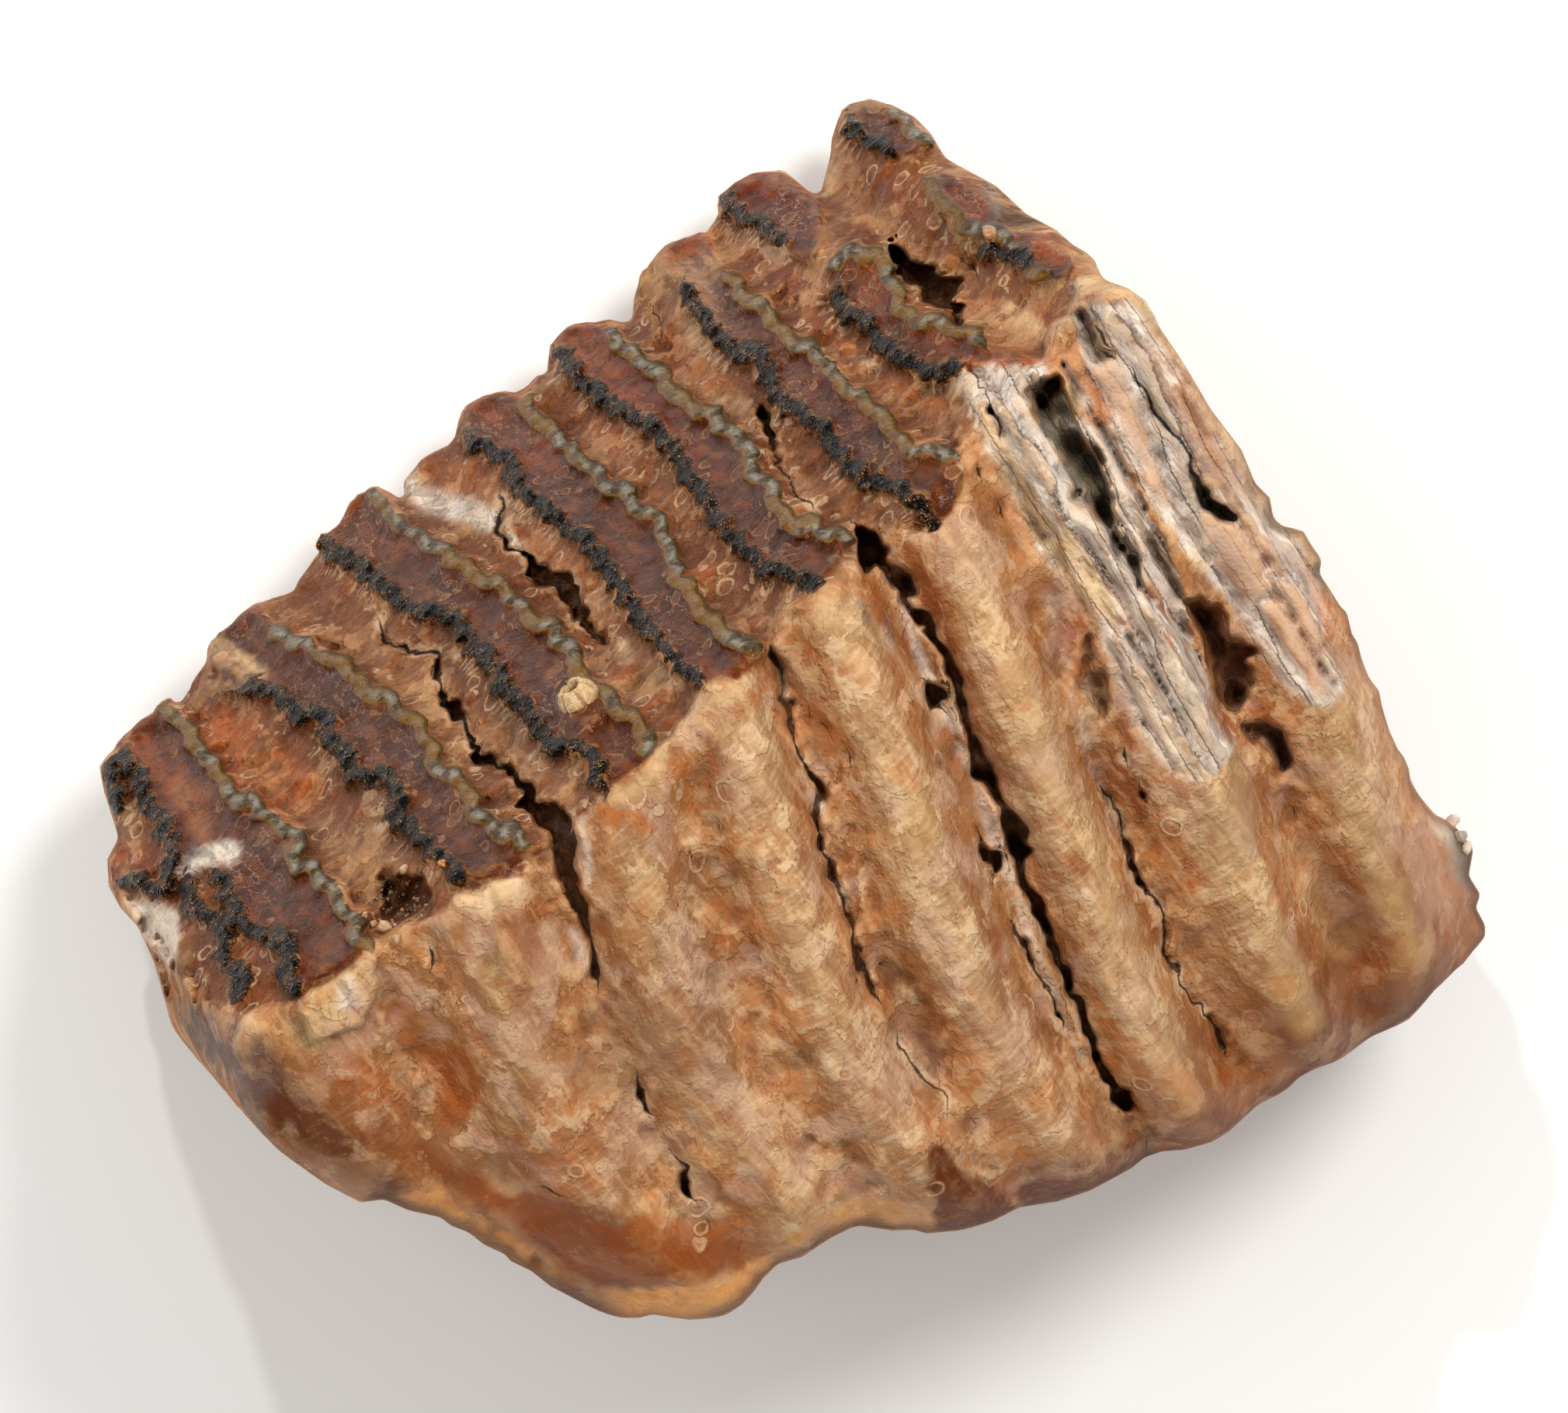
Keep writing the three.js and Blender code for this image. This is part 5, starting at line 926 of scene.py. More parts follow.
# Strokes on the chewing face.
FACE_STROKES = [
    ('umber', 34, .5, [(515, 845), (560, 872), (605, 905)]), ('umber', 44, .5, [(1120, 235), (1160, 265), (1205, 300)]), ('dark', 40, .25, [(1120, 235), (1205, 300)]), ('umber', 36, .45, [(305, 1085), (335, 1120), (360, 1150)]),
    ('orange', 42, .75, [(290, 945), (330, 985), (380, 1020)]), ('rust', 30, .6, [(270, 930), (300, 1000), (350, 1035)]), ('tan', 26, .5, [(330, 980), (350, 1000)]), ('dark', 14, .5, [(330, 950), (345, 960)]),
    ('deep', 8, .6, [(318, 962), (330, 968)]), ('deep', 8, .5, [(352, 985), (358, 990)]),
    ('amber', 36, .85, [(175, 960), (205, 975), (225, 1000), (245, 1030)]), ('ochre', 14, .8, [(228, 1010), (255, 1060), (272, 1090)]), ('purple', 26, .5, [(235, 945), (260, 1000)]),
    ('mauve', 12, .8, [(165, 1020), (185, 1060), (205, 1110)]), ('taupe', 20, .6, [(160, 1050), (175, 1090)]), ('rust', 22, .7, [(180, 1100), (210, 1120)]), ('purple', 30, .6, [(300, 1070), (340, 1110), (360, 1160), (400, 1180)]),
    ('white', 16, .95, [(238, 1118), (255, 1105), (275, 1100), (292, 1096)]), ('lilac', 12, .6, [(232, 1112), (250, 1095)]),
    ('amber', 16, .85, [(252, 1160), (275, 1150), (285, 1175)]), ('rust', 18, .6, [(300, 1160), (320, 1185)]), ('rust', 22, .55, [(330, 1220), (300, 1250), (340, 1290)]), ('purple', 26, .6, [(262, 1215), (275, 1260), (240, 1250)]),
    ('mauve', 26, .6, [(400, 1230), (430, 1215)]), ('red', 10, .8, [(250, 1288), (262, 1300)]), ('khaki', 14, .6, [(225, 1290), (250, 1310), (275, 1330)]),
    ('brown', 30, .4, [(180, 1145), (200, 1160)]), ('red', 12, .6, [(165, 1140), (200, 1150), (232, 1150)]),
    ('cream', 20, .9, [(262, 832), (290, 840), (325, 866)]), ('peach', 14, .6, [(285, 850), (330, 880)]), ('rust', 20, .5, [(340, 900), (300, 920)]), ('purple', 34, .5, [(240, 870), (290, 880), (210, 890)]),
    ('purple', 30, .5, [(430, 860), (500, 940), (560, 1010), (620, 1080)]), ('mauve', 26, .55, [(480, 930), (560, 1030), (640, 1100)]), ('taupe', 30, .5, [(350, 1080), (420, 1070), (470, 1080)]),
    ('tan', 24, .45, [(430, 1090), (470, 1120), (500, 1110)]), ('brown', 30, .4, [(380, 790), (430, 810), (470, 830)]), ('flesh', 30, .5, [(520, 870), (560, 890)]), ('tan', 30, .5, [(510, 845), (540, 870), (560, 920), (600, 980)]),
    ('tan', 24, .55, [(610, 935), (650, 960), (680, 990)]), ('taupe', 22, .5, [(640, 910), (680, 960), (720, 1000)]), ('pink', 16, .4, [(690, 1010), (740, 1020)]),
    ('purple', 32, .5, [(560, 730), (640, 810), (700, 870), (740, 920)]), ('mauve', 22, .5, [(470, 690), (540, 760), (620, 830)]), ('amber', 30, .7, [(430, 660), (460, 680), (500, 700)]), ('rust', 22, .5, [(415, 680), (440, 650)]),
    ('tan', 20, .5, [(560, 640), (600, 600), (640, 640)]), ('white', 20, .85, [(530, 625), (560, 645), (600, 655), (632, 668)]), ('cream', 12, .7, [(530, 600), (545, 620)]), ('rust', 30, .6, [(560, 605), (600, 615), (640, 610)]),
    ('cream', 12, .8, [(655, 665), (650, 690), (668, 705)]), ('white', 9, .8, [(655, 690), (668, 708)]), ('flesh', 24, .5, [(700, 690), (740, 730), (780, 790)]), ('rust', 18, .5, [(680, 690), (720, 730)]),
    ('tan', 22, .6, [(820, 840), (850, 860), (880, 870), (840, 880)]), ('taupe', 22, .6, [(830, 855), (870, 880), (900, 900)]), ('cream', 10, .7, [(800, 830), (810, 850)]), ('brown', 22, .5, [(860, 920), (880, 940), (850, 930)]),
    ('purple', 30, .55, [(700, 600), (780, 680), (860, 760), (920, 830)]), ('amber', 30, .7, [(620, 520), (650, 540), (690, 560)]), ('rust', 24, .5, [(640, 540), (700, 590)]),
    ('flesh', 22, .4, [(760, 560), (830, 620), (880, 680)]), ('rust', 20, .5, [(740, 520), (800, 570)]), ('brown', 20, .4, [(900, 700), (940, 740), (980, 780)]), ('pink', 14, .5, [(985, 800), (1000, 830)]),
    ('purple', 26, .45, [(900, 590), (960, 660), (1010, 710)]), ('rust', 26, .6, [(740, 450), (790, 490), (850, 550)]), ('amber', 26, .7, [(730, 430), (770, 475)]), ('red', 24, .4, [(880, 570), (930, 630)]),
    ('flesh', 26, .5, [(880, 480), (920, 500), (960, 530)]), ('cream', 14, .6, [(920, 512), (950, 522)]), ('rust', 22, .5, [(860, 440), (890, 470)]), ('tan', 10, .6, [(840, 400), (850, 430)]),
    ('sand', 34, .75, [(855, 340), (880, 350), (900, 345), (890, 400), (905, 420)]), ('rust', 26, .6, [(870, 320), (900, 310)]), ('red', 26, .4, [(960, 400), (1010, 450), (1060, 510)]), ('brown', 24, .3, [(1100, 560), (1160, 610)]),
    ('flesh', 20, .5, [(1000, 590), (1040, 640)]), ('tan', 10, .6, [(1000, 580), (1030, 630), (1060, 680)]), ('red', 30, .55, [(950, 250), (990, 245), (1030, 280)]), ('red', 26, .5, [(960, 320), (1010, 360), (1050, 400)]),
    ('orange', 16, .5, [(920, 300), (945, 310)]), ('rust', 24, .4, [(1050, 420), (1080, 450)]), ('tan', 20, .5, [(1075, 290), (1060, 320)]), ('pink', 12, .5, [(1060, 340), (1040, 400)]),
    ('orange', 22, .9, [(1105, 350), (1120, 365), (1110, 385)]), ('rust', 18, .6, [(1140, 400), (1180, 430), (1230, 450)]), ('mauve', 16, .4, [(1110, 395), (1150, 430)]), ('brown', 20, .5, [(1160, 350), (1200, 390), (1260, 430)]),
    ('flesh', 20, .5, [(1270, 440), (1310, 455)]), ('orange', 9, .8, [(1235, 474), (1290, 468), (1330, 466)]), ('flesh', 24, .5, [(1090, 470), (1140, 500), (1190, 530)]), ('orange', 14, .5, [(1080, 440), (1130, 480), (1190, 510), (1225, 530)]),
    ('cream', 8, .6, [(1100, 460), (1130, 480)]), ('brown', 24, .5, [(1190, 540), (1220, 590)]), ('khaki', 10, .7, [(1060, 455), (1085, 470)]), ('mauve', 24, .45, [(1160, 600), (1210, 620)]), ('khaki', 12, .6, [(1235, 600), (1245, 650)]),
    ('red', 26, .5, [(1110, 150), (1150, 170)]), ('khaki', 16, .7, [(1090, 135), (1120, 128), (1150, 145)]), ('tan', 16, .5, [(1170, 165), (1200, 195)]),
    ('cream', 14, .85, [(1066, 175), (1064, 210), (1062, 245)]), ('tan', 20, .5, [(1090, 220), (1120, 260), (1160, 310), (1220, 360)]), ('pink', 10, .5, [(1080, 240), (1110, 280), (1180, 330)]), ('dark', 20, .5, [(1080, 290), (1120, 320)]),
    ('rust', 26, .5, [(1140, 220), (1180, 260)]), ('orange', 22, .6, [(1230, 245), (1255, 265)]), ('khaki', 14, .7, [(1200, 230), (1215, 280), (1245, 310)]), ('slate', 10, .7, [(1270, 235), (1285, 270)]), ('olive', 10, .7, [(1290, 275), (1330, 290)]),
    ('orange', 18, .6, [(1370, 330), (1340, 320)]), ('khaki', 14, .6, [(1270, 305), (1285, 312)]), ('ochre', 26, .5, [(1240, 340), (1300, 380), (1340, 400)]), ('olive', 12, .7, [(1330, 340), (1350, 360)]), ('tan', 14, .6, [(1380, 320), (1410, 345)]),
    ('pink', 22, .7, [(1250, 390), (1300, 410), (1350, 440), (1380, 480)]), ('cream', 12, .6, [(1300, 400), (1345, 430), (1385, 470)]), ('rust', 14, .6, [(1345, 400), (1380, 440), (1400, 480)]), ('white', 12, .6, [(1385, 372), (1400, 385)]),
    ('red', 10, .5, [(1240, 370), (1260, 400)]),
    ('brown', 26, .4, [(620, 700), (600, 760), (570, 720)]),
]
BROKEN = [
    ('lilac', 34, .5, [(1295, 565), (1315, 610), (1340, 655)]), ('lilac', 40, .3, [(1545, 570), (1590, 620)]),
    ('chalk', 26, .8, [(1250, 490), (1280, 510), (1310, 500), (1330, 480)]), ('grey', 18, .7, [(1290, 520), (1320, 580), (1350, 640)]), ('olive', 11, .75, [(1330, 490), (1350, 530), (1372, 580)]),
    ('slate', 12, .8, [(1300, 600), (1330, 660), (1350, 700), (1370, 740)]), ('olive', 8, .7, [(1320, 660), (1345, 700)]), ('cream', 12, .8, [(1262, 530), (1290, 580), (1320, 640), (1350, 700), (1390, 770)]),
    ('pink', 10, .5, [(1270, 600), (1300, 650), (1330, 720)]), ('white', 18, .9, [(1385, 672), (1410, 695), (1440, 730), (1470, 780), (1480, 800)]), ('cream', 20, .9, [(1370, 700), (1400, 750), (1440, 790)]),
    ('white', 22, .9, [(1460, 820), (1490, 860), (1520, 900), (1545, 950)]), ('chalk', 20, .8, [(1440, 850), (1470, 920), (1500, 975)]), ('grey', 9, .6, [(1430, 830), (1450, 880), (1475, 940)]),
    ('lilac', 7, .8, [(1451, 819), (1476, 854), (1497, 890), (1522, 944)]), ('slate', 6, .6, [(1440, 790), (1456, 820), (1470, 850)]), ('cream', 14, .7, [(1500, 840), (1530, 900), (1555, 960)]),
    ('khaki', 12, .6, [(1400, 600), (1410, 640), (1430, 670)]), ('grey', 10, .6, [(1388, 570), (1398, 610), (1412, 650)]), ('olive', 8, .8, [(1375, 500), (1400, 545), (1420, 590)]),
    ('white', 7, .8, [(1400, 540), (1425, 585), (1445, 630), (1462, 680)]), ('olive', 6, .8, [(1415, 590), (1432, 630), (1450, 680)]), ('olive', 10, .8, [(1460, 650), (1480, 690), (1500, 730)]),
    ('chalk', 14, .8, [(1430, 540), (1460, 590), (1500, 640), (1520, 680)]), ('cream', 14, .8, [(1485, 640), (1520, 690), (1550, 730)]), ('white', 8, .7, [(1500, 660), (1530, 700)]),
    ('slab', 14, .9, [(1418, 480), (1450, 540), (1480, 600), (1495, 640)]), ('orange', 7, .8, [(1465, 600), (1472, 620)]), ('tan', 10, .6, [(1440, 500), (1470, 560)]),
    ('slate', 10, .7, [(1490, 580), (1510, 620), (1530, 650)]), ('lilac', 12, .6, [(1500, 560), (1530, 620), (1560, 660)]), ('chalk', 10, .7, [(1520, 650), (1550, 670)]),
    ('slab', 22, .95, [(1555, 670), (1590, 700), (1620, 740)]), ('flesh', 12, .6, [(1570, 720), (1600, 760)]), ('chalk', 8, .8, [(1540, 670), (1560, 720), (1590, 770), (1620, 800)]),
    ('slab', 16, .95, [(1600, 680), (1630, 710), (1645, 735)]), ('slab', 18, .95, [(1640, 785), (1665, 820), (1690, 870)]), ('orange', 10, .6, [(1640, 800), (1670, 850), (1690, 885)]),
    ('slab', 16, .9, [(1665, 765), (1685, 800), (1697, 840)]), ('lilac', 14, .7, [(1650, 720), (1680, 750), (1710, 800)]), ('chalk', 10, .8, [(1605, 790), (1640, 840), (1670, 880), (1700, 902)]),
    ('orange', 12, .8, [(1680, 720), (1700, 770), (1715, 820)]), ('cream', 14, .7, [(1660, 690), (1690, 700), (1700, 720)]), ('slab', 22, .6, [(1600, 610), (1630, 650), (1650, 680)]),
    ('slab', 26, .6, [(1500, 470), (1550, 540), (1600, 620)]), ('flesh', 10, .6, [(1518, 495), (1543, 545), (1570, 600)]), ('red', 4, .7, [(1518, 495), (1530, 520), (1543, 545)]), ('sand', 12, .6, [(1560, 530), (1600, 600)]),
    ('lilac', 20, .8, [(1410, 400), (1440, 420), (1470, 470), (1485, 510)]), ('purple', 8, .7, [(1430, 400), (1460, 450), (1480, 490)]), ('slate', 10, .7, [(1470, 480), (1500, 530), (1520, 570)]),
    # the 'deep' stroke that opens the next line sits in a broken hollow: painted shade
    ('deep', 10, .9, [(1392, 400), (1405, 425), (1425, 445)]), ('red', 8, .8, [(1405, 425), (1425, 445)]), ('cream', 16, .9, [(1392, 368), (1430, 368), (1460, 378), (1480, 395)]), ('khaki', 9, .7, [(1466, 387), (1480, 410), (1487, 430)]),
    # the 'deep' stroke on the next line runs along a furrow into a broken hollow: painted shade
    ('rust', 16, .6, [(1450, 800), (1480, 820)]), ('orange', 6, .8, [(1500, 815), (1512, 830)]), ('deep', 16, .8, [(1510, 770), (1540, 810), (1560, 850)]), ('rust', 14, .7, [(1480, 760), (1510, 790)]),
    ('brown', 18, .6, [(1580, 800), (1620, 870), (1660, 920)]), ('rust', 20, .6, [(1560, 920), (1600, 950), (1640, 1010)]), ('tan', 14, .6, [(1630, 900), (1680, 930)]), ('rust', 20, .6, [(1590, 900), (1625, 915)]),
    ('rust', 14, .7, [(1380, 450), (1400, 500), (1415, 540)]), ('pink', 14, .7, [(1350, 440), (1385, 480), (1405, 530)]), ('white', 8, .6, [(1370, 470), (1400, 520)]),
]


def towards(a, name, w):
    return a + (PAL[name] - a) * w[..., None]


def flank_colour(P, u, h, t, q, crest):
    """Cementum over the plates' edges: pale on the crests, brown and rusty between them."""
    a, b, c = noise(P, 14.0, 21), noise(P, 6.0, 22), noise(P, 2.4, 23)
    d = noise(np.stack([u, h * 0.16, t], -1), 2.4, 24)
    e = noise(np.stack([u, h * 0.22, t], -1), 5.0, 25)
    col = np.zeros(P.shape[:-1] + (3,)) + PAL['ochre']
    col = towards(col, 'flesh', ramp(-a + 0.6 * e, -0.3, 0.7) * 0.6)
    col = towards(col, 'brown', ramp(a + 0.7 * d, 0.1, 0.9) * 0.5)
    col = towards(col, 'pink', ramp(-d + 0.4 * a, 0.1, 0.6) * 0.5)
    col = towards(col, 'taupe', ramp(e - 0.6 * b, 0.2, 0.7) * 0.6)
    col = towards(col, 'tan', (crest * (0.65 + 0.35 * b)).clip(0, 1))
    col = towards(col, 'sand', crest ** 2 * ramp(b + 0.7 * c + 0.4 * e, -0.5, 0.8) * 0.7)
    col = towards(col, 'khaki', crest * ramp(e - 0.6 * a, 0.15, 0.5) * 0.60)
    col = towards(col, 'slab', crest * ramp(-b + 0.6 * d, 0.05, 0.4) * 0.55)
    col = towards(col, 'flesh', crest * ramp(d + 0.5 * b, 0.15, 0.5) * 0.45)
    edge_ = np.exp(-((crest - 0.35) / 0.25) ** 2)
    col = towards(col, 'orange', edge_ * ramp(e + a + 0.6 * d, 0.0, 0.7) * 0.50)
    col = towards(col, 'rust', ramp(0.9 * d + 0.4 * e, 0.2, 0.6) * (0.38 - 0.10 * crest))
    col = towards(col, 'cream', ramp(-d - 0.6 * c, 0.5, 0.9) * 0.5)
    base = ramp(h, -62, -88)
    col = towards(col, 'brown', base * (0.4 + 0.3 * b))
    col = towards(col, 'umber', base * ramp(a, 0.0, 0.6) * 0.4)
    return col


def draw(col, strokes, where, wob=7.0):
    for name, r, k, pts in strokes:
        D = near([curve(pts, 8)], r + 26.0)[0] + wob * (N4 + 0.7 * N2) * min(1.0, r / 16)
        col = towards(col, name, (1 - ramp(D, 0.35 * r, 1.15 * r)) * k * where)
    return col


CALM = np.zeros((NY, NX), np.float32)


def lay(col, sheets, where):
    for name, k, poly in sheets:
        A = ramp(torn(area([poly], 30.0)) + 2.5 * N1 + 2.0 * N2, -1.5, 1.5)
        col = towards(col, name, A * k * (1 + 0.20 * N2) * where)
        CALM[:] = np.maximum(CALM, A * (1.0 if name in ('polished', 'amber') else 0.6) * min(1, k + 0.1))
    return col


q_crest = ramp(np.cos(2 * np.pi * (MQ + 0.02 * N9)), -0.45, 0.75)
crest_map = q_crest * ramp(MH, -82, -62) * ramp(MH, -1, -6) * (0.35 + 0.65 * ramp(MQ, 1.6, 2.6))
side_col = flank_colour(SURF, MU, MH, MT, MQ, crest_map)
ones = np.ones((NY, NX), np.float32)
side_col = lay(draw(side_col, STROKES, ones) * 0.93, SHEETS, ones)
body_zone = np.maximum(core, rear)
pale = np.zeros((NY, NX, 3)) + PAL['chalk']
pale = towards(pale, 'cream', ramp(N9 + HASH[(LAYN + 11) % 400], -0.2, 0.8) * 0.7)
pale = towards(pale, 'grey', ramp(HASH[(LAYN + 31) % 400] + 0.5 * N4, 0.1, 0.6) * 0.6)
pale = towards(pale, 'taupe', ramp(HASH[(LAYN + 51) % 400] - 0.5 * N4, 0.5, 0.9) * 0.5) * 0.96
rearc = np.zeros((NY, NX, 3)) + PAL['rose']
rearc = towards(rearc, 'taupe', ramp(N4 + HASH[(LAYN + 13) % 400], 0.0, 1.0) * 0.6)
rearc = towards(rearc, 'chalk', ramp(HASH[(LAYN + 33) % 400] - 0.5 * N9, 0.0, 0.6) * 0.8)
rearc = towards(rearc, 'lilac', ramp(HASH[(LAYN + 43) % 400] + 0.5 * N4, 0.4, 0.9) * 0.6)
rearc = towards(rearc, 'slab', ramp(HASH[(LAYN + 53) % 400] + 0.5 * N9, 0.3, 0.8) * 0.6) * 0.93
side_col = side_col + (rearc - side_col) * (rear * 0.9)[..., None]
side_col = side_col + (pale - side_col) * (core * 0.95)[..., None]
side_col = draw(side_col, BROKEN, ones, 4.0)

ACROSS = np.stack([MU, MT * 0.16, MH], -1)        # streaks along the plates
SA, SB = noise(ACROSS, 2.2, 41), noise(ACROSS, 1.0, 42)
face_col = np.zeros((NY, NX, 3)) + PAL['brown'] * 0.86
face_col = towards(face_col, 'ochre', ramp(N9 + 0.6 * N2 + 0.5 * SA, 0.1, 0.9) * 0.5)
face_col = towards(face_col, 'flesh', ramp(-N9 + 0.7 * N4 + 0.5 * SB, 0.2, 1.0) * 0.5)
face_col = towards(face_col, 'rust', ramp(N4 + N2 + 0.5 * SA, 0.4, 1.2) * 0.6)
face_col = towards(face_col, 'dark', ramp(-SA - 0.5 * N2, 0.3, 0.9) * 0.55)
face_col = towards(face_col, 'pink', ramp(SB + 0.4 * N1, 0.6, 1.1) * 0.35)
dent_col = np.zeros((NY, NX, 3)) + PAL['umber']
dent_col = towards(dent_col, 'purple', ramp(N9 + 0.4 * N4, -0.3, 0.6) * 0.7)
dent_col = towards(dent_col, 'red', ramp(-N9 + 0.4 * SA, 0.1, 0.7) * 0.45)
dent_col = towards(dent_col, 'rust', (1 - ramp(PLATE, 2, 14)) * ramp(N9, -0.2, 0.5) * 0.45)
dent_col = towards(dent_col, 'mauve', ramp(PLATE, 16, 34) * ramp(N4, -0.6, 0.5) * 0.45)
dent_col = towards(dent_col, 'deep', ramp(SA + 0.3 * SB, 0.3, 0.9) * 0.35)
face_col = face_col + (dent_col - face_col) * ramp(PLATE, -3, 3)[..., None]
face_col = draw(face_col, FACE_STROKES, ones)
TINT = side_col + (face_col - side_col) * ramp(CHEW, -4, 3)[..., None]
# painted shade inside the pit, and a darker band round its edge
TINT = towards(TINT, 'deep', ramp(PITD, -0.05, 0.25) * (0.70 + 0.25 * N1))
TINT = towards(TINT, 'dark', ramp(PITD, -0.2, 0.0) * (1 - ramp(PITD, 0.0, 0.2)) * 0.5)
# painted shade in the broken hollows: deep brown, olive in those of the pale core
TINT = towards(TINT, 'deep', ramp(HOLE, -3, 6) * 0.45 * (1 - core))
TINT = towards(TINT, 'olive', ramp(HOLE, -3, 6) * 0.75 * core)
TINT = np.ascontiguousarray(TINT.astype(np.float32))

# white flake scar at the front
SCAR = area([[(151, 1144), (223, 1166), (232, 1193), (229, 1224), (218, 1246), (189, 1215), (162, 1179)]], 40.0) + 2 * N1
scar = ramp(SCAR, -2, 3)
sc = np.zeros((NY, NX, 3)) + PAL['chalk']
sc = towards(sc, 'peach', (1 - ramp(SCAR, 0, 16)) * 0.9 * ramp(XX + 0.4 * YY, 720, 620))
TINT = (TINT + (sc - TINT) * scar[..., None]).astype(np.float32)


# ------------------------------------------------------------------ nodes
class Graph:
    def __init__(self, mat):
        mat.use_nodes = True
        self.t = mat.node_tree
        self.t.nodes.clear()
        self.n = 0

    def node(self, kind, **props):
        n = self.t.nodes.new(kind)
        n.location = (180 * (self.n // 12), -160 * (self.n % 12))
        self.n += 1
        for k, v in props.items():
            setattr(n, k, v)
        return n

    def put(self, socket, v):
        if isinstance(v, bpy.types.NodeSocket):
            self.t.links.new(v, socket)
        elif v is not None:
            if socket.type == 'RGBA':
                v = tuple(v)[:3] + (1.0,)
            socket.default_value = v

    def math(self, op, a, b=None, c=None, clamp=False):
        n = self.node('ShaderNodeMath', operation=op, use_clamp=clamp)
        for s, v in zip(n.inputs, (a, b, c)):
            self.put(s, v)
        return n.outputs[0]

    def vmath(self, op, a, b=None, scale=None):
        n = self.node('ShaderNodeVectorMath', operation=op)
        self.put(n.inputs[0], a)
        if b is not None:
            self.put(n.inputs[1], b)
        if scale is not None:
            self.put(n.inputs[3], scale)
        return n.outputs['Value'] if op in ('DOT_PRODUCT', 'LENGTH') else n.outputs[0]

    def add(self, *v):
        r = v[0]
        for x in v[1:]:
            r = self.math('ADD', r, x)
        return r

    def mul(self, *v):
        r = v[0]
        for x in v[1:]:
            r = self.math('MULTIPLY', r, x)
        return r

    def ramp(self, x, a, b, lo=0.0, hi=1.0, kind='SMOOTHSTEP'):
        n = self.node('ShaderNodeMapRange', interpolation_type=kind)
        for s, v in zip(n.inputs, (x, a, b, lo, hi)):
            self.put(s, v)
        return n.outputs[0]

    def mix(self, f, a, b, mode='MIX'):
        n = self.node('ShaderNodeMix', data_type='RGBA', blend_type=mode, clamp_factor=True)
        self.put(n.inputs[0], f)
        self.put(n.inputs[6], a)
        self.put(n.inputs[7], b)
        return n.outputs[2]

    def noise(self, vec, scale, detail=2.0, rough=0.5, dist=0.0, colour=False):
        n = self.node('ShaderNodeTexNoise')
        self.put(n.inputs['Vector'], vec)
        n.inputs['Scale'].default_value = scale
        n.inputs['Detail'].default_value = detail
        n.inputs['Roughness'].default_value = rough
        n.inputs['Distortion'].default_value = dist
        return n.outputs['Color' if colour else 'Fac']

    def voronoi(self, vec, scale, feature='F1', rand=1.0, out='Distance'):
        n = self.node('ShaderNodeTexVoronoi', feature=feature)
        self.put(n.inputs['Vector'], vec)
        n.inputs['Scale'].default_value = scale
        n.inputs['Randomness'].default_value = rand
        return n.outputs[out]

    def attr(self, name, out='Fac'):
        n = self.node('ShaderNodeAttribute', attribute_name=name)
        return n.outputs[out]

    def xyz(self, x, y, z):
        n = self.node('ShaderNodeCombineXYZ')
        for s, v in zip(n.inputs, (x, y, z)):
            self.put(s, v)
        return n.outputs[0]


def rgb(*c):
    return tuple(float(x) for x in lin(c))
# ------------------------------------------------------------------ what the surface is made of, at each point
co = coords(tooth.data)
co[:, 2] = np.maximum(co[:, 2], 0.0)
tooth.data.vertices.foreach_set("co", (co / 1000).astype(np.float32).ravel())
P = co - SHIFT
tri = triangles_of(tooth.data)
at = Map(*project(P))
nrm = np.zeros((len(co), 3))
fn = np.cross(co[tri[:, 1]] - co[tri[:, 0]], co[tri[:, 2]] - co[tri[:, 0]])
for i in range(3):
    for k in range(3):
        nrm[:, k] += np.bincount(tri[:, i], fn[:, k], len(co))
nrm /= np.linalg.norm(nrm, axis=1)[:, None] + 1e-12
# what the view reaches: facing it, and not under something else
ci = ((project(P)[0] - MX0) / 8).astype(int).clip(0, 279)
cj = ((project(P)[1] - MY0) / 8).astype(int).clip(0, 259)
high = np.full((260, 280), -999.0)
np.maximum.at(high, (cj, ci), P[:, 2])
m = np.maximum(seen(P, at), ramp(nrm[:, 2], -0.05, 0.10) * ramp(P[:, 2] - high[cj, ci], -12, -7))
# the band along the outline that turns away from the view takes its colours from the hidden side
inner = high > -900
for _ in range(4):
    inner = inner & np.roll(inner, 1, 0) & np.roll(inner, -1, 0) & np.roll(inner, 1, 1) & np.roll(inner, -1, 1)
turned = (1.0 - inner[cj, ci]) * ramp(nrm[:, 2], 0.30, 0.10)
m = m * (1 - turned)
under = np.maximum(turned, ramp(P[:, 2] - high[cj, ci], -16, -24))
f0, u, h, t, q, low = body(P, True)
v1, v2, v4, v9 = noise(P, 1.6, 51), noise(P, 2.6, 52), noise(P, 4.5, 53), noise(P, 10.0, 54)
qc = ramp(np.cos(2 * np.pi * (q + 0.02 * noise(P, 9.0, 4))), -0.45, 0.75) * ramp(h, -85, -62) * ramp(h, -1, -6)
tint_hidden = flank_colour(P, u, h, t, q, qc)
tint_hidden = towards(tint_hidden, 'dark', np.exp(-((np.mod(q + 0.06 * v4, 1) - 0.5) * 15 / 1.5) ** 2) * ramp(-h, 3, 12) * ramp(v9 + v2, -0.2, 0.8) * 0.5)
tint_seen = np.stack([at(np.ascontiguousarray(TINT[..., i])) for i in range(3)], 1)
tint = tint_hidden + (tint_seen - tint_hidden) * m[:, None]

# curvature at two scales
ea = np.concatenate([tri[:, 0], tri[:, 1], tri[:, 2]])
eb = np.concatenate([tri[:, 1], tri[:, 2], tri[:, 0]])
deg = np.bincount(ea, minlength=len(co)) + 1e-9


def spread(v):
    return np.bincount(ea, v[eb], len(co)) / deg


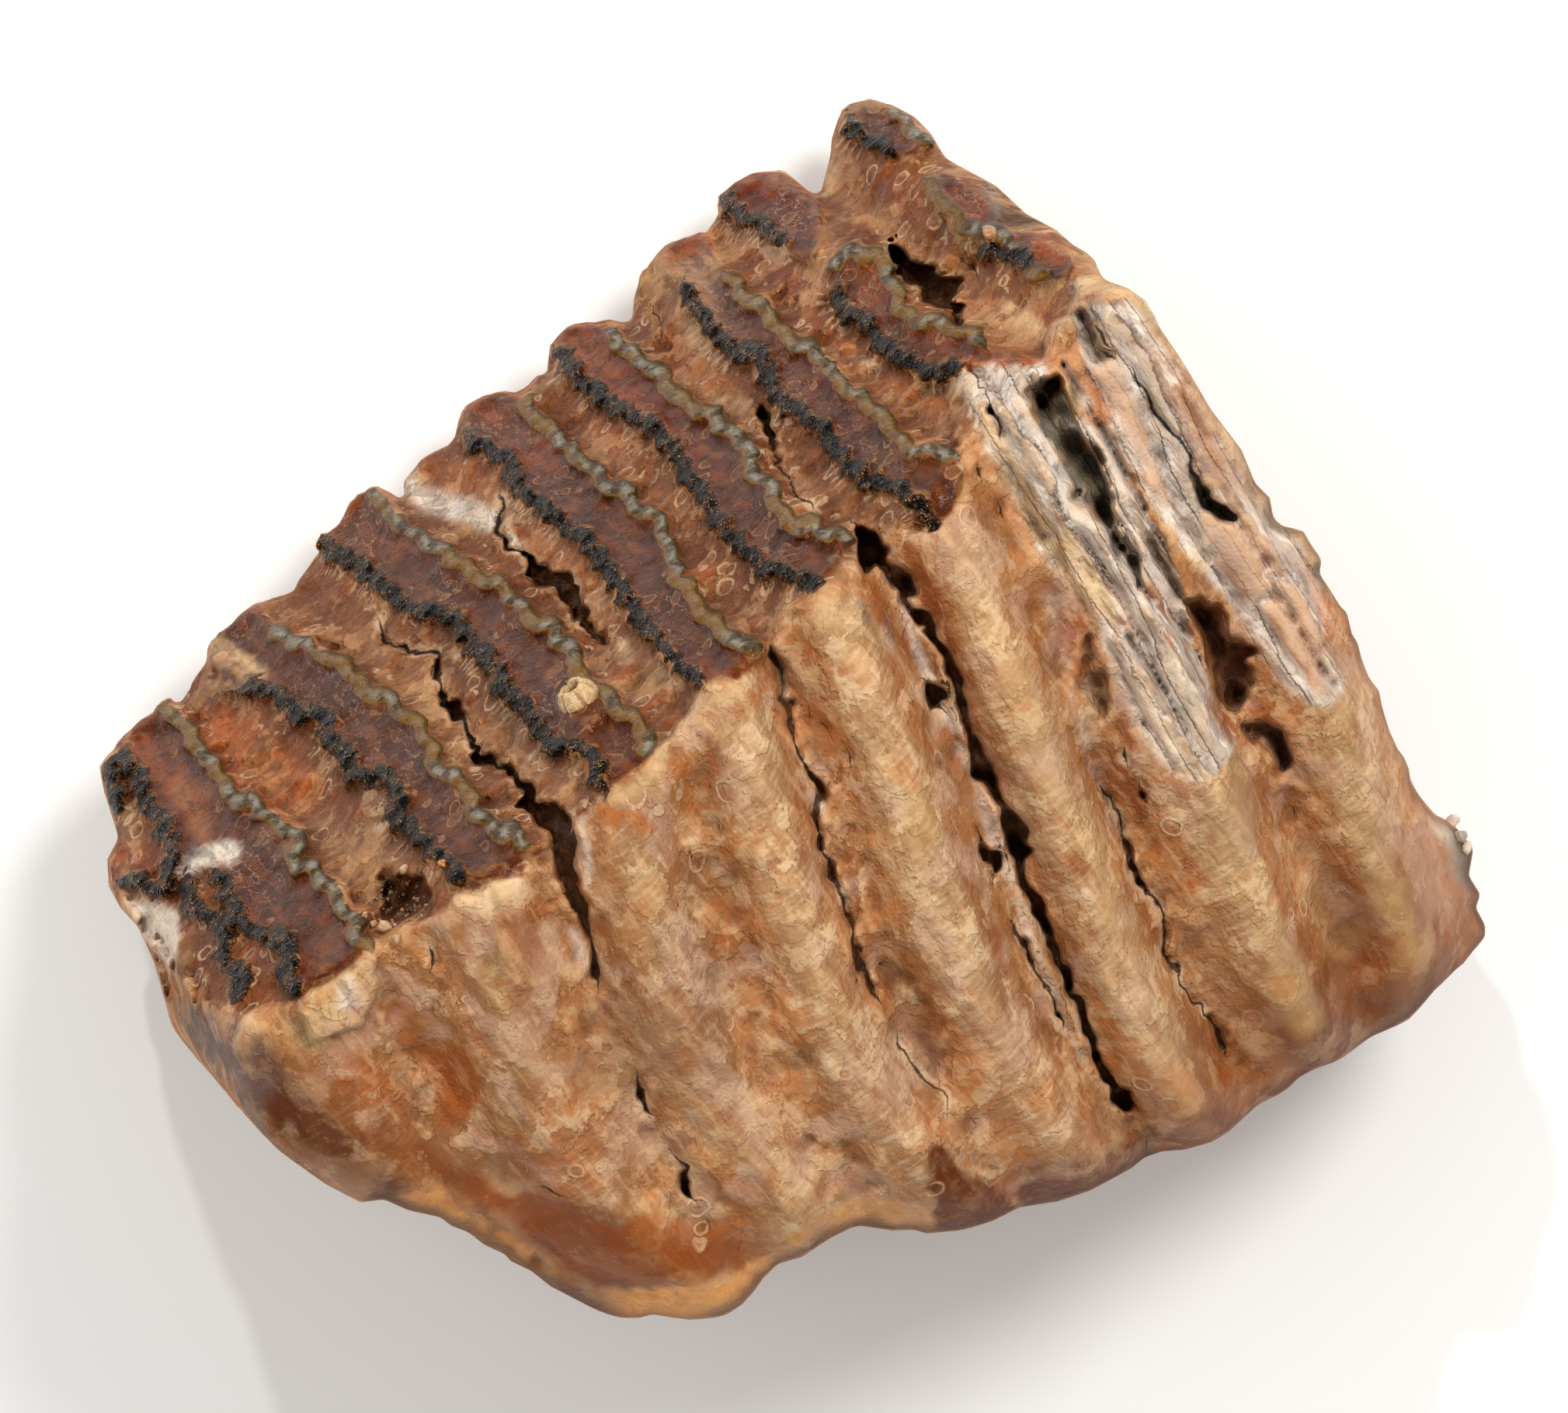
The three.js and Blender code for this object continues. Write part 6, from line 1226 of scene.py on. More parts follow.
lap = np.stack([spread(co[:, k]) for k in range(3)], 1) - co
curv = -(lap * nrm).sum(1)                # positive on ridges, in millimetres
fine_c = np.clip(spread(curv) / 0.12, -1, 1)
wide = curv
for _ in range(10):
    wide = 0.5 * wide + 0.5 * spread(wide)
wide_c = np.clip(wide / 0.05, -1, 1)

chew_v = at(ramp(CHEW, -4, 3).astype(np.float32)) * m
off = (1 - np.clip(m * 1.5, 0, 1)) * 6 + 3 * ramp(-at(CHEW.astype(np.float32)), 10, 34)
dk_v = at(np.minimum(DKD / PX, 6).astype(np.float32)) + off
gr_v = at(np.minimum(GRD / PX, 6).astype(np.float32)) + off
pl_v = at((PLATE / PX).astype(np.float32)) - off
cav_v = (np.clip(-f0 - 0.8, 0, 12) * m + np.clip(-f0 - 1.4, 0, 12) * (1 - m)) * (1 - under) + np.clip(-f0 - 1.4, 0, 1.8) * under
ck_v = at(np.minimum(CRD, 40).astype(np.float32)) / PX + (1 - m) * 4
cks_v, ckw_v = at(CKS), at(CKW)
near_line = np.minimum(DKD, GRD)
ringm = np.exp(-((near_line - 26) / 12.0) ** 2) * ramp(CHEW, -12, 6) * ramp(N9 + 0.4 * N4, -0.5, 0.3) * 0.95
ringm = ringm + 0.03 + 0.28 * (1 - ramp(CHEW, -4, 3)) * ramp(N9, 0.35, 0.7) * (1 - crest_map)
ringm = ringm * (1 - core) * (1 - 0.9 * rear) * (1 - 0.5 * ramp(PLATE, 22, 34)) * (1 - ramp(PITD, -0.2, 0.1))
ring_v = at(ringm.astype(np.float32)) * m + (1 - m) * (0.08 + 0.3 * ramp(v9, 0.4, 0.8))
broken_v = at(np.maximum(core, rear * (1 - 0.75 * peach)).astype(np.float32)) * m
clean_v = at(np.maximum(np.maximum(np.maximum(rear * peach, scar), 0.6 * polish), CALM).astype(np.float32)) * m
polish_v = np.maximum(ramp(-h, 66, 84), at(np.maximum(polish, 0.8 * CALM).astype(np.float32)) * m) * (1 - broken_v)
crest_v = (at(crest_map.astype(np.float32)) * m + qc * (1 - m)) * (1 - 0.9 * at(CALM) * m)
grain_v = at((ramp(CHEW, -4, 3) * (1 - ramp(PLATE, -6, 0))).astype(np.float32)) * m
lay_v = at(LAY.astype(np.float32))
sgn_v = at((np.clip(GRX, -20, 20) / PX).astype(np.float32))

me = tooth.data
for n_, v_ in {"dk": dk_v, "gr": gr_v, "pl": pl_v, "cav": cav_v, "ck": ck_v, "ring": ring_v, "broken": broken_v, "polish": polish_v, "crest": crest_v,
               "chew": chew_v, "grain": grain_v, "ridge": fine_c, "swell": wide_c, "lay": lay_v, "side": sgn_v, "clean": clean_v, "mid": v2, "big": v9, "wide": v4,
               "dks": at(DKS) / PX, "cks": cks_v, "ckw": ckw_v, "grs": at(GRS) / PX, "away": ramp(nrm[:, 2], 0.6, 0.2), "tint": tint}.items():
    attribute(me, n_, v_)

mat = bpy.data.materials.new("fossil_tooth")
g = Graph(mat)
obj_ = g.node('ShaderNodeTexCoord').outputs['Object']
X = g.vmath('SCALE', obj_, scale=1000.0)                     # millimetres
U_ = g.vmath('DOT_PRODUCT', X, tuple(L))
H_ = g.vmath('DOT_PRODUCT', X, tuple(E))
T_ = g.vmath('DOT_PRODUCT', X, tuple(T))
dk, gr, pl, cav, ck = (g.attr(n_) for n_ in ("dk", "gr", "pl", "cav", "ck"))
ring, broken, polish_, crest_, chew_, grain_, ridge, swell = (g.attr(n_) for n_ in ("ring", "broken", "polish", "crest", "chew", "grain", "ridge", "swell"))
lay, sgn, mid, big, wide_ = (g.attr(n_) for n_ in ("lay", "side", "mid", "big", "wide"))
dks, grs, clean, cks, ckw = (g.attr(n_) for n_ in ("dks", "grs", "clean", "cks", "ckw"))
tint_ = g.attr("tint", 'Color')


def inv(x):
    return g.math('SUBTRACT', 1.0, x)


def cen(x):
    return g.math('SUBTRACT', x, 0.5)


nA = g.noise(X, 0.60, 2.0, 0.62)
nB = g.noise(X, 2.4, 1.0, 0.50)
wv = g.noise(g.xyz(g.mul(U_, 0.34), g.mul(H_, 1.7), g.mul(T_, 0.34)), 1.0, 1.0, 0.50)
flow = g.noise(g.xyz(g.mul(U_, 0.60), g.mul(H_, 0.60), g.mul(T_, 0.17)), 1.0, 3.0, 0.55)
lg = g.noise(g.xyz(g.mul(U_, 0.80), g.mul(H_, 0.13), g.mul(T_, 0.80)), 1.0, 3.0, 0.60)
grit = g.voronoi(X, 3.1)
vn = g.node('ShaderNodeTexVoronoi', feature='F1')
g.put(vn.inputs['Vector'], g.vmath('ADD', X, g.vmath('SCALE', (1.0, -0.7, 0.8), scale=g.add(g.mul(cen(nA), 0.7), g.mul(mid, 0.20)))))
vn.inputs['Scale'].default_value = 0.31
vn.inputs['Randomness'].default_value = 0.85
vr, vcell = vn.outputs['Distance'], vn.outputs['Color']
side_ = inv(chew_)
soft_ = inv(g.math('MAXIMUM', g.mul(polish_, 0.6), g.math('MAXIMUM', g.mul(clean, 0.85), g.mul(crest_, 0.45))))

# cementum and bone: tint, varied
col = tint_
nAm = g.add(nA, g.mul(mid, 0.05))
col = g.mix(g.mul(g.ramp(nAm, 0.50, 0.72, 0, g.add(0.16, g.mul(grain_, 0.16))), soft_), col, rgb(218, 166, 112))
col = g.mix(g.mul(g.ramp(nAm, 0.48, 0.28, 0, g.add(0.20, g.mul(grain_, 0.20))), soft_), col, rgb(98, 54, 28))
# patches with sharp outlines, where a thin skin has come off
isle = g.add(wide_, g.mul(mid, 0.55), g.mul(cen(nA), 0.9), g.mul(cen(nB), 0.12), g.mul(cen(lg), g.mul(side_, 0.9)), g.mul(cen(flow), g.mul(chew_, 1.0)), g.mul(cen(nA), 0.08))
skin = g.mul(g.ramp(isle, 0.26, 0.32), inv(broken), inv(g.mul(clean, 0.7)))
bare = g.mul(g.ramp(isle, -0.22, -0.28), inv(broken), inv(g.mul(clean, 0.7)))
rimline = g.mul(g.ramp(g.math('ABSOLUTE', g.math('SUBTRACT', isle, 0.255)), 0.035, 0.01), inv(broken), inv(g.mul(clean, 0.7)))
isle2 = g.add(g.mul(big, 0.9), g.mul(mid, 0.5), g.mul(cen(nA), -0.9), g.mul(cen(nB), 0.12), g.mul(cen(lg), g.mul(side_, -0.9)), g.mul(cen(nA), 0.1))
stain = g.mul(g.ramp(isle2, 0.24, 0.30), inv(broken), inv(g.mul(clean, 0.5)))
col = g.mix(g.mul(skin, g.add(0.18, g.mul(crest_, 0.10))), col, rgb(228, 190, 140))
col = g.mix(g.mul(bare, g.add(0.24, g.mul(grain_, 0.12), g.mul(crest_, -0.08))), col, rgb(112, 64, 34))
col = g.mix(g.mul(stain, 0.24), col, g.mix(crest_, rgb(146, 84, 40), rgb(196, 140, 84)))
col = g.mix(g.mul(rimline, 0.22), col, rgb(104, 62, 34))
# soft spots of cream, orange and greyish pink on the side
calm = g.mul(side_, inv(broken), inv(g.mul(clean, 0.85)))
col = g.mix(g.mul(g.ramp(g.add(cen(nA), g.mul(mid, 0.45), g.mul(cen(nB), 0.14), g.mul(crest_, 0.05)), 0.13, 0.30, 0, g.add(0.24, g.mul(crest_, 0.18))), calm), col, rgb(240, 212, 170))
col = g.mix(g.mul(g.ramp(g.add(g.mul(cen(nA), -0.8), g.mul(wide_, 0.36), g.mul(cen(nB), 0.14), g.mul(crest_, -0.03)), 0.11, 0.28, 0, 0.42), calm), col, rgb(188, 108, 48))
col = g.mix(g.mul(g.ramp(g.add(g.mul(mid, 0.6), g.mul(wide_, -1.0), g.mul(cen(lg), 0.6)), 0.20, 0.50, 0, 0.45), calm), col, rgb(190, 152, 128))

# fine lines across the columns, streaks down them
whole = inv(broken)
striae = g.mul(calm,  g.add(0.12, g.mul(crest_, 0.88)), g.ramp(wide_, -0.9, 0.3, 0.3, 1.0))
col = g.mix(g.mul(g.ramp(wv, 0.50, 0.70, 0, 0.34), striae), col, rgb(232, 204, 166))
col = g.mix(g.mul(g.ramp(wv, 0.48, 0.32, 0, 0.28), striae), col, rgb(150, 100, 60))
col = g.mix(g.mul(g.ramp(flow, 0.55, 0.68, 0, 0.30), crest_, side_), col, rgb(222, 190, 146))
col = g.mix(g.mul(g.ramp(flow, 0.45, 0.33, 0, 0.40), crest_, side_), col, rgb(166, 112, 70))
col = g.mix(g.mul(side_, g.ramp(lg, 0.54, 0.64, 0, 0.40), inv(g.mul(clean, 0.7)), inv(g.mul(polish_, 0.5))), col, rgb(146, 82, 42))
col = g.mix(g.mul(side_, g.ramp(lg, 0.45, 0.36, 0, 0.30), inv(g.mul(clean, 0.7)), inv(g.mul(polish_, 0.5))), col, rgb(222, 184, 140))


# dentine: smooth, streaky, with pale thin veins
dent = g.mul(g.ramp(g.add(pl, g.mul(cen(nB), 0.3)), -0.15, 0.25), chew_)
dcol = g.mix(g.ramp(flow, 0.54, 0.36, 0, 0.50), tint_, rgb(74, 42, 27))
dcol = g.mix(g.ramp(flow, 0.53, 0.64, 0, 0.45), dcol, rgb(150, 90, 50))
dcol = g.mix(g.mul(stain, 0.35), dcol, rgb(74, 36, 22))
dcol = g.mix(g.ramp(nA, 0.46, 0.32, 0, 0.25), dcol, rgb(58, 28, 16))
vein = g.math('ABSOLUTE', g.math('SUBTRACT', g.add(flow, g.mul(cen(nA), 0.30)), 0.52))
veins = g.mul(g.ramp(vein, 0.016, 0.003), g.ramp(big, -0.25, 0.3, 0, 0.70), g.ramp(pl, 0.6, 1.4, 0.2, 1.0))
dcol = g.mix(veins, dcol, rgb(180, 146, 122))
col = g.mix(dent, col, dcol)
col = g.mix(g.mul(grain_, g.ramp(flow, 0.56, 0.72, 0, 0.18)), col, rgb(196, 142, 98))
col = g.mix(g.mul(grain_, g.ramp(flow, 0.46, 0.33, 0, 0.25)), col, rgb(88, 48, 26))

# scars of small animals: pale rims round darker middles, crowded along the enamel
pick = g.node('ShaderNodeSeparateXYZ')
g.put(pick.inputs[0], vcell)
show = g.ramp(g.math('SUBTRACT', ring, pick.outputs[0]), -0.03, 0.05)
rsize = g.add(0.27, g.mul(pick.outputs[1], 0.14))
rdist = g.math('ABSOLUTE', g.math('SUBTRACT', g.add(vr, g.mul(cen(nB), 0.05)), rsize))
rim = g.mul(g.ramp(rdist, 0.085, 0.03), show)
disk = g.mul(g.ramp(vr, g.add(rsize, 0.02), g.math('SUBTRACT', rsize, 0.08)), show)
col = g.mix(g.mul(disk, 0.35), col, g.mix(pick.outputs[2], rgb(112, 66, 46), rgb(180, 134, 100)))
col = g.mix(g.mul(g.ramp(vr, 0.13, 0.05), show, 0.6), col, rgb(80, 44, 28))
col = g.mix(g.mul(rim, g.add(0.28, g.mul(nB, 0.60))), col, g.mix(dent, rgb(216, 180, 144), rgb(176, 136, 106)))

# enamel: dark and lumpy on one side of a plate, a grey ribbon on the other
lumps = g.math('SINE', g.add(g.mul(dks, 6.5), g.mul(nA, 9.0)))
dkw = g.add(dk, g.mul(lumps, 0.10), g.mul(cen(nB), 0.35), g.mul(cen(nA), 0.9), g.mul(mid, 0.16))
grw = g.add(gr, g.mul(cen(nB), 0.22), g.mul(cen(nA), 0.35), g.mul(mid, 0.06))
m_dk = g.ramp(dkw, 1.14, 1.00)
m_gr = g.ramp(grw, g.add(1.02, g.mul(wide_, 0.14)), g.add(0.94, g.mul(wide_, 0.14)))
enamel = g.math('MAXIMUM', m_dk, m_gr)
dcl = g.mix(g.ramp(nB, 0.44, 0.62), rgb(6, 5, 4), rgb(50, 34, 20))
# pale grey on the lumps of the dark enamel: a painted highlight
dcl = g.mix(g.ramp(g.add(lumps, g.mul(cen(nB), 5.0)), 0.9, 1.5, 0, 0.35), dcl, rgb(88, 78, 62))
dcl = g.mix(g.ramp(nA, 0.55, 0.62, 0, 0.75), dcl, rgb(100, 62, 28))
dcl = g.mix(g.ramp(g.add(dkw, g.mul(nB, 0.3)), 0.78, 1.12, 0, 0.90), dcl, rgb(92, 56, 26))
dcl = g.mix(g.mul(g.ramp(grit, 0.34, 0.14), g.ramp(nA, 0.48, 0.56, 0, 0.85)), dcl, rgb(186, 158, 106))
dcl = g.mix(g.mul(g.ramp(grit, 0.16, 0.06), g.ramp(nB, 0.50, 0.60)), dcl, rgb(222, 216, 200))
beads = g.math('SINE', g.add(g.mul(grs, 3.4), g.mul(nA, 7.0), g.mul(mid, 1.5)))
gcl = g.mix(g.ramp(beads, -0.9, 0.4), rgb(84, 66, 42), rgb(126, 116, 98))
# paler along the middle of the grey ribbon, on its beads: a painted highlight
gcl = g.mix(g.mul(g.ramp(grw, 0.50, 0.08, 0, 0.6), g.ramp(beads, -0.2, 0.9)), gcl, rgb(164, 158, 142))
gcl = g.mix(g.ramp(g.add(big, g.mul(wide_, 0.6)), -0.1, 0.3, 0, 0.80), gcl, rgb(134, 98, 42))
gcl = g.mix(g.mul(g.ramp(sgn, 0.30, 0.75), 0.70), gcl, rgb(138, 98, 46))
# dark olive-brown along the grey ribbon's edge on its negative side: painted shade
gcl = g.mix(g.mul(g.ramp(sgn, -0.40, -0.80), 0.60), gcl, rgb(70, 54, 30))
gcl = g.mix(g.ramp(nB, 0.58, 0.74, 0, 0.55), gcl, rgb(64, 58, 42))
halo = g.mul(g.ramp(dkw, 1.60, 1.05), 0.60)
col = g.mix(halo, col, g.mix(g.ramp(nB, 0.42, 0.62), rgb(74, 46, 27), rgb(146, 106, 62)))
col = g.mix(g.mul(g.ramp(grw, 1.30, 0.95), 0.45), col, rgb(104, 68, 34))
# little folds beside the dark line
fr = g.mul(g.ramp(dk, 3.2, 2.0), g.ramp(dk, 1.05, 1.3), g.ramp(pl, 0.1, -0.3), chew_)
comb = g.ramp(g.math('SINE', g.add(g.mul(dks, 10.0), g.mul(nA, 4.0))), 0.0, 0.9)
col = g.mix(g.mul(fr, comb, g.ramp(g.add(wide_, g.mul(big, 0.5)), 0.0, 0.4, 0, 0.8)), col, rgb(204, 170, 138))
col = g.mix(m_gr, col, gcl)
col = g.mix(m_dk, col, dcl)

# the broken plates: thin sheets of lime on edge, dark gaps between them
layj = g.add(lay, g.mul(cen(lg), 0.55), g.mul(cen(nB), 0.18))
lid = g.math('FLOOR', layj)
lfr = g.math('SUBTRACT', layj, lid)
wn = g.node('ShaderNodeTexWhiteNoise', noise_dimensions='1D')
g.put(wn.inputs['W'], lid)
sheet = wn.outputs['Value']
bcol = g.mix(g.ramp(sheet, 0.30, 0.50, 0, 0.60), col, rgb(234, 220, 206))
bcol = g.mix(g.ramp(sheet, 0.76, 0.88, 0, 0.45), bcol, rgb(136, 122, 108))
bcol = g.mix(g.ramp(sheet, 0.18, 0.05, 0, 0.50), bcol, rgb(212, 160, 112))
bcol = g.mix(g.ramp(lg, 0.54, 0.66, 0, 0.50), bcol, rgb(132, 112, 92))
bcol = g.mix(g.ramp(lg, 0.47, 0.34, 0, 0.75), bcol, rgb(240, 229, 216))
bcol = g.mix(g.mul(g.ramp(lfr, 0.075, 0.015), g.ramp(sheet, 0.35, 0.55, 0.25, 0.85)), bcol, rgb(56, 46, 36))
bcol = g.mix(g.mul(g.ramp(nA, 0.40, 0.28), 0.5), bcol, rgb(84, 78, 62))
col = g.mix(g.mul(broken, 0.9), col, bcol)

# painted highlight on sharp ridges, painted shade in creases and in broad hollows
col = g.mix(g.mul(g.ramp(ridge, 0.15, 0.9), inv(enamel), g.add(0.36, g.mul(chew_, -0.10))), col, rgb(222, 178, 130))
col = g.mix(g.mul(g.ramp(ridge, -0.15, -0.9), g.add(0.34, g.mul(chew_, 0.15))), col, rgb(80, 44, 24))
col = g.mix(g.mul(g.ramp(swell, -0.25, -1.0), 0.20), col, rgb(104, 62, 36))
# cracks have pale lips in places; deeper under the smooth body, in cracks, hollows and deep grooves, painted shade
# turns the colour brown, then near-black
lip = g.mul(g.ramp(ck, 0.75, 0.15), g.ramp(ck, -0.25, 0.05))
col = g.mix(g.mul(lip, g.ramp(g.add(big, mid), -0.2, 0.5, 0, 0.65)), col, rgb(222, 188, 152))
col = g.mix(g.ramp(g.add(cav, g.mul(cen(nA), 2.0)), 1.2, 3.6, 0, 0.70), col, g.mix(broken, rgb(88, 50, 28), rgb(86, 80, 60)))
col = g.mix(g.ramp(cav, 4.0, 8.5, 0, 0.88), col, rgb(24, 16, 11))
# a painted shade line down the middle of narrow cracks
slit = g.math('SUBTRACT', g.math('ABSOLUTE', g.add(cks, g.mul(cen(nA), 0.35), g.mul(cen(nB), 0.15))), g.add(ckw, -0.04))
slit = g.mul(g.ramp(slit, 0.07, -0.10), g.ramp(ck, 0.9, 0.5), g.ramp(cav, 4.5, 1.5))
col = g.mix(g.mul(slit, 0.88), col, rgb(36, 22, 14))
# painted glints: small near-white specks, which are also made less rough
painted_glint = g.mul(g.ramp(grit, 0.15, 0.07), g.ramp(g.add(nA, g.mul(mid, 0.1)), 0.52, 0.62))
col = g.mix(g.mul(painted_glint, 0.8), col, rgb(240, 228, 206))

# deeper and warmer where it is worn smooth
gam = g.node('ShaderNodeGamma')
g.put(gam.inputs[0], col)
g.put(gam.inputs[1], g.add(1.02, g.mul(chew_, 0.10), g.mul(dent, 0.12), g.mul(polish_, 0.16)))
col = gam.outputs[0]

# gloss
ro = g.add(0.37, g.mul(cen(nA), -0.30), g.mul(cen(nB), 0.20), g.mul(broken, 0.18), g.mul(chew_, -0.08), g.mul(dent, -0.10), g.mul(enamel, -0.16), g.mul(painted_glint, -0.2), g.mul(polish_, -0.06))
ro = g.add(g.math('MAXIMUM', ro, 0.13), g.mul(g.attr("away"), 0.28))

# small relief
hgt = g.mul(cen(nA), g.add(0.30, g.mul(grain_, 0.25), g.mul(dent, -0.20), g.mul(polish_, -0.22), g.mul(crest_, -0.12)))
hgt = g.add(hgt, g.mul(skin, 0.09), g.mul(bare, -0.08), g.mul(stain, -0.05))
hgt = g.add(hgt, g.mul(cen(nB), g.add(0.05, g.mul(grain_, 0.06), g.mul(dent, -0.02), g.mul(m_dk, 0.22), g.mul(polish_, -0.03))))
hgt = g.add(hgt, g.mul(striae, cen(wv), 0.07), g.mul(broken, cen(lg), 0.6), g.mul(broken, g.ramp(lfr, 0.12, 0.0), -0.25))
hgt = g.add(hgt, g.mul(rim, 0.12), g.mul(disk, -0.05), g.mul(m_gr, 0.06), g.mul(m_dk, 0.08))
bump = g.node('ShaderNodeBump')
bump.inputs['Strength'].default_value = 1.0
bump.inputs['Distance'].default_value = 0.001
g.put(bump.inputs['Height'], hgt)

bs = g.node('ShaderNodeBsdfPrincipled')
g.put(bs.inputs['Base Color'], col)
g.put(bs.inputs['Roughness'], ro)
g.put(bs.inputs['Normal'], bump.outputs[0])
bs.inputs['Specular IOR Level'].default_value = 0.08
out = g.node('ShaderNodeOutputMaterial')
g.put(out.inputs[0], bs.outputs[0])
tooth.data.materials.clear()
tooth.data.materials.append(mat)
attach(tooth, "root")
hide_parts("molar")

# ------------------------------------------------------------------ the barnacle and the caught grains
from mathutils.bvhtree import BVHTree

co = coords(tooth.data)
TREE = BVHTree.FromPolygons([tuple(v) for v in co], [tuple(int(i) for i in t_) for t_ in tri], all_triangles=True)
EYE_AT = Vector((SHIFT[0], SHIFT[1], SHIFT[2] + EYE))


def drop(px, py):
    """The point of the surface that is seen at a pixel, and its normal."""
    d = Vector(((px - CX) / PX / EYE, (CY - py) / PX / EYE, -1.0)).normalized()
    p_, n_, _, _ = TREE.ray_cast(EYE_AT, d)
    return (np.array(p_), np.array(n_)) if p_ is not None else (None, None)


def turned_shell():
    """A cone of six fused plates with a torn lip, round an open mouth."""
    cad = bpy.data.objects["barnacle_shell"]
    mw = np.array(cad.matrix_world)
    v = np.empty(len(cad.data.vertices) * 3, np.float32)
    cad.data.vertices.foreach_get("co", v)
    v = (v.reshape(-1, 3) @ mw[:3, :3].T + mw[:3, 3]) * 1000
    hh = v @ E
    foot = v[hh < hh.min() + 0.05].mean(0)
    n = 144
    th = 2 * np.pi * np.arange(n) / n
    r = np.random.RandomState(3)
    plates = 0.5 + 0.5 * np.cos(6 * th + 0.7 * np.sin(2 * th))
    seam_ = ramp(plates, 0.14, 0.0)
    ribs = 0.5 + 0.5 * np.cos(22 * th + 2.0 * np.sin(3 * th + 1))
    lipz = 2.20 + 0.10 * np.sin(2 * th + 0.6) + 0.06 * plates + 0.05 * np.sin(7 * th)
    rows = []
    prof = [(-0.45, 2.10), (-0.2, 2.14), (0.0, 2.18), (0.25, 2.22), (0.5, 2.23), (0.8, 2.20), (1.1, 2.13), (1.4, 2.00), (1.65, 1.85), (1.9, 1.66), (0, 1.42)]
    for i, (z, rad) in enumerate(prof):
        last = i == len(prof) - 1
        zz = lipz if last else z + 0 * th
        w = 1 - min(max(z, 0) / 2.4, 1) if not last else 0.2
        rr = rad * (1 + 0.035 * np.sin(2 * th + 1.1) + 0.02 * np.sin(3 * th)) - 0.16 * seam_ * (0.5 + w) + 0.05 * (ribs - 0.5) * (0.4 + w) + 0.012 * r.uniform(-1, 1, n)
        rows.append((zz, rr))
    for dz, rad in [(0.03, 1.22), (-0.06, 1.06), (-0.24, 0.92), (-0.6, 0.86), (-1.0, 0.90), (-1.35, 0.92), (-1.45, 0.78), (-1.44, 0.45)]:
        rows.append((lipz + dz, rad + 0.03 * np.sin(5 * th + rad * 9) + 0.012 * r.uniform(-1, 1, n)))
    A = L * 1.0
    B = np.cross(E, A)
    pts_ = []
    for zz, rr in rows:
        oval = 1.0 - 0.14 * (rr < 1.25)
        pts_.append(foot + np.outer(rr * np.cos(th), A) + np.outer(rr * np.sin(th) * oval, B) + np.outer(zz, E))
    k = len(rows)
    pts_ = np.concatenate(pts_ + [[foot + E * (lipz.mean() - 1.43)], [foot - E * 0.45]])
    i = np.arange(n)
    j = (i + 1) % n
    faces = []
    for a in range(k - 1):
        q0, q1, q2, q3 = a * n + i, a * n + j, (a + 1) * n + j, (a + 1) * n + i
        faces += [np.stack([q0, q1, q2], 1), np.stack([q0, q2, q3], 1)]
    faces.append(np.stack([(k - 1) * n + i, (k - 1) * n + j, 0 * i + k * n], 1))
    faces.append(np.stack([j, i, 0 * i + k * n + 1], 1))
    faces = np.concatenate(faces)
    c = pts_ - pts_.mean(0)
    a_, b_, c_ = (c[faces[:, i_]] for i_ in range(3))
    if np.einsum('ij,ij->i', a_, np.cross(b_, c_)).sum() < 0:
        faces = faces[:, ::-1]
    high = np.concatenate([(rows[a][0] + 0 * th) for a in range(k)] + [[0.9], [-0.45]])
    inner = np.concatenate([np.full(n, float(a > 10) * min(1, (a - 10) / 4)) for a in range(k)] + [[1.0], [0.0]])
    seam = np.concatenate([np.tile(seam_, k), [0.5], [0.5]])
    return pts_, faces, high, inner, seam


pts_, faces_, high_, inner_, seam_ = turned_shell()
shell = new_object("barnacle", pts_, faces_)
for n_, v_ in {"high": high_, "inner": inner_, "seam": seam_}.items():
    attribute(shell.data, n_, v_)
sm = bpy.data.materials.new("shell")
g = Graph(sm)
X = g.vmath('SCALE', g.node('ShaderNodeTexCoord').outputs['Object'], scale=1000.0)
high, inner, seam = g.attr("high"), g.attr("inner"), g.attr("seam")
n1_ = g.noise(X, 1.6, 4.0, 0.6)
n2_ = g.noise(X, 6.0, 3.0, 0.6)
wave = g.math('SINE', g.add(g.mul(high, 26.0), g.mul(n1_, 14.0)))
col = g.mix(g.ramp(n1_, 0.38, 0.62), rgb(206, 160, 106), rgb(230, 198, 150))
col = g.mix(g.ramp(n2_, 0.54, 0.74, 0, 0.5), col, rgb(244, 228, 200))
col = g.mix(g.ramp(n2_, 0.46, 0.30, 0, 0.5), col, rgb(150, 112, 70))
col = g.mix(g.mul(g.ramp(seam, 0.3, 1.0), 0.6), col, rgb(150, 106, 64))
col = g.mix(g.ramp(high, 0.45, -0.2, 0, 0.7), col, rgb(134, 96, 62))
col = g.mix(g.mul(inner, 0.9), col, g.mix(g.ramp(n1_, 0.4, 0.6), rgb(134, 96, 56), rgb(182, 142, 92)))
hg = g.add(g.mul(g.math('SUBTRACT', n2_, 0.5), 0.18), g.mul(wave, 0.018))
bump = g.node('ShaderNodeBump')
bump.inputs['Distance'].default_value = 0.001
g.put(bump.inputs['Height'], hg)
bs = g.node('ShaderNodeBsdfPrincipled')
g.put(bs.inputs['Base Color'], col)
g.put(bs.inputs['Roughness'], g.add(0.16, g.mul(n1_, 0.25), g.mul(inner, 0.25)))
g.put(bs.inputs['Normal'], bump.outputs[0])
bs.inputs['Specular IOR Level'].default_value = 0.5
g.put(g.node('ShaderNodeOutputMaterial').inputs[0], bs.outputs[0])
shell.data.materials.append(sm)
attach(shell, "root")
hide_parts("barnacle_shell")

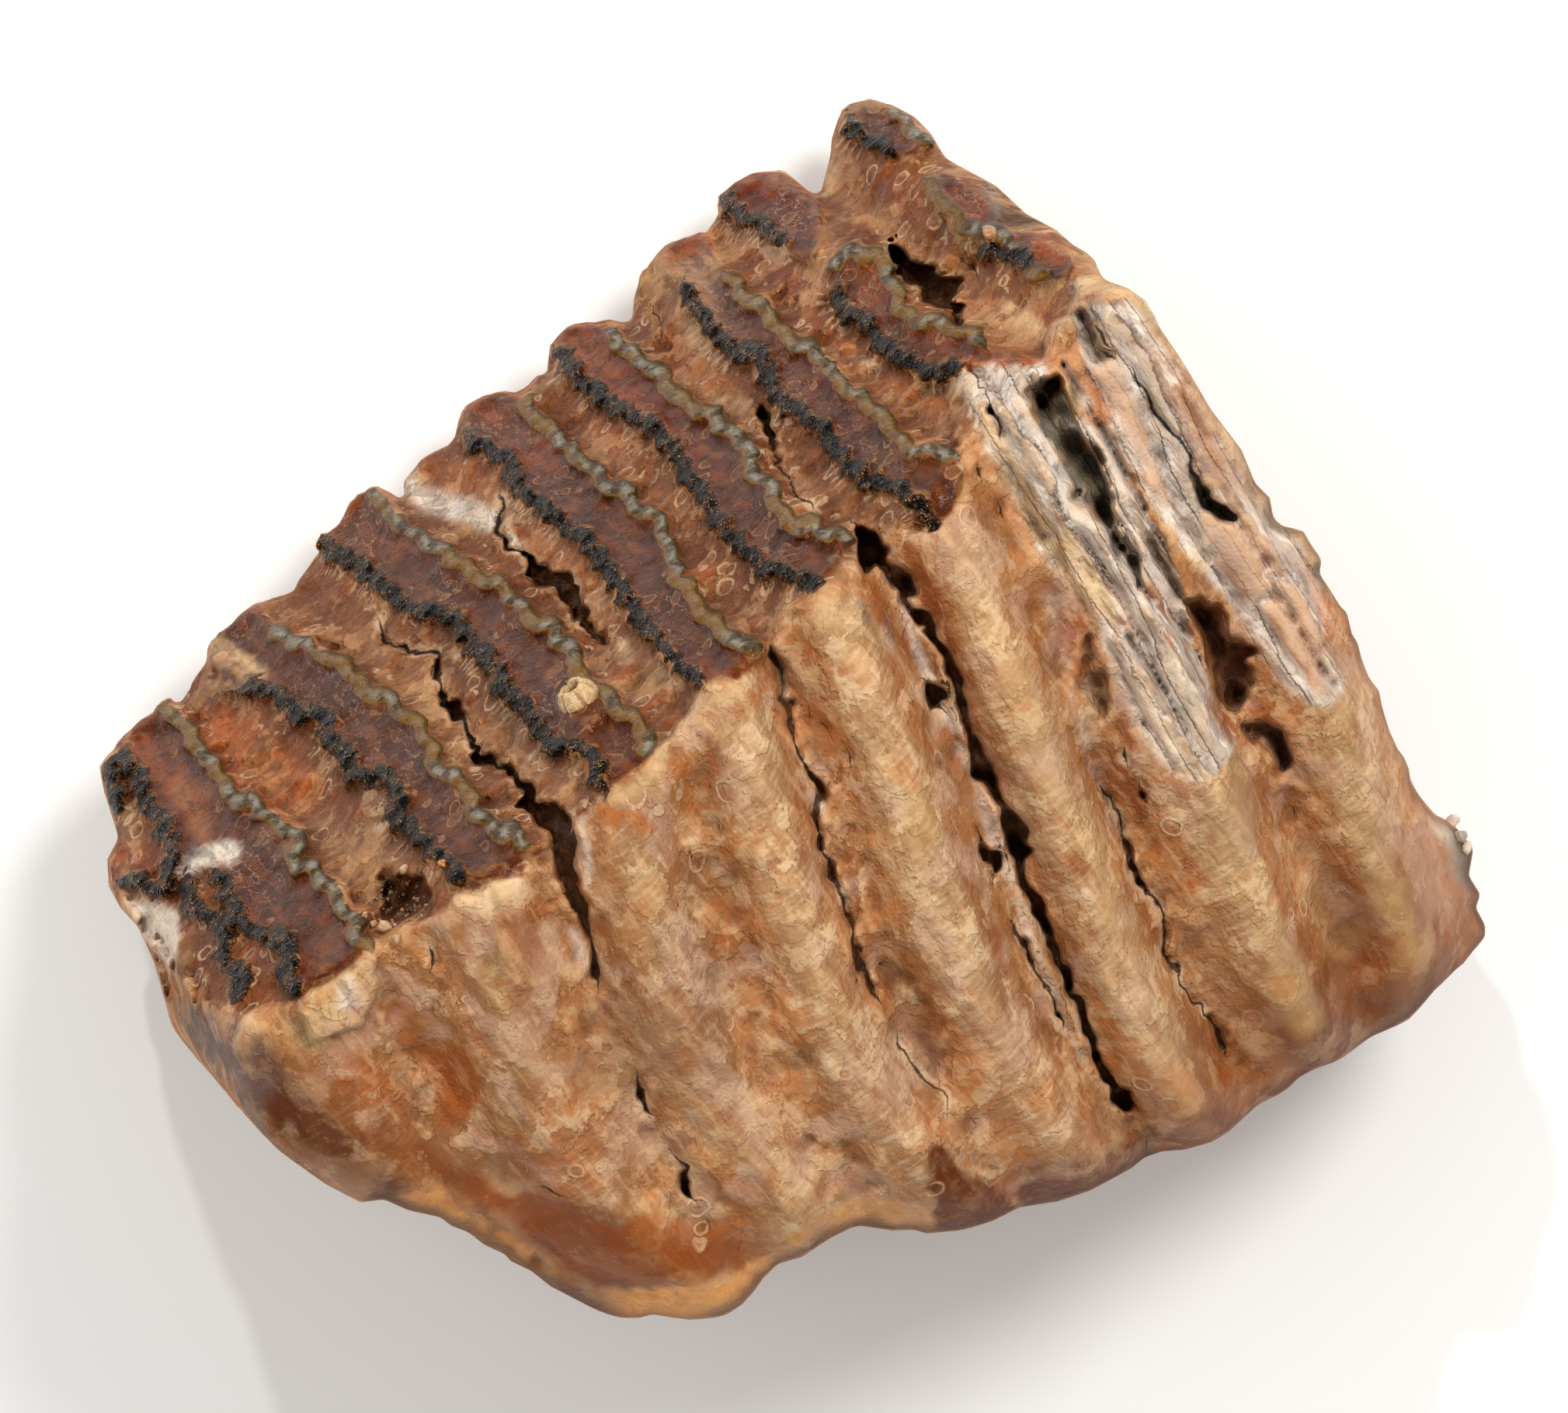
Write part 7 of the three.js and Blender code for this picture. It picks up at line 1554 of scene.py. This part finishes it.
# Grains: pixel, radius in millimetres, colour.
GRAINS = [(523, 1121, 0.60, 'sand'), (572, 1112, 0.48, 'orange'), (498, 1198, 0.95, 'sand'), (512, 1208, 0.6, 'tan'), (482, 1192, 0.5, 'tan'), (470, 1180, 0.4, 'ochre'), (1279, 305, 0.95, 'ochre'),
          (1867, 1060, 0.9, 'chalk'), (1877, 1078, 0.8, 'grey'), (1886, 1094, 0.7, 'chalk')]
rg = np.random.RandomState(21)
for _ in range(60):
    a_, r_ = rg.uniform(0, 2 * np.pi), rg.uniform(0.1, 1.0) ** 0.6
    GRAINS.append((515 + 40 * r_ * np.cos(a_), 1163 + 32 * r_ * np.sin(a_), rg.uniform(0.10, 0.26), ('dark', 'brown', 'deep', 'deep', 'ochre')[rg.randint(5)]))
ball = []
phi = (1 + 5 ** 0.5) / 2
iv = np.array([(-1, phi, 0), (1, phi, 0), (-1, -phi, 0), (1, -phi, 0), (0, -1, phi), (0, 1, phi), (0, -1, -phi), (0, 1, -phi), (phi, 0, -1), (phi, 0, 1), (-phi, 0, -1), (-phi, 0, 1)], float)
iv /= np.linalg.norm(iv[0])
it = np.array([(0, 11, 5), (0, 5, 1), (0, 1, 7), (0, 7, 10), (0, 10, 11), (1, 5, 9), (5, 11, 4), (11, 10, 2), (10, 7, 6), (7, 1, 8), (3, 9, 4), (3, 4, 2), (3, 2, 6), (3, 6, 8), (3, 8, 9),
               (4, 9, 5), (2, 4, 11), (6, 2, 10), (8, 6, 7), (9, 8, 1)])


def finer(v, t):
    out, cache, v = [], {}, list(map(tuple, v))

    def middle(a, b):
        key = (min(a, b), max(a, b))
        if key not in cache:
            p_ = (np.array(v[a]) + np.array(v[b])) / 2
            v.append(tuple(p_ / np.linalg.norm(p_)))
            cache[key] = len(v) - 1
        return cache[key]
    for a, b, c in t:
        x, y, z = middle(a, b), middle(b, c), middle(c, a)
        out += [(a, x, z), (b, y, x), (c, z, y), (x, y, z)]
    return np.array(v), np.array(out)


iv, it = finer(*finer(iv, it))
gv, gt, gc = [], [], []
for px, py, rad, name in GRAINS:
    at_, nn_ = drop(px, py)
    if at_ is None:
        continue
    q_, _ = np.linalg.qr(rg.normal(size=(3, 3)))
    lump = 1 + 0.38 * noise(iv * 1.0 + rg.uniform(0, 30, 3), 0.9, 5) + 0.14 * noise(iv + rg.uniform(0, 30, 3), 0.4, 6)
    v_ = (iv * lump[:, None] * rad * rg.uniform(0.75, 1.15, 3)) @ q_ + at_ + nn_ * rad * (0.35 if nn_[2] > 0 else -0.35)
    gt.append(it + sum(len(x) for x in gv))
    gv.append(v_)
    gc.append(np.tile(PAL[name], (len(v_), 1)))
grains = new_object("caught_grains", np.concatenate(gv), np.concatenate(gt))
attribute(grains.data, "tint", np.concatenate(gc))
gm = bpy.data.materials.new("grains")
g = Graph(gm)
X = g.vmath('SCALE', g.node('ShaderNodeTexCoord').outputs['Object'], scale=1000.0)
n1_, n2_ = g.noise(X, 2.2, 3.0, 0.6), g.noise(X, 9.0, 2.0, 0.6)
col = g.mix(g.ramp(n1_, 0.45, 0.65, 0, 0.5), g.attr("tint", 'Color'), rgb(226, 196, 150))
col = g.mix(g.ramp(n2_, 0.45, 0.30, 0, 0.5), col, rgb(80, 48, 28))
bump = g.node('ShaderNodeBump')
bump.inputs['Distance'].default_value = 0.001
g.put(bump.inputs['Height'], g.add(g.mul(n1_, 0.10), g.mul(n2_, 0.06)))
bs = g.node('ShaderNodeBsdfPrincipled')
g.put(bs.inputs['Base Color'], col)
g.put(bs.inputs['Roughness'], g.add(0.22, g.mul(n2_, 0.3)))
g.put(bs.inputs['Normal'], bump.outputs[0])
bs.inputs['Specular IOR Level'].default_value = 0.45
g.put(g.node('ShaderNodeOutputMaterial').inputs[0], bs.outputs[0])
grains.data.materials.append(gm)
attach(grains, "root")

# ------------------------------------------------------------------ floor, light, camera
floor = new_object("floor", [(-1500, -1500, 0), (1500, -1500, 0), (1500, 1500, 0), (-1500, 1500, 0)], [(0, 1, 2, 3)])
fm = bpy.data.materials.new("pale_floor")
fm.use_nodes = True
b = fm.node_tree.nodes["Principled BSDF"]
b.inputs["Base Color"].default_value = (0.95, 0.95, 0.945, 1)
b.inputs["Roughness"].default_value = 0.85
b.inputs["Specular IOR Level"].default_value = 0.1
floor.data.materials.append(fm)

world = bpy.data.worlds.new("studio")
bpy.context.scene.world = world
world.use_nodes = True
world.node_tree.nodes["Background"].inputs[0].default_value = (1.0, 0.99, 0.975, 1)
world.node_tree.nodes["Background"].inputs[1].default_value = 0.58


def lamp(name, size, energy, at, aim=(0, 0, 0.05), colour=(1, 1, 1)):
    l = bpy.data.lights.new(name, 'AREA')
    l.shape = 'DISK'
    l.size = size
    l.energy = energy
    l.color = colour
    o = bpy.data.objects.new(name, l)
    o.location = at
    o.rotation_euler = (Vector(aim) - Vector(at)).to_track_quat('-Z', 'Y').to_euler()
    bpy.context.scene.collection.objects.link(o)
    return o


lamp("key", 0.24, 4.75, (0.30, 0.34, 0.85), colour=(1.0, 0.975, 0.94))
lamp("fill", 0.8, 1.6, (-0.55, 0.05, 0.8), colour=(1.0, 0.99, 0.97))
lamp("glint", 0.03, 1.7, (-0.15, 0.55, 0.8))

cam_data = bpy.data.cameras.new("camera")
cam_data.lens = 9280 / 2019 * 36
cam_data.sensor_width = 36
cam_data.sensor_fit = 'HORIZONTAL'
cam_data.clip_start, cam_data.clip_end = 0.05, 20
cam = bpy.data.objects.new("camera", cam_data)
cam.location = (-0.000205, -0.001495, 0.8656)
cam.rotation_euler = (0, 0, 0)
bpy.context.scene.collection.objects.link(cam)
bpy.context.scene.camera = cam
bpy.context.scene.view_settings.view_transform = 'Standard'
bpy.context.scene.cycles.max_bounces = 4
bpy.context.scene.cycles.diffuse_bounces = 2
bpy.context.scene.cycles.glossy_bounces = 2
